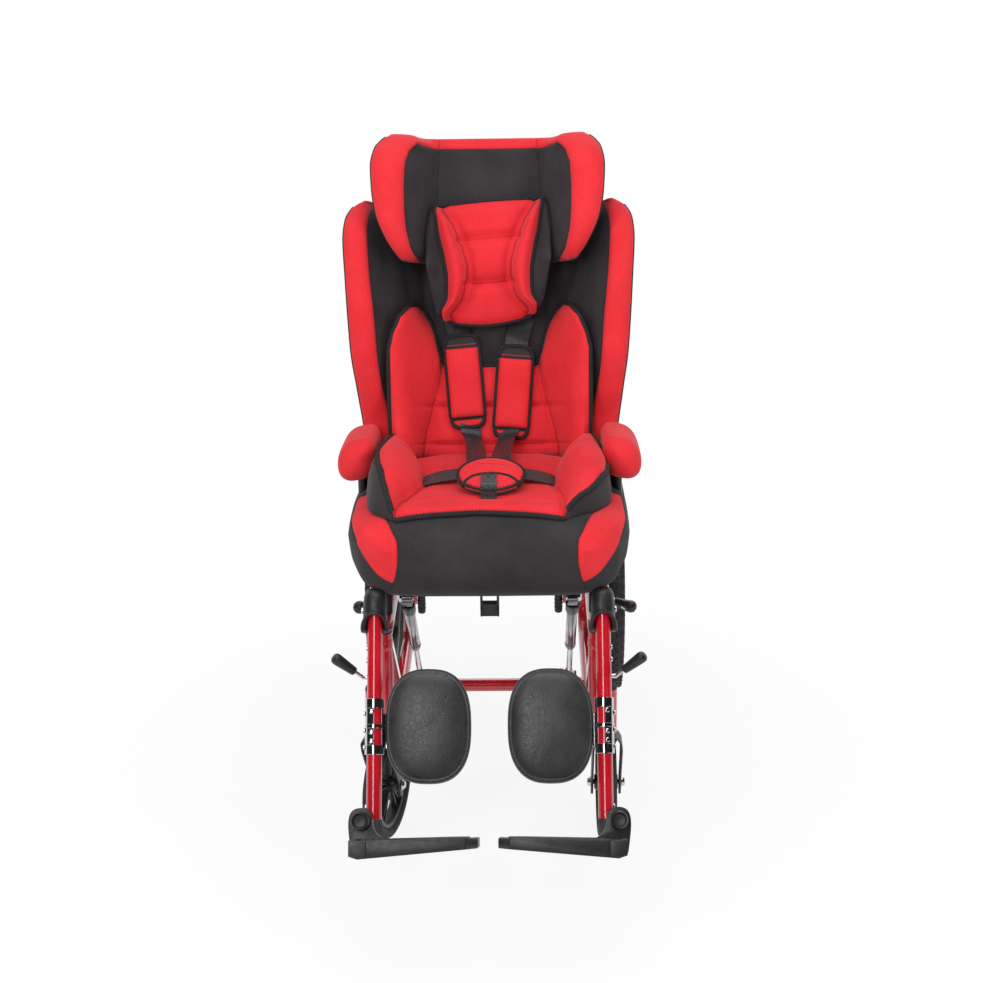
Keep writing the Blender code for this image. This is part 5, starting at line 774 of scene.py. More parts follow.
for side_name, side in SIDES:
    x = side * RAIL_X
    body = f"{side_name}_legrest"
    shape = bmesh.new()
    loops = []
    for t, wide, deep in (
        (-18.4, 6, 5), (-17, 11, 10), (-13, 14.5, 14), (-6, 16.6, 16.6), (4, 17.4, 17.6), (20, 17.6, 17.6),
        (30, 17.9, 17.7), (35.5, 18.6, 18.2), (37.5, 20.3, 19.9), (40, 21.3, 20.9), (43.5, 21.4, 21),
        (46, 20.6, 20.2), (47, 18.4, 18), (46.4, 15.6, 15.3), (42, 13.4, 13.2), (26, 12.2, 12),
    ):
        ring = oval(on_leg(x, t, 0), X, LEG_FORE, wide, deep, 52, 2.3)
        loops.append([])
        for p in ring:
            fore = max((p - on_leg(x, t, 0)).dot(LEG_FORE) / (deep * MM) + 0.12, 0) / 1.12
            loops[-1].append(p - LEG_DOWN * (25 * fore**1.6 * max(t - 4, 0) / 43 * MM))
    skin(shape, loops)
    made(f"{side_name}_knee_cover", shape, black_plastic, body, [f"{side_name}_knee_knuckle"])
    shape = bmesh.new()
    tube(shape, [on_leg(x, 6, 0), on_leg(x, 317.6, 0)], TUBE_R, 40)
    boss = [(0, -11), (10, -11), (11, -10), (11, 12.2), (10, 12.7), (0, 12.7)]
    lathe(shape, boss, on_leg(x + side * FOOT_OUT, FOOT_T, 0), LEG_FORE, 36)
    lathe(shape, [(6, 2), (6, 9), (5, 10.4), (0, 10.6)], on_leg(x, RELEASE_T, RELEASE_F), X * side, 28)
    made(f"{side_name}_leg_tube_body", shape, red_paint, body, [f"{side_name}_leg_tube"])
    shape = bmesh.new()
    for t in (70, 88, 300):
        wall = on_leg(x, t, 0) + X * side * (TUBE_R - 0.3) * MM
        lathe(shape, [(4.2, 0), (4.2, 1.3), (2.8, 2.2), (0, 2.4)], wall, X * side, 20)
    lathe(shape, [(5.4, 0), (5.4, 1.6), (3.6, 3), (0, 3.2)], on_leg(x + side * 17.4, 14, 0), X * side, 24)
    made(f"{side_name}_leg_screws", shape, chrome, body)
    shape = bmesh.new()
    lever = on_leg(x + side * 18, RELEASE_T, RELEASE_F)
    out = Vector((side * 26, -4, 23)).normalized()
    lathe(shape, [(0, -9), (3.2, -9), (3.2, 0), (2.4, 2.2), (0, 2.8)], lever, X * side, 28)
    tube(shape, [lever, lever + out * 30 * MM], 2.8, 20)
    made(f"{side_name}_release_rod", shape, chrome, f"{side_name}_leg_release", [f"{side_name}_release_lever"])
    shape = bmesh.new()
    cone = [
        (0, 15.4), (5, 15.4), (6.2, 16.4), (6.6, 20), (8.2, 41), (8.7, 49), (7.9, 53.4), (5.2, 55.8), (0, 56.2)
    ]
    lathe(shape, cone, lever, out, 36)
    made(f"{side_name}_release_grip", shape, black_plastic, f"{side_name}_leg_release")

# Calf supports: a plated clamp with three bands grips each leg tube and swings with its pad.
# The bands are welded to a bent sleeve and a flat arm; small screws close the clamp and hold the pad.
CALF_BAND_R = 14.1
for side_name, side in SIDES:
    x = side * RAIL_X
    body = f"{side_name}_calf"
    shape = bmesh.new()
    for start, end in ((144, 158), (181, 187), (211, 225)):
        band = [(11.5, start), (13.6, start), (CALF_BAND_R, start + 0.5)]
        band += [(CALF_BAND_R, end - 0.5), (13.6, end), (11.5, end)]
        lathe(shape, band, on_leg(x, 0, 0), LEG_DOWN, 44, True)
    sleeve = []
    for k in range(33):
        a = math.radians(70 + 286 * k / 32)
        out = (LEG_FORE * math.cos(a) - X * side * math.sin(a)) * MM
        wall = ((11.6, 144.6), (13.7, 144.6), (13.7, 224.4), (11.6, 224.4))
        sleeve.append([on_leg(x, t, 0) + out * r for r, t in wall])
    skin(shape, sleeve)
    arm = ((5, 164), (92, 172), (92, 208), (5, 216))
    plate(shape, [on_leg(x - side * px, t, -23.8) for px, t in arm], 3, LEG_FORE)
    web = ((164, -11.6), (164, -24), (216, -24), (216, -11.6))
    plate(shape, [on_leg(x - side * 8, t, f) for t, f in web], 5, X)
    made(f"{side_name}_calf_bracket", shape, chrome, body, [f"{side_name}_calf_clamp"])
    shape = bmesh.new()
    lathe(shape, [(3.6, 0), (3.6, 1.6), (2.6, 2.4), (1.6, 2.5), (1.4, 1.5), (0, 1.5)], Vector(), Z, 12)
    screws = [(on_leg(x + side * 3.4, t, 13.2), LEG_FORE, X) for t in (163, 193, 206)]
    screws += [(on_leg(x + side * 13.8, t, 2), X * side, LEG_DOWN) for t in (165.5, 190, 214.5)]
    screws += [(on_leg(x - side * px, t, -25.2), -LEG_FORE, X) for px in (40, 80) for t in (180, 200)]
    spread(f"{side_name}_calf_screws", shape, screws, chrome, body)


# Calf pads: an oval of foam on a board, screwed to the clamp's arm, that carries the calf.
# Pebbled black vinyl is drawn over the foam and turned under behind; a line is pressed around its edge.
def through(knots, x):
    """Height at x on a smooth curve through (x, height) pairs, level beyond its ends."""
    kx, ky = np.array(knots, float).T
    step = np.diff(kx)
    slope = np.diff(ky) / step
    lean = np.zeros_like(ky)
    a = slope[:-1]
    b = slope[1:]
    same = a * b > 0
    lean[1:-1][same] = (2 * a * b)[same] / (a + b)[same]
    lean[0] = slope[0]
    lean[-1] = slope[-1]
    x = np.clip(x, kx[0], kx[-1])
    i = np.clip(np.searchsorted(kx, x, side="right") - 1, 0, len(step) - 1)
    t = (x - kx[i]) / step[i]
    rise = ky[i] * (1 + 2 * t) * (1 - t) ** 2 + ky[i + 1] * t * t * (3 - 2 * t)
    return rise + step[i] * (lean[i] * t * (1 - t) ** 2 + lean[i + 1] * t * t * (t - 1))


CLOTH_STEPS = 20


def blown(mesh, held, cap):
    """The cover swollen by its filling: a short cloth run, held where it is sewn, moved by at most cap."""
    cover = bpy.data.objects.new("cover", mesh)
    scene.collection.objects.link(cover)
    group = cover.vertex_groups.new(name="held")
    for share in (0.25, 0.5, 0.75, 1.0):
        near = np.nonzero((held > share - 0.25) & (held <= share))[0]
        group.add(near.tolist(), share, "REPLACE")
    cloth = cover.modifiers.new("filling", "CLOTH")
    cloth.settings.quality = 4
    cloth.settings.use_pressure = True
    cloth.settings.uniform_pressure_force = 4.0
    cloth.settings.vertex_group_mass = "held"
    cloth.settings.effector_weights.gravity = 0
    cloth.collision_settings.use_collision = False
    cloth.point_cache.frame_end = CLOTH_STEPS
    for step in range(1, CLOTH_STEPS + 1):
        scene.frame_set(step)
    count = len(mesh.vertices)
    rest = np.zeros(count * 3)
    mesh.vertices.foreach_get("co", rest)
    swollen = np.zeros(count * 3)
    cover.evaluated_get(bpy.context.evaluated_depsgraph_get()).data.vertices.foreach_get("co", swollen)
    move = (swollen - rest).reshape(-1, 3)
    length = np.linalg.norm(move, axis=1, keepdims=True)
    limit = cap * MM
    move *= np.where(length > 0, limit * np.tanh(length / limit) / np.maximum(length, 1e-9), 0)
    cover.modifiers.remove(cloth)
    cover.vertex_groups.clear()
    mesh.vertices.foreach_set("co", (rest.reshape(-1, 3) + move).ravel())
    bpy.data.objects.remove(cover)
    scene.frame_set(1)


def smoother(mesh):
    """The mesh with every face split and rounded."""
    return worked(mesh, "SUBSURF", levels=1, render_levels=1)


black_vinyl, nodes, shader, place = material("pebbled_black_vinyl")
pebble = add(nodes, "ShaderNodeTexVoronoi", place, Scale=640.0, settings={"feature": "SMOOTH_F1"})
coat(nodes, shader, place, (26.0, 4.0), (0.022, 0.021, 0.022), (0.040, 0.039, 0.040), (240.0, 3.0), 0.30, 0.44)
relief(nodes, shader, pebble.outputs["Distance"], 0.45, 0.4)
CALF_HALF = 63
CALF_TALL = 84
CALF_T = 184
for side_name, side in SIDES:
    x = side * RAIL_X - side * (CALF_BAND_R + 1.5 + CALF_HALF)
    middle = on_leg(x, CALF_T, 0)
    rows = []
    for share, f in (
        (0.55, -21.8), (0.86, -21.8), (0.955, -20.5), (0.985, -17), (0.998, -12), (1.0, -7), (0.992, -2.4),
        (0.972, 0.4), (0.945, 1.4), (0.925, 0.9), (0.905, 1.2), (0.87, 3.0), (0.80, 5.2), (0.66, 7.2),
        (0.45, 8.4), (0.22, 8.9), (0.05, 9.0),
    ):
        ring = oval(middle, X, LEG_DOWN, CALF_HALF * share, CALF_TALL * share, 88, 2.6)
        rows.append([p + LEG_FORE * f * MM for p in ring])
    shape = bmesh.new()
    skin(shape, rows)
    bmesh.ops.recalc_face_normals(shape, faces=shape.faces)
    mesh = meshed("pad", shape)
    flat = np.array([v.co for v in mesh.vertices])
    height = (flat - np.array(middle)) @ np.array(LEG_FORE) / MM
    blown(mesh, np.where(height < 1.6, 1.0, 0.0), 3.0)
    finished(
        f"{side_name}_calf_cushion", smoother(mesh), black_vinyl, f"{side_name}_calf",
        [f"{side_name}_calf_pad"],
    )


# Footplates: moulded plates that hinge on a thumb screw in a boss at the foot of each leg tube.
# A thick lug carries the plate; the plate's top is ribbed and its edges are eased.
EASED_ABOVE = 30


def eased(shape, name, finish, body, ease, stands_for):
    """A hard piece with its edges eased."""
    sharp = math.radians(EASED_ABOVE)
    mesh = worked(
        meshed(name, shape), "BEVEL", width=ease * MM, segments=3, angle_limit=sharp, harden_normals=False
    )
    return finished(name, mesh, finish, body, stands_for, angle=EASED_ABOVE)


def softened(node, name, finish, body, ease):
    """A hard piece with its edges eased, from a merged copy of its solid."""
    shape = bmesh.new()
    shape.from_mesh(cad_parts[node].data)
    bmesh.ops.remove_doubles(shape, verts=shape.verts, dist=2e-6)
    bmesh.ops.dissolve_limit(shape, angle_limit=math.radians(1), verts=shape.verts, edges=shape.edges)
    return eased(shape, name, finish, body, ease, [node])


def between(a, b, c, d, t):
    """Point at share t from b to c, on a smooth line that comes from a and goes on to d."""
    return 0.5 * (2 * b + (c - a) * t + (2 * a - 5 * b + 4 * c - d) * t**2 + (3 * b - a - 3 * c + d) * t**3)


KNOB_GRIPS = 28
for side_name, side in SIDES:
    x = side * RAIL_X
    inner = side * 14
    outer = x + side * 23
    shape = bmesh.new()
    loops = []
    for f, cut in ((14.1, 0), (119, 0), (141, 16)):
        end = inner + side * cut
        low = 357 + 10 * cut / 142
        edge = ((outer, 347), (end, 343), (end, low), (outer - side * 12, 371), (outer, 367))
        loops.append([on_leg(px, t, f) for px, t in edge])
    skin(shape, loops)
    bmesh.ops.recalc_face_normals(shape, faces=shape.faces)
    eased(shape, f"{side_name}_foot_board", black_plastic, f"{side_name}_foot", 1.4, [f"{side_name}_footplate"])
    shape = bmesh.new()
    ear = [
        (13, 46), (17.5, 10), (15.6, -9), (7.5, -17.4), (-6, -18), (-15.4, -10), (-17.6, 6), (-22, 16),
        (-30, 23.4), (-42, 27),
    ]
    turned = [Vector((*p, 0)) for p in ear]
    line = []
    for k in range(len(turned) - 1):
        near = [turned[min(max(k + j, 0), len(turned) - 1)] for j in (-1, 0, 1, 2)]
        line += [between(*near, t) for t in np.linspace(0, 1, 7)[:-1]]
    line += [turned[-1], Vector((-42, 30, 0))]
    skin(shape, [[on_leg(x + side * (FOOT_OUT + p.x), FOOT_T + p.y, f) for p in line] for f in (13.1, 26.1)])
    for f, thick, edge in (
        (141.2, 3, ((outer, 346), (outer - side * 24, 346.4), (outer - side * 24, 370), (outer, 367))),
        (78, 126, ((outer, 345), (outer - side * 6, 345), (outer - side * 6, 349), (outer, 349))),
        (
            138.6, 4,
            (
                (outer - side * 4, 345.8), (inner + side * 17, 342.5), (inner + side * 17, 346),
                (outer - side * 4, 349),
            ),
        ),
    ):
        plate(shape, [on_leg(px, t, f) for px, t in edge], thick, LEG_FORE)
    bmesh.ops.recalc_face_normals(shape, faces=shape.faces)
    eased(shape, f"{side_name}_foot_lug", black_plastic, f"{side_name}_foot", 0.9, ())
    shape = bmesh.new()
    for k in range(11):
        f = 26 + 9.5 * k
        rib = []
        for px in (outer - side * 24, inner + side * 14):
            share = (px - inner - side * 6) / (outer - inner - side * 6)
            rib.append(on_leg(px, 343 + 4 * share - 0.1, f))
        tube(shape, [rib[0].lerp(rib[1], i / 6) for i in range(7)], [1.2, 1.6, 1.6, 1.6, 1.6, 1.6, 1.2], 10)
    made(f"{side_name}_foot_ribs", shape, black_plastic, f"{side_name}_foot")
    shape = bmesh.new()
    knob = [
        (6, -5.6), (6, 26.6), (12, 26.7), (13, 27.6), (13.4, 33), (13.5, 37), (13, 40), (11.6, 41.4), (10, 41),
        (8.4, 38.6), (0, 37.4),
    ]
    lathe(shape, knob, on_leg(x + side * FOOT_OUT, FOOT_T, 0), LEG_FORE, 48)
    made(f"{side_name}_foot_knob", shape, black_plastic, f"{side_name}_legrest", [f"{side_name}_footplate_pin"])
    shape = bmesh.new()
    skin(shape, [oval(Vector((0, 0, h * MM)), X, Y, 5.6, r, 8, 4.0) for h, r in ((-0.4, 0.7), (0.35, 0.6))])
    grips = []
    for k in range(KNOB_GRIPS):
        a = 2 * math.pi * k / KNOB_GRIPS
        out = X * math.cos(a) + LEG_DOWN * math.sin(a)
        grips.append((on_leg(x + side * FOOT_OUT, FOOT_T, 33) + out * 13.3 * MM, out, LEG_FORE))
    spread(f"{side_name}_foot_knob_grips", shape, grips, black_plastic, f"{side_name}_legrest")


# Seat cushion: foam under a stretch knit cover, a black front and sides with red cheeks at its corners.
# The panels are sewn together and the cover is turned under the seat board.
def two_tone(name):
    """Stretch knit in red and black: the panel value tells the colour, the seam value how near a seam is;
    painted shade darkens the knit between its yarns and near its seams.
    """
    cloth, nodes, shader, place = material(name)
    panel = add(nodes, "ShaderNodeAttribute", settings={"attribute_name": "panel"}).outputs["Fac"]
    seam = add(nodes, "ShaderNodeAttribute", settings={"attribute_name": "seam"}).outputs["Fac"]
    yarn = add(nodes, "ShaderNodeTexVoronoi", place, Scale=880.0).outputs["Distance"]
    blotch = noise(nodes, place, 16.0, 4.0)
    red = mix(nodes, blotch, (0.74, 0.026, 0.036), (0.83, 0.036, 0.046))
    black = mix(nodes, blotch, (0.030, 0.026, 0.028), (0.045, 0.041, 0.043))
    colour = mix(nodes, ranged(nodes, panel, -0.0003, 0.0003, 0.0, 1.0), black, red)
    # Painted shade: the colour is darkened between the yarns of the knit, from 1.06 at a yarn's middle to 0.80
    # in the gaps.
    shade = ranged(nodes, yarn, 0.0, 0.9, 1.06, 0.80)
    # Painted shade: the colour is darkened near the pressed seams, down to 0.42 on the seam line, where the
    # grooves lie in shade.
    fold = ranged(nodes, seam, 0.0, 0.0016, 0.42, 1.0)
    painted_shade = sum_of(nodes, "MULTIPLY", shade, fold)
    toned = add(nodes, "ShaderNodeVectorMath", colour, settings={"operation": "SCALE"}, Scale=painted_shade)
    nodes.links.new(toned.outputs[0], shader.inputs["Base Color"])
    nodes.links.new(noise(nodes, place, 260.0, 3.0, 0.78, 0.95), shader.inputs["Roughness"])
    shader.inputs["Specular IOR Level"].default_value = 0.22
    shader.inputs["Sheen Weight"].default_value = 0.10
    shader.inputs["Sheen Roughness"].default_value = 0.4
    relief(nodes, shader, yarn, 0.35, 0.35)
    return cloth


knit = two_tone("red_and_black_knit")


def drawn(x, y, z):
    """Points of the drawing as rows of metres."""
    return np.stack([x, y + MIDDLE, z], -1) * MM


def ends(v, first, last):
    """Thickness share that closes a cushion roundly at both ends."""
    low = np.clip(1 - v / first, 0, 1)
    high = np.clip(1 - (1 - v) / last, 0, 1)
    return np.sqrt(1 - low**2) * np.sqrt(1 - high**2)


def off_line(a, b, line):
    """Distance of flat points (a, b) from a line of corners."""
    best = np.full(np.shape(a), 1e9)
    for (a0, b0), (a1, b1) in zip(line, line[1:]):
        da = a1 - a0
        db = b1 - b0
        t = np.clip(((a - a0) * da + (b - b0) * db) / (da * da + db * db), 0, 1)
        best = np.minimum(best, np.hypot(a - a0 - t * da, b - b0 - t * db))
    return best


def within(a, b, corners):
    """Signed distance of flat points from a closed outline, positive inside it."""
    inside = np.zeros(np.shape(a), bool)
    ring = list(corners) + [corners[0]]
    for (a0, b0), (a1, b1) in zip(ring, ring[1:]):
        if b0 != b1:
            inside ^= ((b0 > b) != (b1 > b)) & (a < a0 + (b - b0) * (a1 - a0) / (b1 - b0))
    return np.where(inside, 1, -1) * off_line(a, b, ring)


def upholstered(name, front, back, columns, rows, layout, body, stands_for, cap):
    """Padded cover of two sheets over u (-1..1) and v (0..1): sewn, blown up, pressed in along its seams."""
    t = np.linspace(0, 1, rows + 1)
    u, v = np.meshgrid(np.linspace(-1, 1, columns + 1), t - 0.75 * np.sin(2 * np.pi * t) / (2 * np.pi))
    sheets = [front(u, v), back(u, v)]
    edge = np.zeros(u.shape, bool)
    edge[[0, -1], :] = True
    edge[:, [0, -1]] = True
    sheets[0][edge] = (sheets[0][edge] + sheets[1][edge]) / 2
    index = np.arange(u.size).reshape(u.shape)
    under = index.copy()
    under[~edge] = u.size + np.arange((~edge).sum())
    rims = []
    for sheet in sheets:
        run = np.linalg.norm(np.diff(sheet, axis=1), axis=2)
        rise = np.linalg.norm(np.diff(sheet, axis=0), axis=2)
        left = np.pad(np.cumsum(run, 1), ((0, 0), (1, 0)))
        low = np.pad(np.cumsum(rise, 0), ((1, 0), (0, 0)))
        rims.append(np.minimum.reduce([left, left[:, -1:] - left, low, low[-1:] - low]))
    points = np.concatenate([sheets[0].reshape(-1, 3), sheets[1][~edge]])
    rim = np.concatenate([rims[0].ravel(), -rims[1][~edge]])
    faces = []
    for grid in (index, under):
        quads = np.stack([grid[:-1, :-1], grid[:-1, 1:], grid[1:, 1:], grid[1:, :-1]], -1).reshape(-1, 4)
        faces.append(quads if grid is index else quads[:, ::-1])
    mesh = bpy.data.meshes.new(name)
    mesh.from_pydata(points, [], np.concatenate(faces).tolist())
    shape = bmesh.new()
    shape.from_mesh(mesh)
    if shape.calc_volume(signed=True) < 0:
        bmesh.ops.reverse_faces(shape, faces=shape.faces)
    shape.to_mesh(mesh)
    shape.free()
    mesh.attributes.new("rim", "FLOAT", "POINT").data.foreach_set("value", rim)
    _, grooves = layout(points, rim / MM)
    sewn = np.minimum.reduce([g[0] for g in grooves] + [np.abs(rim) / MM])
    held = np.where(rim < 0, 1.0, np.clip((9 - sewn) / 5, 0, 1))
    blown(mesh, held, cap)
    mesh = smoother(mesh)
    count = len(mesh.vertices)
    points = np.zeros(count * 3)
    mesh.vertices.foreach_get("co", points)
    points = points.reshape(-1, 3)
    normals = np.zeros(count * 3)
    mesh.vertex_normals.foreach_get("vector", normals)
    rim = np.zeros(count)
    mesh.attributes["rim"].data.foreach_get("value", rim)
    panel, grooves = layout(points, rim / MM)
    press = np.zeros(count)
    # The seam value, the distance to the nearest deep groove, darkens the knit there as painted shade.
    seam = np.full(count, 0.05)
    for distance, depth, width in grooves:
        press += depth * np.exp(-((distance / width) ** 2))
        if depth > 0.6:
            seam = np.minimum(seam, distance * MM)
    press *= np.clip(rim / MM / 4, 0, 1)
    points = points - normals.reshape(-1, 3) * press[:, None] * MM
    mesh.vertices.foreach_set("co", points.ravel())
    mesh.attributes.remove(mesh.attributes["rim"])
    for label, values in (("panel", panel * MM), ("seam", seam)):
        mesh.attributes.new(label, "FLOAT", "POINT").data.foreach_set("value", values)
    return finished(name, mesh, knit, body, stands_for, 80)


SEAT_FRONT = -336
SEAT_DEEP = 411
SEAT_HALF = 213
SEAT_ACROSS = [(0, 0), (0.2, 0.35), (0.4, 0.62), (0.6, 0.84), (0.8, 0.97), (1, 1)]
SEAT_CROWN = [(0, -2), (0.3, -1), (0.5, 1.5), (0.7, 9), (0.88, 23), (1, 40)]


def seat_half(y):
    """Half width of the seat."""
    knots = [(0, 0.66), (0.045, 0.82), (0.11, 0.92), (0.22, 0.99), (0.45, 1.0), (0.8, 1.0), (1, 0.95)]
    return SEAT_HALF * through(knots, (y - SEAT_FRONT) / SEAT_DEEP)


def seat_top(y):
    """Height of the seat along its middle, which falls to the rear."""
    return 567 - 0.06 * (y - SEAT_FRONT)


def seat_sheet(upper):
    def sheet(u, v):
        q = np.abs(u)
        y = SEAT_FRONT + SEAT_DEEP * v
        top = seat_top(y)
        low = 457.6 - 20 * through([(-296, 1), (-264, 0)], y)
        tip = top - 40
        x = np.sign(u) * seat_half(y) * through(SEAT_ACROSS, q)
        above = top - through(SEAT_CROWN, q)
        below = low + (tip - low) * through(
            [(0, 0), (0.4, 0.01), (0.62, 0.12), (0.8, 0.34), (0.92, 0.66), (1, 1)], q
        )
        middle = (above + below) / 2
        return drawn(x, y, middle + ((above if upper else below) - middle) * ends(v, 0.13, 0.06))

    return sheet


def seat_surface(x, y):
    """Height of the seat's top under a point."""
    share = np.clip(np.abs(x) / seat_half(y), 0, 1)
    q = np.interp(share, through(SEAT_ACROSS, np.linspace(0, 1, 101)), np.linspace(0, 1, 101))
    along = np.clip((y - SEAT_FRONT) / SEAT_DEEP, 0.001, 0.999)
    return seat_top(y) - through(SEAT_CROWN, q) - 52 * (1 - ends(along, 0.13, 0.06))


def seat_layout(points, rim):
    x, y, z = np.abs(points[:, 0]) / MM, points[:, 1] / MM - MIDDLE, points[:, 2] / MM
    inner = 126 + through([(0, 6), (13, 13), (40, 22), (66, 30), (123, 45), (200, 58)], y - SEAT_FRONT)
    inner = inner + through([(475, 2), (492, 1), (520, -2), (541, -5.5), (552, -2.5), (564, 0)], z)
    lower = through([(120, 470), (141, 475), (160, 486), (181, 508), (200, 537), (210, 556), (216, 562)], x)
    cheek = np.minimum(np.minimum(x - inner, z - lower), -150 - y)
    upright = np.abs(x - inner) + np.clip(y + 300, 0, 40)
    return cheek, [(np.abs(cheek), 1.6, 2.2), (upright, 0.9, 1.8)]


upholstered(
    "seat_pad_cover", seat_sheet(True), seat_sheet(False), 92, 76, seat_layout, "seat", ["seat_cushion"], 7.0,
)


# Arm pads: short padded rests beside the seat, sewn to its cover and held up by a plastic plate.
# Red knit above, a black strip along the outer lower side, and a sewn seam between them.
ARM_FRONT = -156
ARM_X = 209
ARM_Z = 597
for side_name, side in SIDES:

    def arm_sheet(upper, side=side):
        def sheet(u, v):
            y = ARM_FRONT + 164 * v
            share = ends(v, 0.2, 0.2)
            a = np.pi / 2 * (1 - u)
            bulge = 1 + 0.06 * np.sin(np.pi * v)
            square = np.where(u > 0, 0.88, 0.62)
            x = 205 + 29 * share * bulge * np.sign(np.cos(a)) * np.abs(np.cos(a)) ** square
            tall = np.where(upper, 35, -31) * share * np.abs(np.sin(a)) ** square
            z = ARM_Z - 0.10 * (y - ARM_FRONT) - 0.22 * (x - ARM_X) + tall
            return drawn(side * x, y, z)

        return sheet

    def arm_layout(points, rim, side=side):
        x, y, z = points[:, 0] / MM * side, points[:, 1] / MM - MIDDLE, points[:, 2] / MM
        red = (z - (ARM_Z - 0.10 * (y - ARM_FRONT))) * 0.8 - (x - ARM_X) * 0.6 + 30
        return red, [(np.abs(red), 1.5, 2.0)]

    upholstered(
        f"{side_name}_arm_pad", arm_sheet(True), arm_sheet(False), 40, 40, arm_layout, "seat", (), 4.0
    )
    shape = bmesh.new()
    brace = [oval(spot(side * 199, -72, z), X, Y, 7.5, 48, 32, 5.0) for z in (519, 521, 578, 580)]
    skin(shape, brace)
    made(f"{side_name}_arm_plate", shape, black_plastic, "seat")


# Seat insert: a thin quilted pad that lies on the seat, with a stuffed bolster along each side.
# Red knit bound with black stretch tape; the outer sides of the bolsters are black.
piping_black, nodes, shader, place = material("black_bound_edge")
coat(nodes, shader, place, (900.0, 2.0), (0.012, 0.011, 0.012), (0.034, 0.032, 0.034), (300.0, 2.0), 0.6, 0.85)
shader.inputs["Specular IOR Level"].default_value = 0.2
relief(nodes, shader, noise(nodes, place, 1500.0), 0.4, 0.3)
INSERT_FRONT = -299
INSERT_DEEP = 308
INSERT_BOW = [(0, 0), (0.5, 0.35), (1, 1)]
INSERT_HALF = [
    (0, 127), (0.05, 147), (0.12, 166), (0.2, 177), (0.33, 186), (0.45, 188), (0.6, 184), (0.75, 180), (1, 174)
]
INSERT_BIND_LEFT = [
    (0, 0.985), (0.05, 0.93), (0.12, 0.88), (0.2, 0.875), (0.33, 0.89), (0.5, 0.90), (0.75, 0.86), (1, 0.9)
]
INSERT_BIND_RIGHT = [
    (0, 0.985), (0.05, 0.965), (0.12, 0.955), (0.2, 0.95), (0.33, 0.955), (0.5, 0.955), (0.75, 0.9), (1, 0.93)
]
INSERT_VALLEY = [
    (124, -318), (119, -261), (108, -224), (97, -190), (95, -150), (102, -105), (120, -60), (136, 10)
]


def insert_shift(y):
    """The pad lies a little askew: its front end has slid to the left."""
    return -12 * np.clip((-205 - y) / 90, 0, 1) ** 1.5


def insert_bind(x, v):
    """How far out the bound edge runs; the left bolster has rolled in and shows more of its black side."""
    return through(INSERT_HALF, v) * np.where(
        x < 0, through(INSERT_BIND_LEFT, v), through(INSERT_BIND_RIGHT, v)
    )


def insert_height(u, v):
    """Place, rest height and thickness of the seat insert."""
    q = np.abs(u)
    rear = 11 - 30 * through([(0.45, 0), (0.6, 0.5), (0.75, 1)], q)
    fore = -291 - 11 * through(INSERT_BOW, q)
    y = fore + (rear - fore) * v
    half = through(INSERT_HALF, v)
    x = u * half
    rest = seat_surface(x, y) + 0.8
    valley = through([(b, a) for a, b in INSERT_VALLEY], y)
    climb = np.clip((np.abs(x) - valley) / (half - valley), 0, 1)
    rise = through([(0, 12), (0.12, 26), (0.3, 44), (0.55, 55), (0.8, 54), (1, 38)], v)
    hill = rise * through(
        [(0, 0), (0.12, 0.36), (0.3, 0.78), (0.5, 0.98), (0.7, 1.02), (0.86, 0.92), (0.95, 0.66), (1, 0)], climb
    )
    flat = 15 * through([(0, 1), (0.8, 0.95), (0.92, 0.75), (1, 0)], q)
    return x + insert_shift(y), y, rest, (flat + hill) * ends(v, 0.07, 0.07)


def insert_sheet(upper):
    def sheet(u, v):
        x, y, rest, thick = insert_height(u, v)
        return drawn(x, y, rest + thick if upper else rest)

    return sheet


def insert_layout(points, rim):
    y = points[:, 1] / MM - MIDDLE
    across = points[:, 0] / MM - insert_shift(y)
    x = np.abs(across)
    v = np.clip((y - INSERT_FRONT) / INSERT_DEEP, 0, 1)
    bind = insert_bind(across, v)
    red = np.minimum(bind - x, rim - 1.5)
    valley = off_line(x, y, INSERT_VALLEY)
    front = np.abs(y + 252) + np.clip((x - 100) / 6, 0, 40)
    rear = np.abs(y + 118) + np.clip((x - 112) / 6, 0, 40)
    return red, [
        (valley, 4.0, 5.0), (front, 4.2, 5.0), (rear, 3.6, 5.0),
        (np.abs(bind - x) + np.clip(-rim, 0, 9), 1.4, 2.0),
    ]


seat_insert = upholstered(
    "seat_insert_pad", insert_sheet(True), insert_sheet(False), 96, 76, insert_layout, "seat", ["seat_insert"],
    7.0,
)


def skin_tree(piece):
    """Search tree of a piece's skin."""
    return BVHTree.FromPolygons([v.co for v in piece.data.vertices], [p.vertices for p in piece.data.polygons])


def laid_on(tree, places, direction):
    """Where straight lines through the places meet a skin: points and normals."""
    hits = [tree.ray_cast(place - direction * 0.4, direction)[:2] for place in places]
    return [(hit, normal) for hit, normal in hits if hit]


def stitch_bar(profile):
    """One stitch: a short thread, thinner at its ends, from (place, radius) pairs."""
    bar = bmesh.new()
    skin(bar, [oval(Vector((h * MM, 0, 0)), Y, Z, r, r * 0.7, 6) for h, r in profile])
    return bar


TAPE_PROUD = 0.6
STITCH_EVERY = 3.4


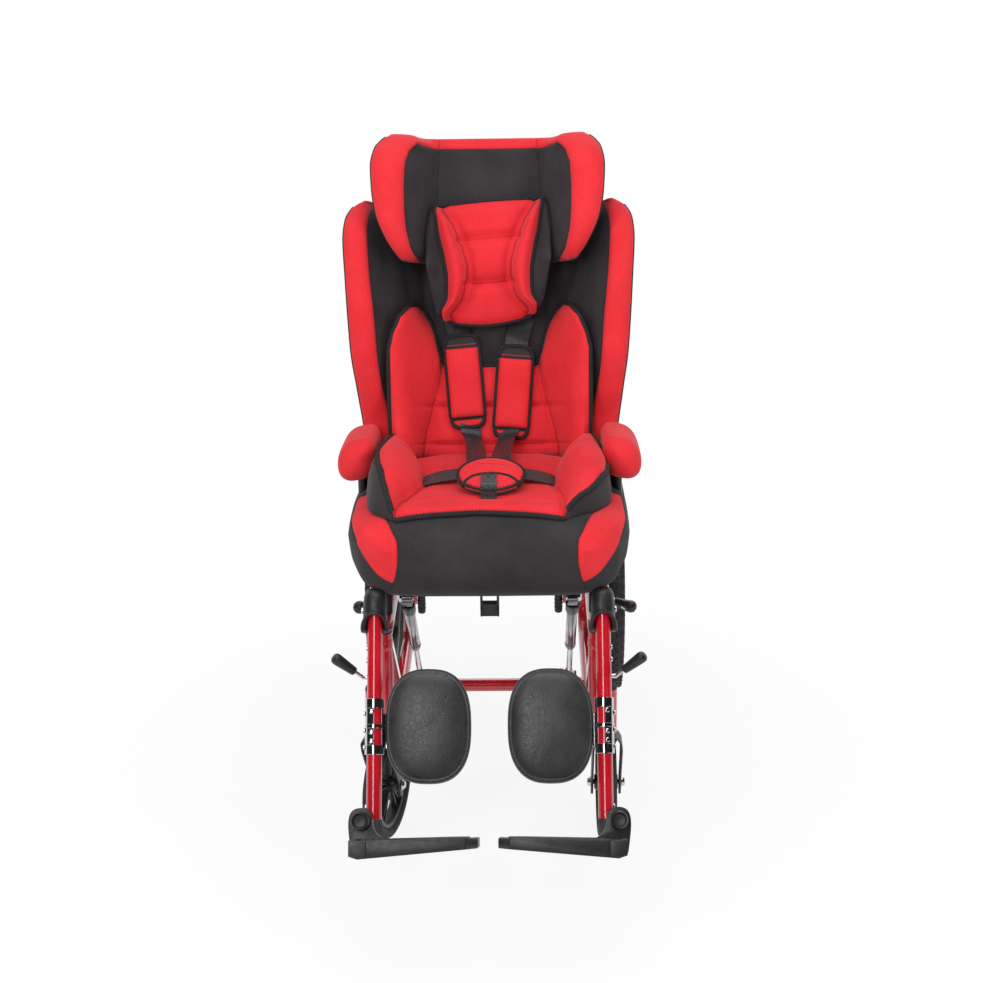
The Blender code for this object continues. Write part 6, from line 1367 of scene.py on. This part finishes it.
def bound(name, piece, lines, direction, body, width):
    """Black stretch tape sewn over a skin along lines, with the overlocked stitches on its inner edge."""
    tree = skin_tree(piece)
    shape = bmesh.new()
    stitches = []
    for line, inward in lines:
        run = laid_on(tree, line, direction)
        path = [hit + normal * TAPE_PROUD * MM for hit, normal in run]
        tube(shape, path, width, 10, 0.75)
        travelled = 0.0
        for (hit, normal), (ahead, _) in zip(run, run[1:]):
            travelled += (ahead - hit).length / MM
            if travelled < STITCH_EVERY:
                continue
            travelled = 0.0
            along = (ahead - hit).normalized()
            across = along.cross(normal) * inward
            stitches.append((hit + across * width * 0.95 * MM + normal * 0.55 * MM, normal, across))
    made(name, shape, piping_black, body, angle=70)
    bar = stitch_bar(((-1.9, 0.25), (-1.4, 0.6), (1.4, 0.6), (1.9, 0.25)))
    spread(name + "_stitches", bar, stitches, piping_black, body)


def fine(line, step):
    """The line of corners with points about every step."""
    out = []
    for a, b in zip(line, line[1:]):
        count = max(1, int(math.dist(a, b) / step))
        out += [tuple(p + (q - p) * i / count for p, q in zip(a, b)) for i in range(count)]
    return out + [line[-1]]


lines = []
for side in (-1, 1):
    edge = []
    for v in np.linspace(0.012, 0.97, 130):
        y = INSERT_FRONT + INSERT_DEEP * v
        edge.append(spot(side * float(insert_bind(side, v)) + insert_shift(y), y, 600))
    lines.append((edge, side))
front = []
for u in np.linspace(-1, 1, 100):
    y = -290.2 - 11 * float(through(INSERT_BOW, abs(u)))
    front.append(spot(u * 124 + insert_shift(y), y, 600))
lines.append((front, -1))
bound("seat_insert_tape", seat_insert, lines, -Z, "seat", 4.2)

# Back frame: one tube bent into two uprights and the push bar behind, with two braces.
# Red coated steel, a ribbed rubber grip on the bar and a release bar under it for the recline.
LEAN = math.radians(18)
BACK_Y = 45
BACK_Z = 560
BACK_UP = Vector((0, math.sin(LEAN), math.cos(LEAN)))
BACK_FORE = Vector((0, -math.cos(LEAN), math.sin(LEAN)))


def on_back(x, s, n):
    """Point on the leaning back: s up along it, n forward of its middle surface."""
    return spot(x, BACK_Y, BACK_Z) + (BACK_UP * s + BACK_FORE * n) * MM


BACK_TUBE_X = 147.095
BACK_TUBE_N = -88
BACK_TUBE_TOP = 441
bar = on_back(0, BACK_TUBE_TOP, BACK_TUBE_N) + Vector((0, 130, 24)) * MM
path = []
for side in (-1, 1):
    run = [on_back(side * BACK_TUBE_X, s, BACK_TUBE_N) for s in (-73, BACK_TUBE_TOP)]
    run.append(bar + X * side * BACK_TUBE_X * MM)
    path += run if side < 0 else run[::-1]
shape = bmesh.new()
tube(shape, bent(path, 36), TUBE_R)
for s in (48, 320):
    tube(shape, [on_back(x, s, BACK_TUBE_N) for x in (-BACK_TUBE_X, BACK_TUBE_X)], TUBE_R * 0.85)
made("back_frame_tubes", shape, red_paint, "back", ["back_frame"])
shape = bmesh.new()
for side in (-1, 1):
    hinge = on_back(side * BACK_TUBE_X, -60, BACK_TUBE_N)
    tube(shape, [hinge, hinge + X * side * 20.2 * MM], 5, 20)
    lathe(shape, [(7, 18.6), (7, 21), (5, 22.4), (0, 22.6)], hinge, X * side, 6)
    pin = bar + Vector((side * BACK_TUBE_X, -62, -10)) * MM
    tube(shape, [pin, pin - X * side * 20 * MM], 4, 20)
made("back_frame_pins", shape, chrome, "back")
shape = bmesh.new()
grip = [(11.6, -103), (15, -103), (16.4, -101), (16.6, -98)]
for k in range(60):
    z = -96 + 3.2 * k
    grip += [(16.6, z), (16.1, z + 0.8), (16.1, z + 1.6), (16.6, z + 2.4)]
grip += [(16.6, 98), (16.4, 101), (15, 103), (11.6, 103)]
lathe(shape, grip, bar, X, 40, True)
made("push_bar_grip", shape, black_rubber, "back", ["push_grip"])
softened("release_bar", "release_bar_body", black_plastic, "release_bar", 0.7)

# Back shell and headrest carrier: a moulded plastic shell screwed to the back frame through its ribs.
# The headrest's carrier slides in two guides behind it.
softened("back_shell", "back_shell_body", black_plastic, "back", 0.8)
softened("headrest_carrier", "headrest_slide", black_plastic, "head", 0.8)
shape = bmesh.new()
lathe(shape, [(4.6, 0), (4.4, 1.8), (2.6, 2.8), (2.2, 1.8), (0, 1.6)], Vector(), Z, 14)
screws = [
    (on_back(x, s, -53.2), -BACK_FORE, X) for x in (-140, -105, -60, 60, 105, 140) for s in (24, 180, 300, 370)
]
spread("back_shell_screws", shape, screws, chrome, "back")


# Back cushion: a deep foam back with side wings, black inside and behind, red along the wing fronts.
# The cover is sewn from panels and edged with a thin black piping.
def leaned(x, s, n):
    """Points of the leaning back as rows of metres."""
    y = BACK_Y + s * math.sin(LEAN) - n * math.cos(LEAN)
    return drawn(x, y, BACK_Z + s * math.cos(LEAN) + n * math.sin(LEAN))


def back_place(points):
    """Across, up and forward places of points on the leaning back."""
    y = points[:, 1] / MM - MIDDLE - BACK_Y
    z = points[:, 2] / MM - BACK_Z
    return points[:, 0] / MM, y * math.sin(LEAN) + z * math.cos(LEAN), z * math.sin(LEAN) - y * math.cos(LEAN)


BACK_LOW = -14
BACK_TALL = 410
BACK_TURN = 0.74
BACK_OUTER = [
    (-14, 194), (0, 201), (40, 206), (100, 213), (140, 218), (205, 223), (275, 227), (331, 229.5), (362, 227),
    (384, 216), (397, 196),
]
BACK_SEAM = [
    (-14, 136), (0, 141), (30, 151), (50, 158), (90, 169), (133, 175), (205, 180), (245, 184), (290, 188),
    (345, 190), (389, 184), (397, 178),
]


def back_face(x, s):
    """How far forward the back's face stands: level in the middle, rising to the wings."""
    inner = through(BACK_SEAM, s)
    depth = 106 * through([(0, 0.3), (40, 0.36), (90, 0.66), (166, 1.0), (325, 1.0), (396, 0.62)], s)
    return 0.92 * depth * np.clip((np.abs(x) - 104) / (inner - 104), 0, 1) ** 1.7


def drawn_in(u, s, share, face, rear, front):
    """One side of a winged cover, drawn in to the middle between face and rear at its two ends."""
    mid_x, mid_n = (face[0] + rear[0]) / 2, (face[1] + rear[1]) / 2
    far_x, far_n = face if front else rear
    x = mid_x + (far_x - mid_x) * np.where(np.abs(u) > 0.9, 1, share)
    return leaned(np.sign(u) * x, s, mid_n + (far_n - mid_n) * share)


def winged(q, s, inner, half, face, turn_at, swell):
    """Face of a winged cover: its own face in the middle, then turned out over the front of the wing."""
    turn = np.pi * np.clip((q - turn_at) / (1 - turn_at), 0, 1)
    wing = inner + (half - inner) * (0.5 - 0.5 * np.cos(turn))
    x = np.where(q < turn_at, inner * q / turn_at, wing)
    return x, np.where(q < turn_at, face(x, s), face(inner, s) + swell * np.sin(turn))


def piping(name, sheet, count, radius, body):
    """Thin bound edge along both outer rims of a cover."""
    shape = bmesh.new()
    for side in (-1, 1):
        rim = sheet(np.full(count, float(side)), np.linspace(0.03, 0.97, count))
        tube(shape, [Vector(p) for p in rim], radius, 8)
    made(name, shape, piping_black, body, angle=60)


def back_sheet(front):
    def sheet(u, v):
        q = np.abs(u)
        s = BACK_LOW + BACK_TALL * v
        half = through(BACK_OUTER, s)
        inner = through(BACK_SEAM, s)
        reach = back_face(inner, s)
        rear_x = half * through([(0, 0), (0.2, 0.42), (0.4, 0.76), (0.6, 0.95), (0.8, 1), (1, 1)], q)
        rear_n = through([(0, -48), (0.2, -48), (0.4, -45), (0.6, -19)], q)
        rear_n = np.where(q > 0.6, -19 + (reach + 19) * (np.clip(q, 0.6, 1) - 0.6) / 0.4, rear_n)
        face = winged(q, s, inner, half, back_face, BACK_TURN, 15)
        return drawn_in(u, s, ends(v, 0.07, 0.09), face, (rear_x, rear_n), front)

    return sheet


def back_layout(points, rim):
    x, s, n = back_place(points)
    x = np.abs(x)
    wing = x - through(BACK_SEAM, s)
    red = np.minimum(wing, rim)
    fold = np.abs(x - 96 + 0.02 * s) + np.clip(-rim, 0, 9)
    return red, [(np.abs(wing) + np.clip(-rim, 0, 9), 1.8, 2.4), (fold, 0.9, 2.0)]


upholstered(
    "back_pad_cover", back_sheet(True), back_sheet(False), 104, 80, back_layout, "back", ["back_cushion"], 7.0,
)
piping("back_pad_piping", back_sheet(True), 90, 1.7, "back")

# Back insert: a quilted pad on the back with two stuffed bolsters that rise to points.
# Red knit, bound all round with black stretch tape.
BACK_INSERT_HALF = 165
BACK_INSERT_LOW = -24
INSERT_TOP = [
    (0, 134), (68, 134), (78, 138), (85, 156), (91, 182), (101, 208), (112, 226), (123, 235), (133, 231),
    (147, 210), (157, 184), (163, 160), (165, 138),
]


def back_insert_sheet(front):
    def sheet(u, v):
        q = np.abs(u)
        x = BACK_INSERT_HALF * u
        top = through(INSERT_TOP, np.abs(x))
        s = BACK_INSERT_LOW + (top - BACK_INSERT_LOW) * v
        spare = 13 * through([(92, 0), (130, 0.5), (165, 1)], np.abs(x))
        rest = back_face(x, s) + 0.8 + spare
        valley = through(
            [(-24, 109), (24, 103), (60, 93), (100, 83), (134, 77), (180, 90), (210, 104), (236, 121)], s
        )
        climb = np.clip((np.abs(x) - valley) / (BACK_INSERT_HALF - valley), 0, 1)
        hill = 40 * through(
            [(0, 0), (0.15, 0.36), (0.35, 0.82), (0.55, 1), (0.75, 0.86), (0.92, 0.42), (1, 0)], climb
        )
        flat = 16 * through([(0, 1), (0.85, 0.9), (0.95, 0.62), (1, 0)], q)
        thick = (flat + hill) * ends(v, 0.07, 0.13)
        return leaned(x, s, rest + thick if front else rest)

    return sheet


def back_insert_layout(points, rim):
    x, s, n = back_place(points)
    x = np.abs(x)
    valley = off_line(x, s, [(109, -24), (103, 24), (93, 60), (83, 100), (77, 134)])
    centre = np.clip((x - 86) / 6, 0, 40)
    folds = [np.abs(s - k) + centre for k in (66, 4)]
    return rim - 1.0, [(valley, 4.0, 5.0), (folds[0], 4.4, 5.5), (folds[1], 4.0, 5.0)]


back_insert = upholstered(
    "back_insert_pad", back_insert_sheet(True), back_insert_sheet(False), 104, 64, back_insert_layout, "back",
    ["back_insert"], 7.0,
)
outline = [(0, 131.4)]
outline += [(x - 0.018 * x, top - 4) for x, top in INSERT_TOP if 0 < x < BACK_INSERT_HALF]
outline += [(160.4, 138), (160.6, 107), (160, 60), (158.4, 14), (158, -20)]
tape = fine(outline, 2.2)
lines = [([on_back(side * x, s, 0) for x, s in tape], -side) for side in (-1, 1)]
bound("back_insert_tape", back_insert, lines, -BACK_FORE, "back", 4.4)


# Headrest: a winged foam head support on a carrier, black inside with a red band along its top and wings.
# The black inner panels are joined by upright seams; a thin black piping edges the wings.
HEAD_LOW = 296
HEAD_TALL = 202
HEAD_TURN = 0.64
HEAD_OUTER = [
    (296, 137), (306, 146), (328, 160), (365, 175), (405, 181), (440, 182.5), (470, 178), (488, 166), (498, 152)
]
HEAD_SEAM = [
    (296, 110), (311, 119.5), (340, 126), (370, 128.5), (410, 129), (445, 127), (465, 121), (481, 108),
    (498, 98),
]


def head_face(x, s):
    """How far forward the headrest's face stands: level in the middle, rising to the wings."""
    inner = through(HEAD_SEAM, s)
    depth = 92 * through([(296, 0.75), (356, 1.0), (437, 1.0), (498, 0.45)], s)
    return 42 + 0.9 * depth * np.clip((np.abs(x) - 78) / (inner - 78), 0, 1) ** 1.5


def head_sheet(front):
    def sheet(u, v):
        q = np.abs(u)
        s = HEAD_LOW + HEAD_TALL * v
        half = through(HEAD_OUTER, s)
        inner = through(HEAD_SEAM, s)
        reach = head_face(inner, s)
        rear_x = through([(0, 0), (0.2, 56), (0.4, 104), (0.6, 150)], q)
        swept = 150 + (half - 150) * np.sin(np.pi / 2 * (np.clip(q, 0.6, 1) - 0.6) / 0.4)
        rear_x = np.where(q > 0.6, swept, np.minimum(rear_x, half))
        rear_n = through([(0, 5), (0.3, 5), (0.45, 9), (0.6, 30)], q)
        rear_n = np.where(q > 0.6, 30 + (reach - 30) * (np.clip(q, 0.6, 1) - 0.6) / 0.4, rear_n)
        face = winged(q, s, inner, half, head_face, HEAD_TURN, 17)
        return drawn_in(u, s, ends(v, 0.12, 0.14), face, (rear_x, rear_n), front)

    return sheet


BLACK_FACE = [
    (0, 479), (88, 479.5), (108, 481), (121, 465), (127, 445), (129, 410), (128.5, 370), (126, 340),
    (119.5, 311), (108, 290), (0, 280),
]


def head_layout(points, rim):
    x, s, n = back_place(points)
    x = np.abs(x)
    black = within(x, s, BLACK_FACE + [(-40, 280), (-40, 479)])
    behind = np.clip(-rim, 0, 40)
    red = np.where(rim > 0, np.minimum(-black, rim), np.maximum(-behind, -40))
    upright = np.abs(x - through([(300, 84), (395, 82), (480, 79)], s)) + behind
    return red, [(np.abs(black) + behind, 1.9, 2.4), (upright, 1.6, 2.2)]


upholstered(
    "headrest_cover", head_sheet(True), head_sheet(False), 96, 52, head_layout, "head", ["headrest"], 6.0
)
piping("headrest_piping", head_sheet(True), 60, 1.6, "head")

# Head pillow: a small loose pillow hung on the headrest, with a crescent bolster on each side.
# Its front is red with two sewn folds, its sides are black, and black tape is sewn between them.
PILLOW_BIND = [(192, 72), (220, 78), (243, 68), (273, 67), (309, 72), (345, 80), (382, 85), (399, 87)]
PILLOW_ASKEW = 0.07
PILLOW_INNER = [
    (192, 66), (216, 58), (235, 41), (264, 31), (293, 31), (329, 40), (362, 55), (385, 70), (399, 76)
]


def pillow_sheet(front):
    def sheet(u, v):
        q = np.abs(u)
        low = 194 + 15 * q**2
        top = 396 - 5 * q**2
        s = low + (top - low) * v
        half = through(
            [(0, 74), (0.07, 84), (0.2, 91), (0.35, 96), (0.5, 100.5), (0.7, 100), (0.9, 95), (1, 88)], v
        )
        x = u * half
        rest = head_face(x, np.maximum(s, HEAD_LOW)) + 2 + 9 * through([(50, 0), (84, 1)], np.abs(x))
        hang = 17 + 0.2 * np.abs(x)
        rest = hang + (rest - hang) * through([(192, 0), (240, 0.5), (290, 1)], s)
        bind = through(PILLOW_BIND, s)
        inner = through(PILLOW_INNER, s)
        climb = np.clip((np.abs(x) - inner) / np.maximum(bind - inner, 2), 0, 1)
        hill = np.minimum(1, (bind - inner) / 30) * 27 * np.sin(np.pi * climb) ** 0.8
        base = 19 + 5 * climb
        side = np.sqrt(1 - np.clip((np.abs(x) - bind) / np.maximum(half - bind, 2), 0, 1) ** 2)
        thick = (base + hill) * side * ends(v, 0.1, 0.1)
        return leaned(x, s + PILLOW_ASKEW * x, rest + thick if front else rest)

    return sheet


def pillow_layout(points, rim):
    x, s, n = back_place(points)
    s = s - PILLOW_ASKEW * x
    x = np.abs(x)
    bind = through(PILLOW_BIND, s)
    inner = off_line(x, s, [(b, a) for a, b in PILLOW_INNER])
    reach = np.clip((x - through(PILLOW_INNER, s) + 4) / 1.2, 0, 40)
    behind = np.clip(-rim, 0, 30)
    folds = [np.abs(s - k) + reach + behind for k in (334, 262)]
    red = np.minimum(bind - x, rim - 1.0)
    return red, [
        (inner + behind, 5.0, 7.0), (folds[0], 7.0, 8.5), (folds[1], 7.0, 8.5),
        (np.abs(bind - x) + behind, 1.2, 2.0),
    ]


pillow = upholstered(
    "head_pillow_pad", pillow_sheet(True), pillow_sheet(False), 76, 72, pillow_layout, "head", ["head_pillow"],
    6.0,
)
lines = []
for side in (-1, 1):
    run = [(float(through(PILLOW_BIND, s)), s) for s in np.linspace(204, 390, 80)]
    lines.append(([on_back(side * x, s + PILLOW_ASKEW * side * x, 0) for x, s in run], -side))
top = [on_back(x, 393 - 4 * (x / 88) ** 2 + PILLOW_ASKEW * x, 0) for x in np.linspace(-86, 86, 70)]
low = [on_back(x, 196.5 + 15 * (x / 82) ** 2 + PILLOW_ASKEW * x, 0) for x in np.linspace(-76, 76, 70)]
lines += [(top, -1), (low, 1)]
bound("head_pillow_tape", pillow, lines, -BACK_FORE, "head", 3.4)

# Harness straps: woven black webbing from under the pillow through the shoulder pads to the buckle.
# The lower lengths bend where the back meets the seat, and two short lap straps come from the seat's sides.
webbing_black, nodes, shader, place = material("black_webbing")
run = add(nodes, "ShaderNodeAttribute", settings={"attribute_name": "run"}).outputs["Fac"]
across = add(nodes, "ShaderNodeAttribute", settings={"attribute_name": "across"}).outputs["Fac"]
slant = sum_of(nodes, "MULTIPLY_ADD", sum_of(nodes, "ABSOLUTE", across), 700.0, run)
weave = sum_of(nodes, "SINE", sum_of(nodes, "MULTIPLY_ADD", run, 1900.0, slant))
rows = sum_of(nodes, "SINE", sum_of(nodes, "MULTIPLY", across, 2600.0))
height = sum_of(nodes, "ADD", weave, rows)
share = ranged(nodes, height, -2.0, 2.0, 0.0, 1.0)
# Painted shade and light: the webbing's colour is darker in the hollows of its weave and lighter on its raised
# threads.
nodes.links.new(mix(nodes, share, (0.010, 0.010, 0.012), (0.050, 0.050, 0.055)), shader.inputs["Base Color"])
nodes.links.new(noise(nodes, place, 160.0, 2.0, 0.25, 0.40), shader.inputs["Roughness"])
relief(nodes, shader, height, 0.4, 0.2)


def flowing(knots, steps=10):
    """Smooth line through knots of equal length rows."""
    rows = np.array(knots, float)
    rows = np.vstack([2 * rows[0] - rows[1], rows, 2 * rows[-1] - rows[-2]])
    out = []
    for k in range(1, len(rows) - 2):
        out += [between(*rows[k - 1 : k + 3], t) for t in np.arange(steps) / steps]
    return np.array(out + [rows[-2]])


def webbing(name, knots, width, thick, body, stands_for=()):
    """One strap of woven webbing: knots are (place, way it faces) along its middle line."""
    course = flowing([(*place, *face) for place, face in knots])
    middle = course[:, :3]
    tangent = np.gradient(middle, axis=0)
    tangent /= np.linalg.norm(tangent, axis=1)[:, None]
    side = np.cross(tangent, course[:, 3:])
    side /= np.linalg.norm(side, axis=1)[:, None]
    face = np.cross(side, tangent)
    run = np.pad(np.cumsum(np.linalg.norm(np.diff(middle, axis=0), axis=1)), (1, 0))
    section = [(-1, 0), (-0.97, 0.45), (-0.8, 0.5), (-0.4, 0.56), (0, 0.58)]
    section += [(0.4, 0.56), (0.8, 0.5), (0.97, 0.45), (1, 0)]
    section += [(0.97, -0.45), (0.4, -0.5), (-0.4, -0.5), (-0.97, -0.45)]
    shape = bmesh.new()
    along_layer = shape.verts.layers.float.new("run")
    across_layer = shape.verts.layers.float.new("across")
    loops = []
    for m, s, f in zip(middle, side, face):
        loops.append([Vector(m + s * a * width / 2 * MM + f * h * thick * MM) for a, h in section])
    skin(shape, loops)
    shape.verts.ensure_lookup_table()
    for k, vert in enumerate(shape.verts):
        vert[along_layer] = run[k // len(section)]
        vert[across_layer] = section[k % len(section)][0] * width / 2 * MM
    return made(name, shape, webbing_black, body, stands_for, 50)


WEB_THICK = 2.0
FORE = tuple(BACK_FORE)
PADS = {"left": (-42, 106, 4.6), "right": (37, 88, -4.4)}
for side_name, side in SIDES:
    middle, height, tilt = PADS[side_name]
    swing = math.tan(math.radians(tilt))
    top = [
        (214, 3.4, 5), (199, 4.6, 3), (185, 8.4, 1.5), (173, 13.2, 0), (161, 16.4, 0), (146, 16.6, 0),
        (110, 16.6, 0), (60, 16.6, 0),
    ]
    knots = [(on_back(middle - (s - height) * swing + side * shift * 1.6, s, n), FORE) for s, n, shift in top]
    webbing(f"{side_name}_shoulder_web", knots, 38, WEB_THICK, "back", [f"{side_name}_shoulder_strap"])
    low = middle + (height - 40) * swing
    lane = [(low, 74, 20.0), (low * 0.95, 46, 21.5), (low * 0.86, 20, 27)]
    knots = [
        (on_back(*lane[0]), FORE), (on_back(*lane[1]), FORE), (on_back(*lane[2]), (side * -0.25, -0.9, 0.42))
    ]
    for x, y, z in ((0.74, -6, 588), (0.62, -64, 594), (0.54, -126, 599), (0.5, -166, 597)):
        knots.append((spot(low * x, y, z), (side * -0.5 * x, 0.1 - 0.7 * (y > -20), 0.9)))
    piece = webbing(f"{side_name}_lower_web", knots, 33, WEB_THICK, None, ["lower_harness"] if side < 0 else ())
    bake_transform(piece, "seat", "back", tuple(spot(side * 16, -80, 595)), tuple(on_back(low, 40, 22)))
    knots = [
        (spot(side * x, y, z), (side * -0.12, -0.25, 1))
        for x, y, z in ((20, -172, 591), (46, -173, 589), (72, -172, 585))
    ]
    knots += [
        (spot(side * 90, -171, 580), (side * -0.2, -0.2, 1)),
        (spot(side * 106, -170, 574), (side * -0.3, -0.1, 1)),
    ]
    webbing(f"{side_name}_lap_web", knots, 30, WEB_THICK, "seat")


# Shoulder pads: a flat bound pad on each strap, with a stuffed red sleeve closed over it.
# Red knit edged with black stretch tape; the pads hang a little askew.
PAD_BACK = 18.6


def shoulder_pad(side_name):
    """One shoulder pad with its tape, at its own place and tilt."""
    middle, height, tilt = PADS[side_name]
    lean = math.radians(tilt)

    def turned(a, b):
        x = middle + a * math.cos(lean) - b * math.sin(lean)
        return x, height + a * math.sin(lean) + b * math.cos(lean)

    def sheet(front):
        def grid(u, v):
            w = 2 * v - 1
            a = 30 * u * np.sqrt(1 - 0.22 * w**8)
            b = 77 * w * np.sqrt(1 - 0.10 * u**4)
            sleeve = through([(0, 1), (46, 1), (54, 0.75), (57, 0.25), (60, 0)], np.abs(b + 2))
            round_over = np.sqrt(1 - np.clip(np.abs(a) / 26.5, 0, 1) ** 4)
            thick = 5 * np.sqrt(1 - np.abs(u) ** 6) + 10 * sleeve * round_over
            thick = thick * ends(v, 0.03, 0.03)
            return leaned(*turned(a, b), PAD_BACK + thick if front else PAD_BACK + 0 * thick)

        return grid

    def layout(points, rim):
        x, s, n = back_place(points)
        a = (x - middle) * math.cos(lean) + (s - height) * math.sin(lean)
        b = (s - height) * math.cos(lean) - (x - middle) * math.sin(lean)
        band = np.abs(np.abs(b + 2) - 58.5) - 2.6
        red = np.minimum(np.minimum(rim - 4.6, band), 60 - b)
        return red, [(np.abs(np.abs(b + 2) - 57.5) + np.clip(-rim, 0, 9), 0.9, 1.6)]

    pad = upholstered(
        f"{side_name}_shoulder_sleeve", sheet(True), sheet(False), 32, 64, layout, "back",
        [f"{side_name}_shoulder_pad"], 4.0,
    )
    ring = []
    for t in np.linspace(0, 2 * math.pi, 150):
        a = 27.6 * math.copysign(abs(math.cos(t)) ** 0.4, math.cos(t))
        b = 74.4 * math.copysign(abs(math.sin(t)) ** 0.22, math.sin(t))
        ring.append((a, b))
    places = [on_back(*turned(a, b), 0) for a, b in fine(ring, 2.0)]
    bound(f"{side_name}_shoulder_tape", pad, [(places, -1)], -BACK_FORE, "back", 2.9)


for side_name, _ in SIDES:
    shoulder_pad(side_name)

# Buckle: a moulded buckle with a red press button, on a strap that comes up through the seat.
# A round bound pad lies over it; the strap under its arch is held by a sewn box.
softened("buckle", "buckle_body", black_plastic, "seat", 1.6)
shape = bmesh.new()
plate(shape, oval(spot(0, -169.5, 593.5), X, Y, 9, 5.5, 28, 3.5), 4, Z, 1.2)
made("buckle_button", shape, red_paint, "seat")
shape = bmesh.new()
plate(shape, oval(spot(0, -160, 585), X, Y, 41, 8, 40, 5.0), 3.4, Z)
made("buckle_tongue", shape, chrome, "seat")
PAD_TILT = math.radians(13)
PAD_AT = (4, -205, 594)
DISC_HALF = 52
DISC_DEEP = 46


def disc_place(points):
    """Across, fore and high places of points on the tilted buckle pad."""
    x = points[:, 0] / MM - PAD_AT[0]
    y = points[:, 1] / MM - MIDDLE - PAD_AT[1]
    z = points[:, 2] / MM - PAD_AT[2]
    return x, y * math.cos(PAD_TILT) + z * math.sin(PAD_TILT), z * math.cos(PAD_TILT) - y * math.sin(PAD_TILT)


def on_disc(x, b, h):
    """Points of the tilted buckle pad as rows of metres."""
    y = b * np.cos(PAD_TILT) - h * np.sin(PAD_TILT)
    z = b * np.sin(PAD_TILT) + h * np.cos(PAD_TILT)
    return drawn(PAD_AT[0] + x, PAD_AT[1] + y, PAD_AT[2] + z)


def disc_sheet(upper):
    def sheet(u, v):
        w = 2 * v - 1
        x = DISC_HALF * u * np.sqrt(1 - w**2 / 2)
        b = DISC_DEEP * w * np.sqrt(1 - u**2 / 2)
        far = np.clip(np.hypot(x / DISC_HALF, b / DISC_DEEP), 0, 1)
        thick = 19 * np.sqrt(1 - far**3)
        return on_disc(x, b, thick * 0.85 if upper else -thick * 0.3)

    return sheet


ARCH = [(-46, -29), (-38, -20), (-26, -13.5), (-12, -10), (0, -9), (12, -10), (26, -13.5), (38, -20), (46, -29)]


def disc_layout(points, rim):
    x, b, h = disc_place(points)
    arch = off_line(x, b, ARCH) + np.clip(-rim, 0, 9)
    return rim - 3.2, [
        (arch, 3.2, 3.6),
        (np.abs(b - 16 + 0.1 * x) + np.clip(np.abs(x - 6) - 26, 0, 40) + np.clip(-rim, 0, 9), 1.2, 3.0),
    ]


disc = upholstered(
    "buckle_round_pad", disc_sheet(True), disc_sheet(False), 48, 48, disc_layout, "seat", ["buckle_pad"], 4.0,
)
disc_up = Vector((0, -math.sin(PAD_TILT), math.cos(PAD_TILT)))
ring = [(49.6 * math.cos(t), 43.6 * math.sin(t)) for t in np.linspace(0, 2 * math.pi, 120)]
lines = [
    ([Vector(on_disc(*p, 0)) for p in fine(ring, 2.0)], -1),
    ([Vector(on_disc(*p, 0)) for p in fine(ARCH, 2.0)], -1),
]
bound("buckle_pad_tape", disc, lines, -disc_up, "seat", 2.6)
tree = skin_tree(disc)
course = laid_on(tree, [Vector(on_disc(-3, b, 0)) for b in (-9, -17, -25, -33, -40)], -disc_up)
knots = [(hit + normal * 1.4 * MM, tuple(normal)) for hit, normal in course]
knots += [(spot(1, -250, 580), (0, -0.8, 0.5)), (spot(1, -252, 572), (0, -1, 0.1))]
webbing("crotch_web", knots, 24, WEB_THICK, "seat", ["crotch_strap"])
box = [(-8, -15), (8, -15), (8, -33), (-8, -33), (-8, -15), (8, -33), (8, -15), (-8, -33)]
seams = laid_on(tree, [Vector(on_disc(a - 3, b, 0)) for a, b in fine(box, 2.6)], -disc_up)
bar = stitch_bar(((-1.1, 0.2), (-0.8, 0.45), (0.8, 0.45), (1.1, 0.2)))
spots = [
    (hit + normal * 2.7 * MM, normal, (ahead - hit).normalized())
    for (hit, normal), (ahead, _) in zip(seams, seams[1:])
]
spread("crotch_web_stitches", bar, spots, piping_black, "seat")

# Release cables: one from each gas spring's valve, under the seat, to the recline hinge.
# Black plastic over a steel wire, with a moulded barrel that is pressed on at the front end.
CABLE_WIDE = 5
for side_name, side in SIDES:
    bx = side * 104.2
    route = [(bx, GAS_TOP_Y, 416.9), (bx - side * 14, -238, 417.9), (side * 52, -222, 415.9)]
    route += [(side * 18, -184, 426.9), (side * 14, -116, 430.9), (side * 30, 18, 420.9)]
    route += [(side * 70, 68, 420.9), (side * 110, 94.2, 440.9), (side * 131.2, RECLINE_Y, RECLINE_Z)]
    path = [Vector(p) for p in flowing([tuple(spot(*p)) for p in route], 18)]
    shape = bmesh.new()
    tube(shape, path, CABLE_WIDE / 2, 14)
    cable = made(f"{side_name}_cable", shape, black_rubber, "seat", [f"{side_name}_release_cable"])
    shape = bmesh.new()
    barrel = [(0, 387.2), (4.6, 387.2), (5.8, 388.6), (6, 392), (6, 418), (5.6, 421), (4.4, 422.6), (0, 422.8)]
    foot = spot(bx, GAS_TOP_Y, 0)
    lathe(shape, barrel, foot, Z, 32)
    for z in (396, 402, 408):
        lathe(shape, [(5.9, z - 1), (6.5, z - 0.4), (6.5, z + 0.4), (5.9, z + 1)], foot, Z, 32)
    end = made(f"{side_name}_cable_barrel", shape, black_plastic, "seat")
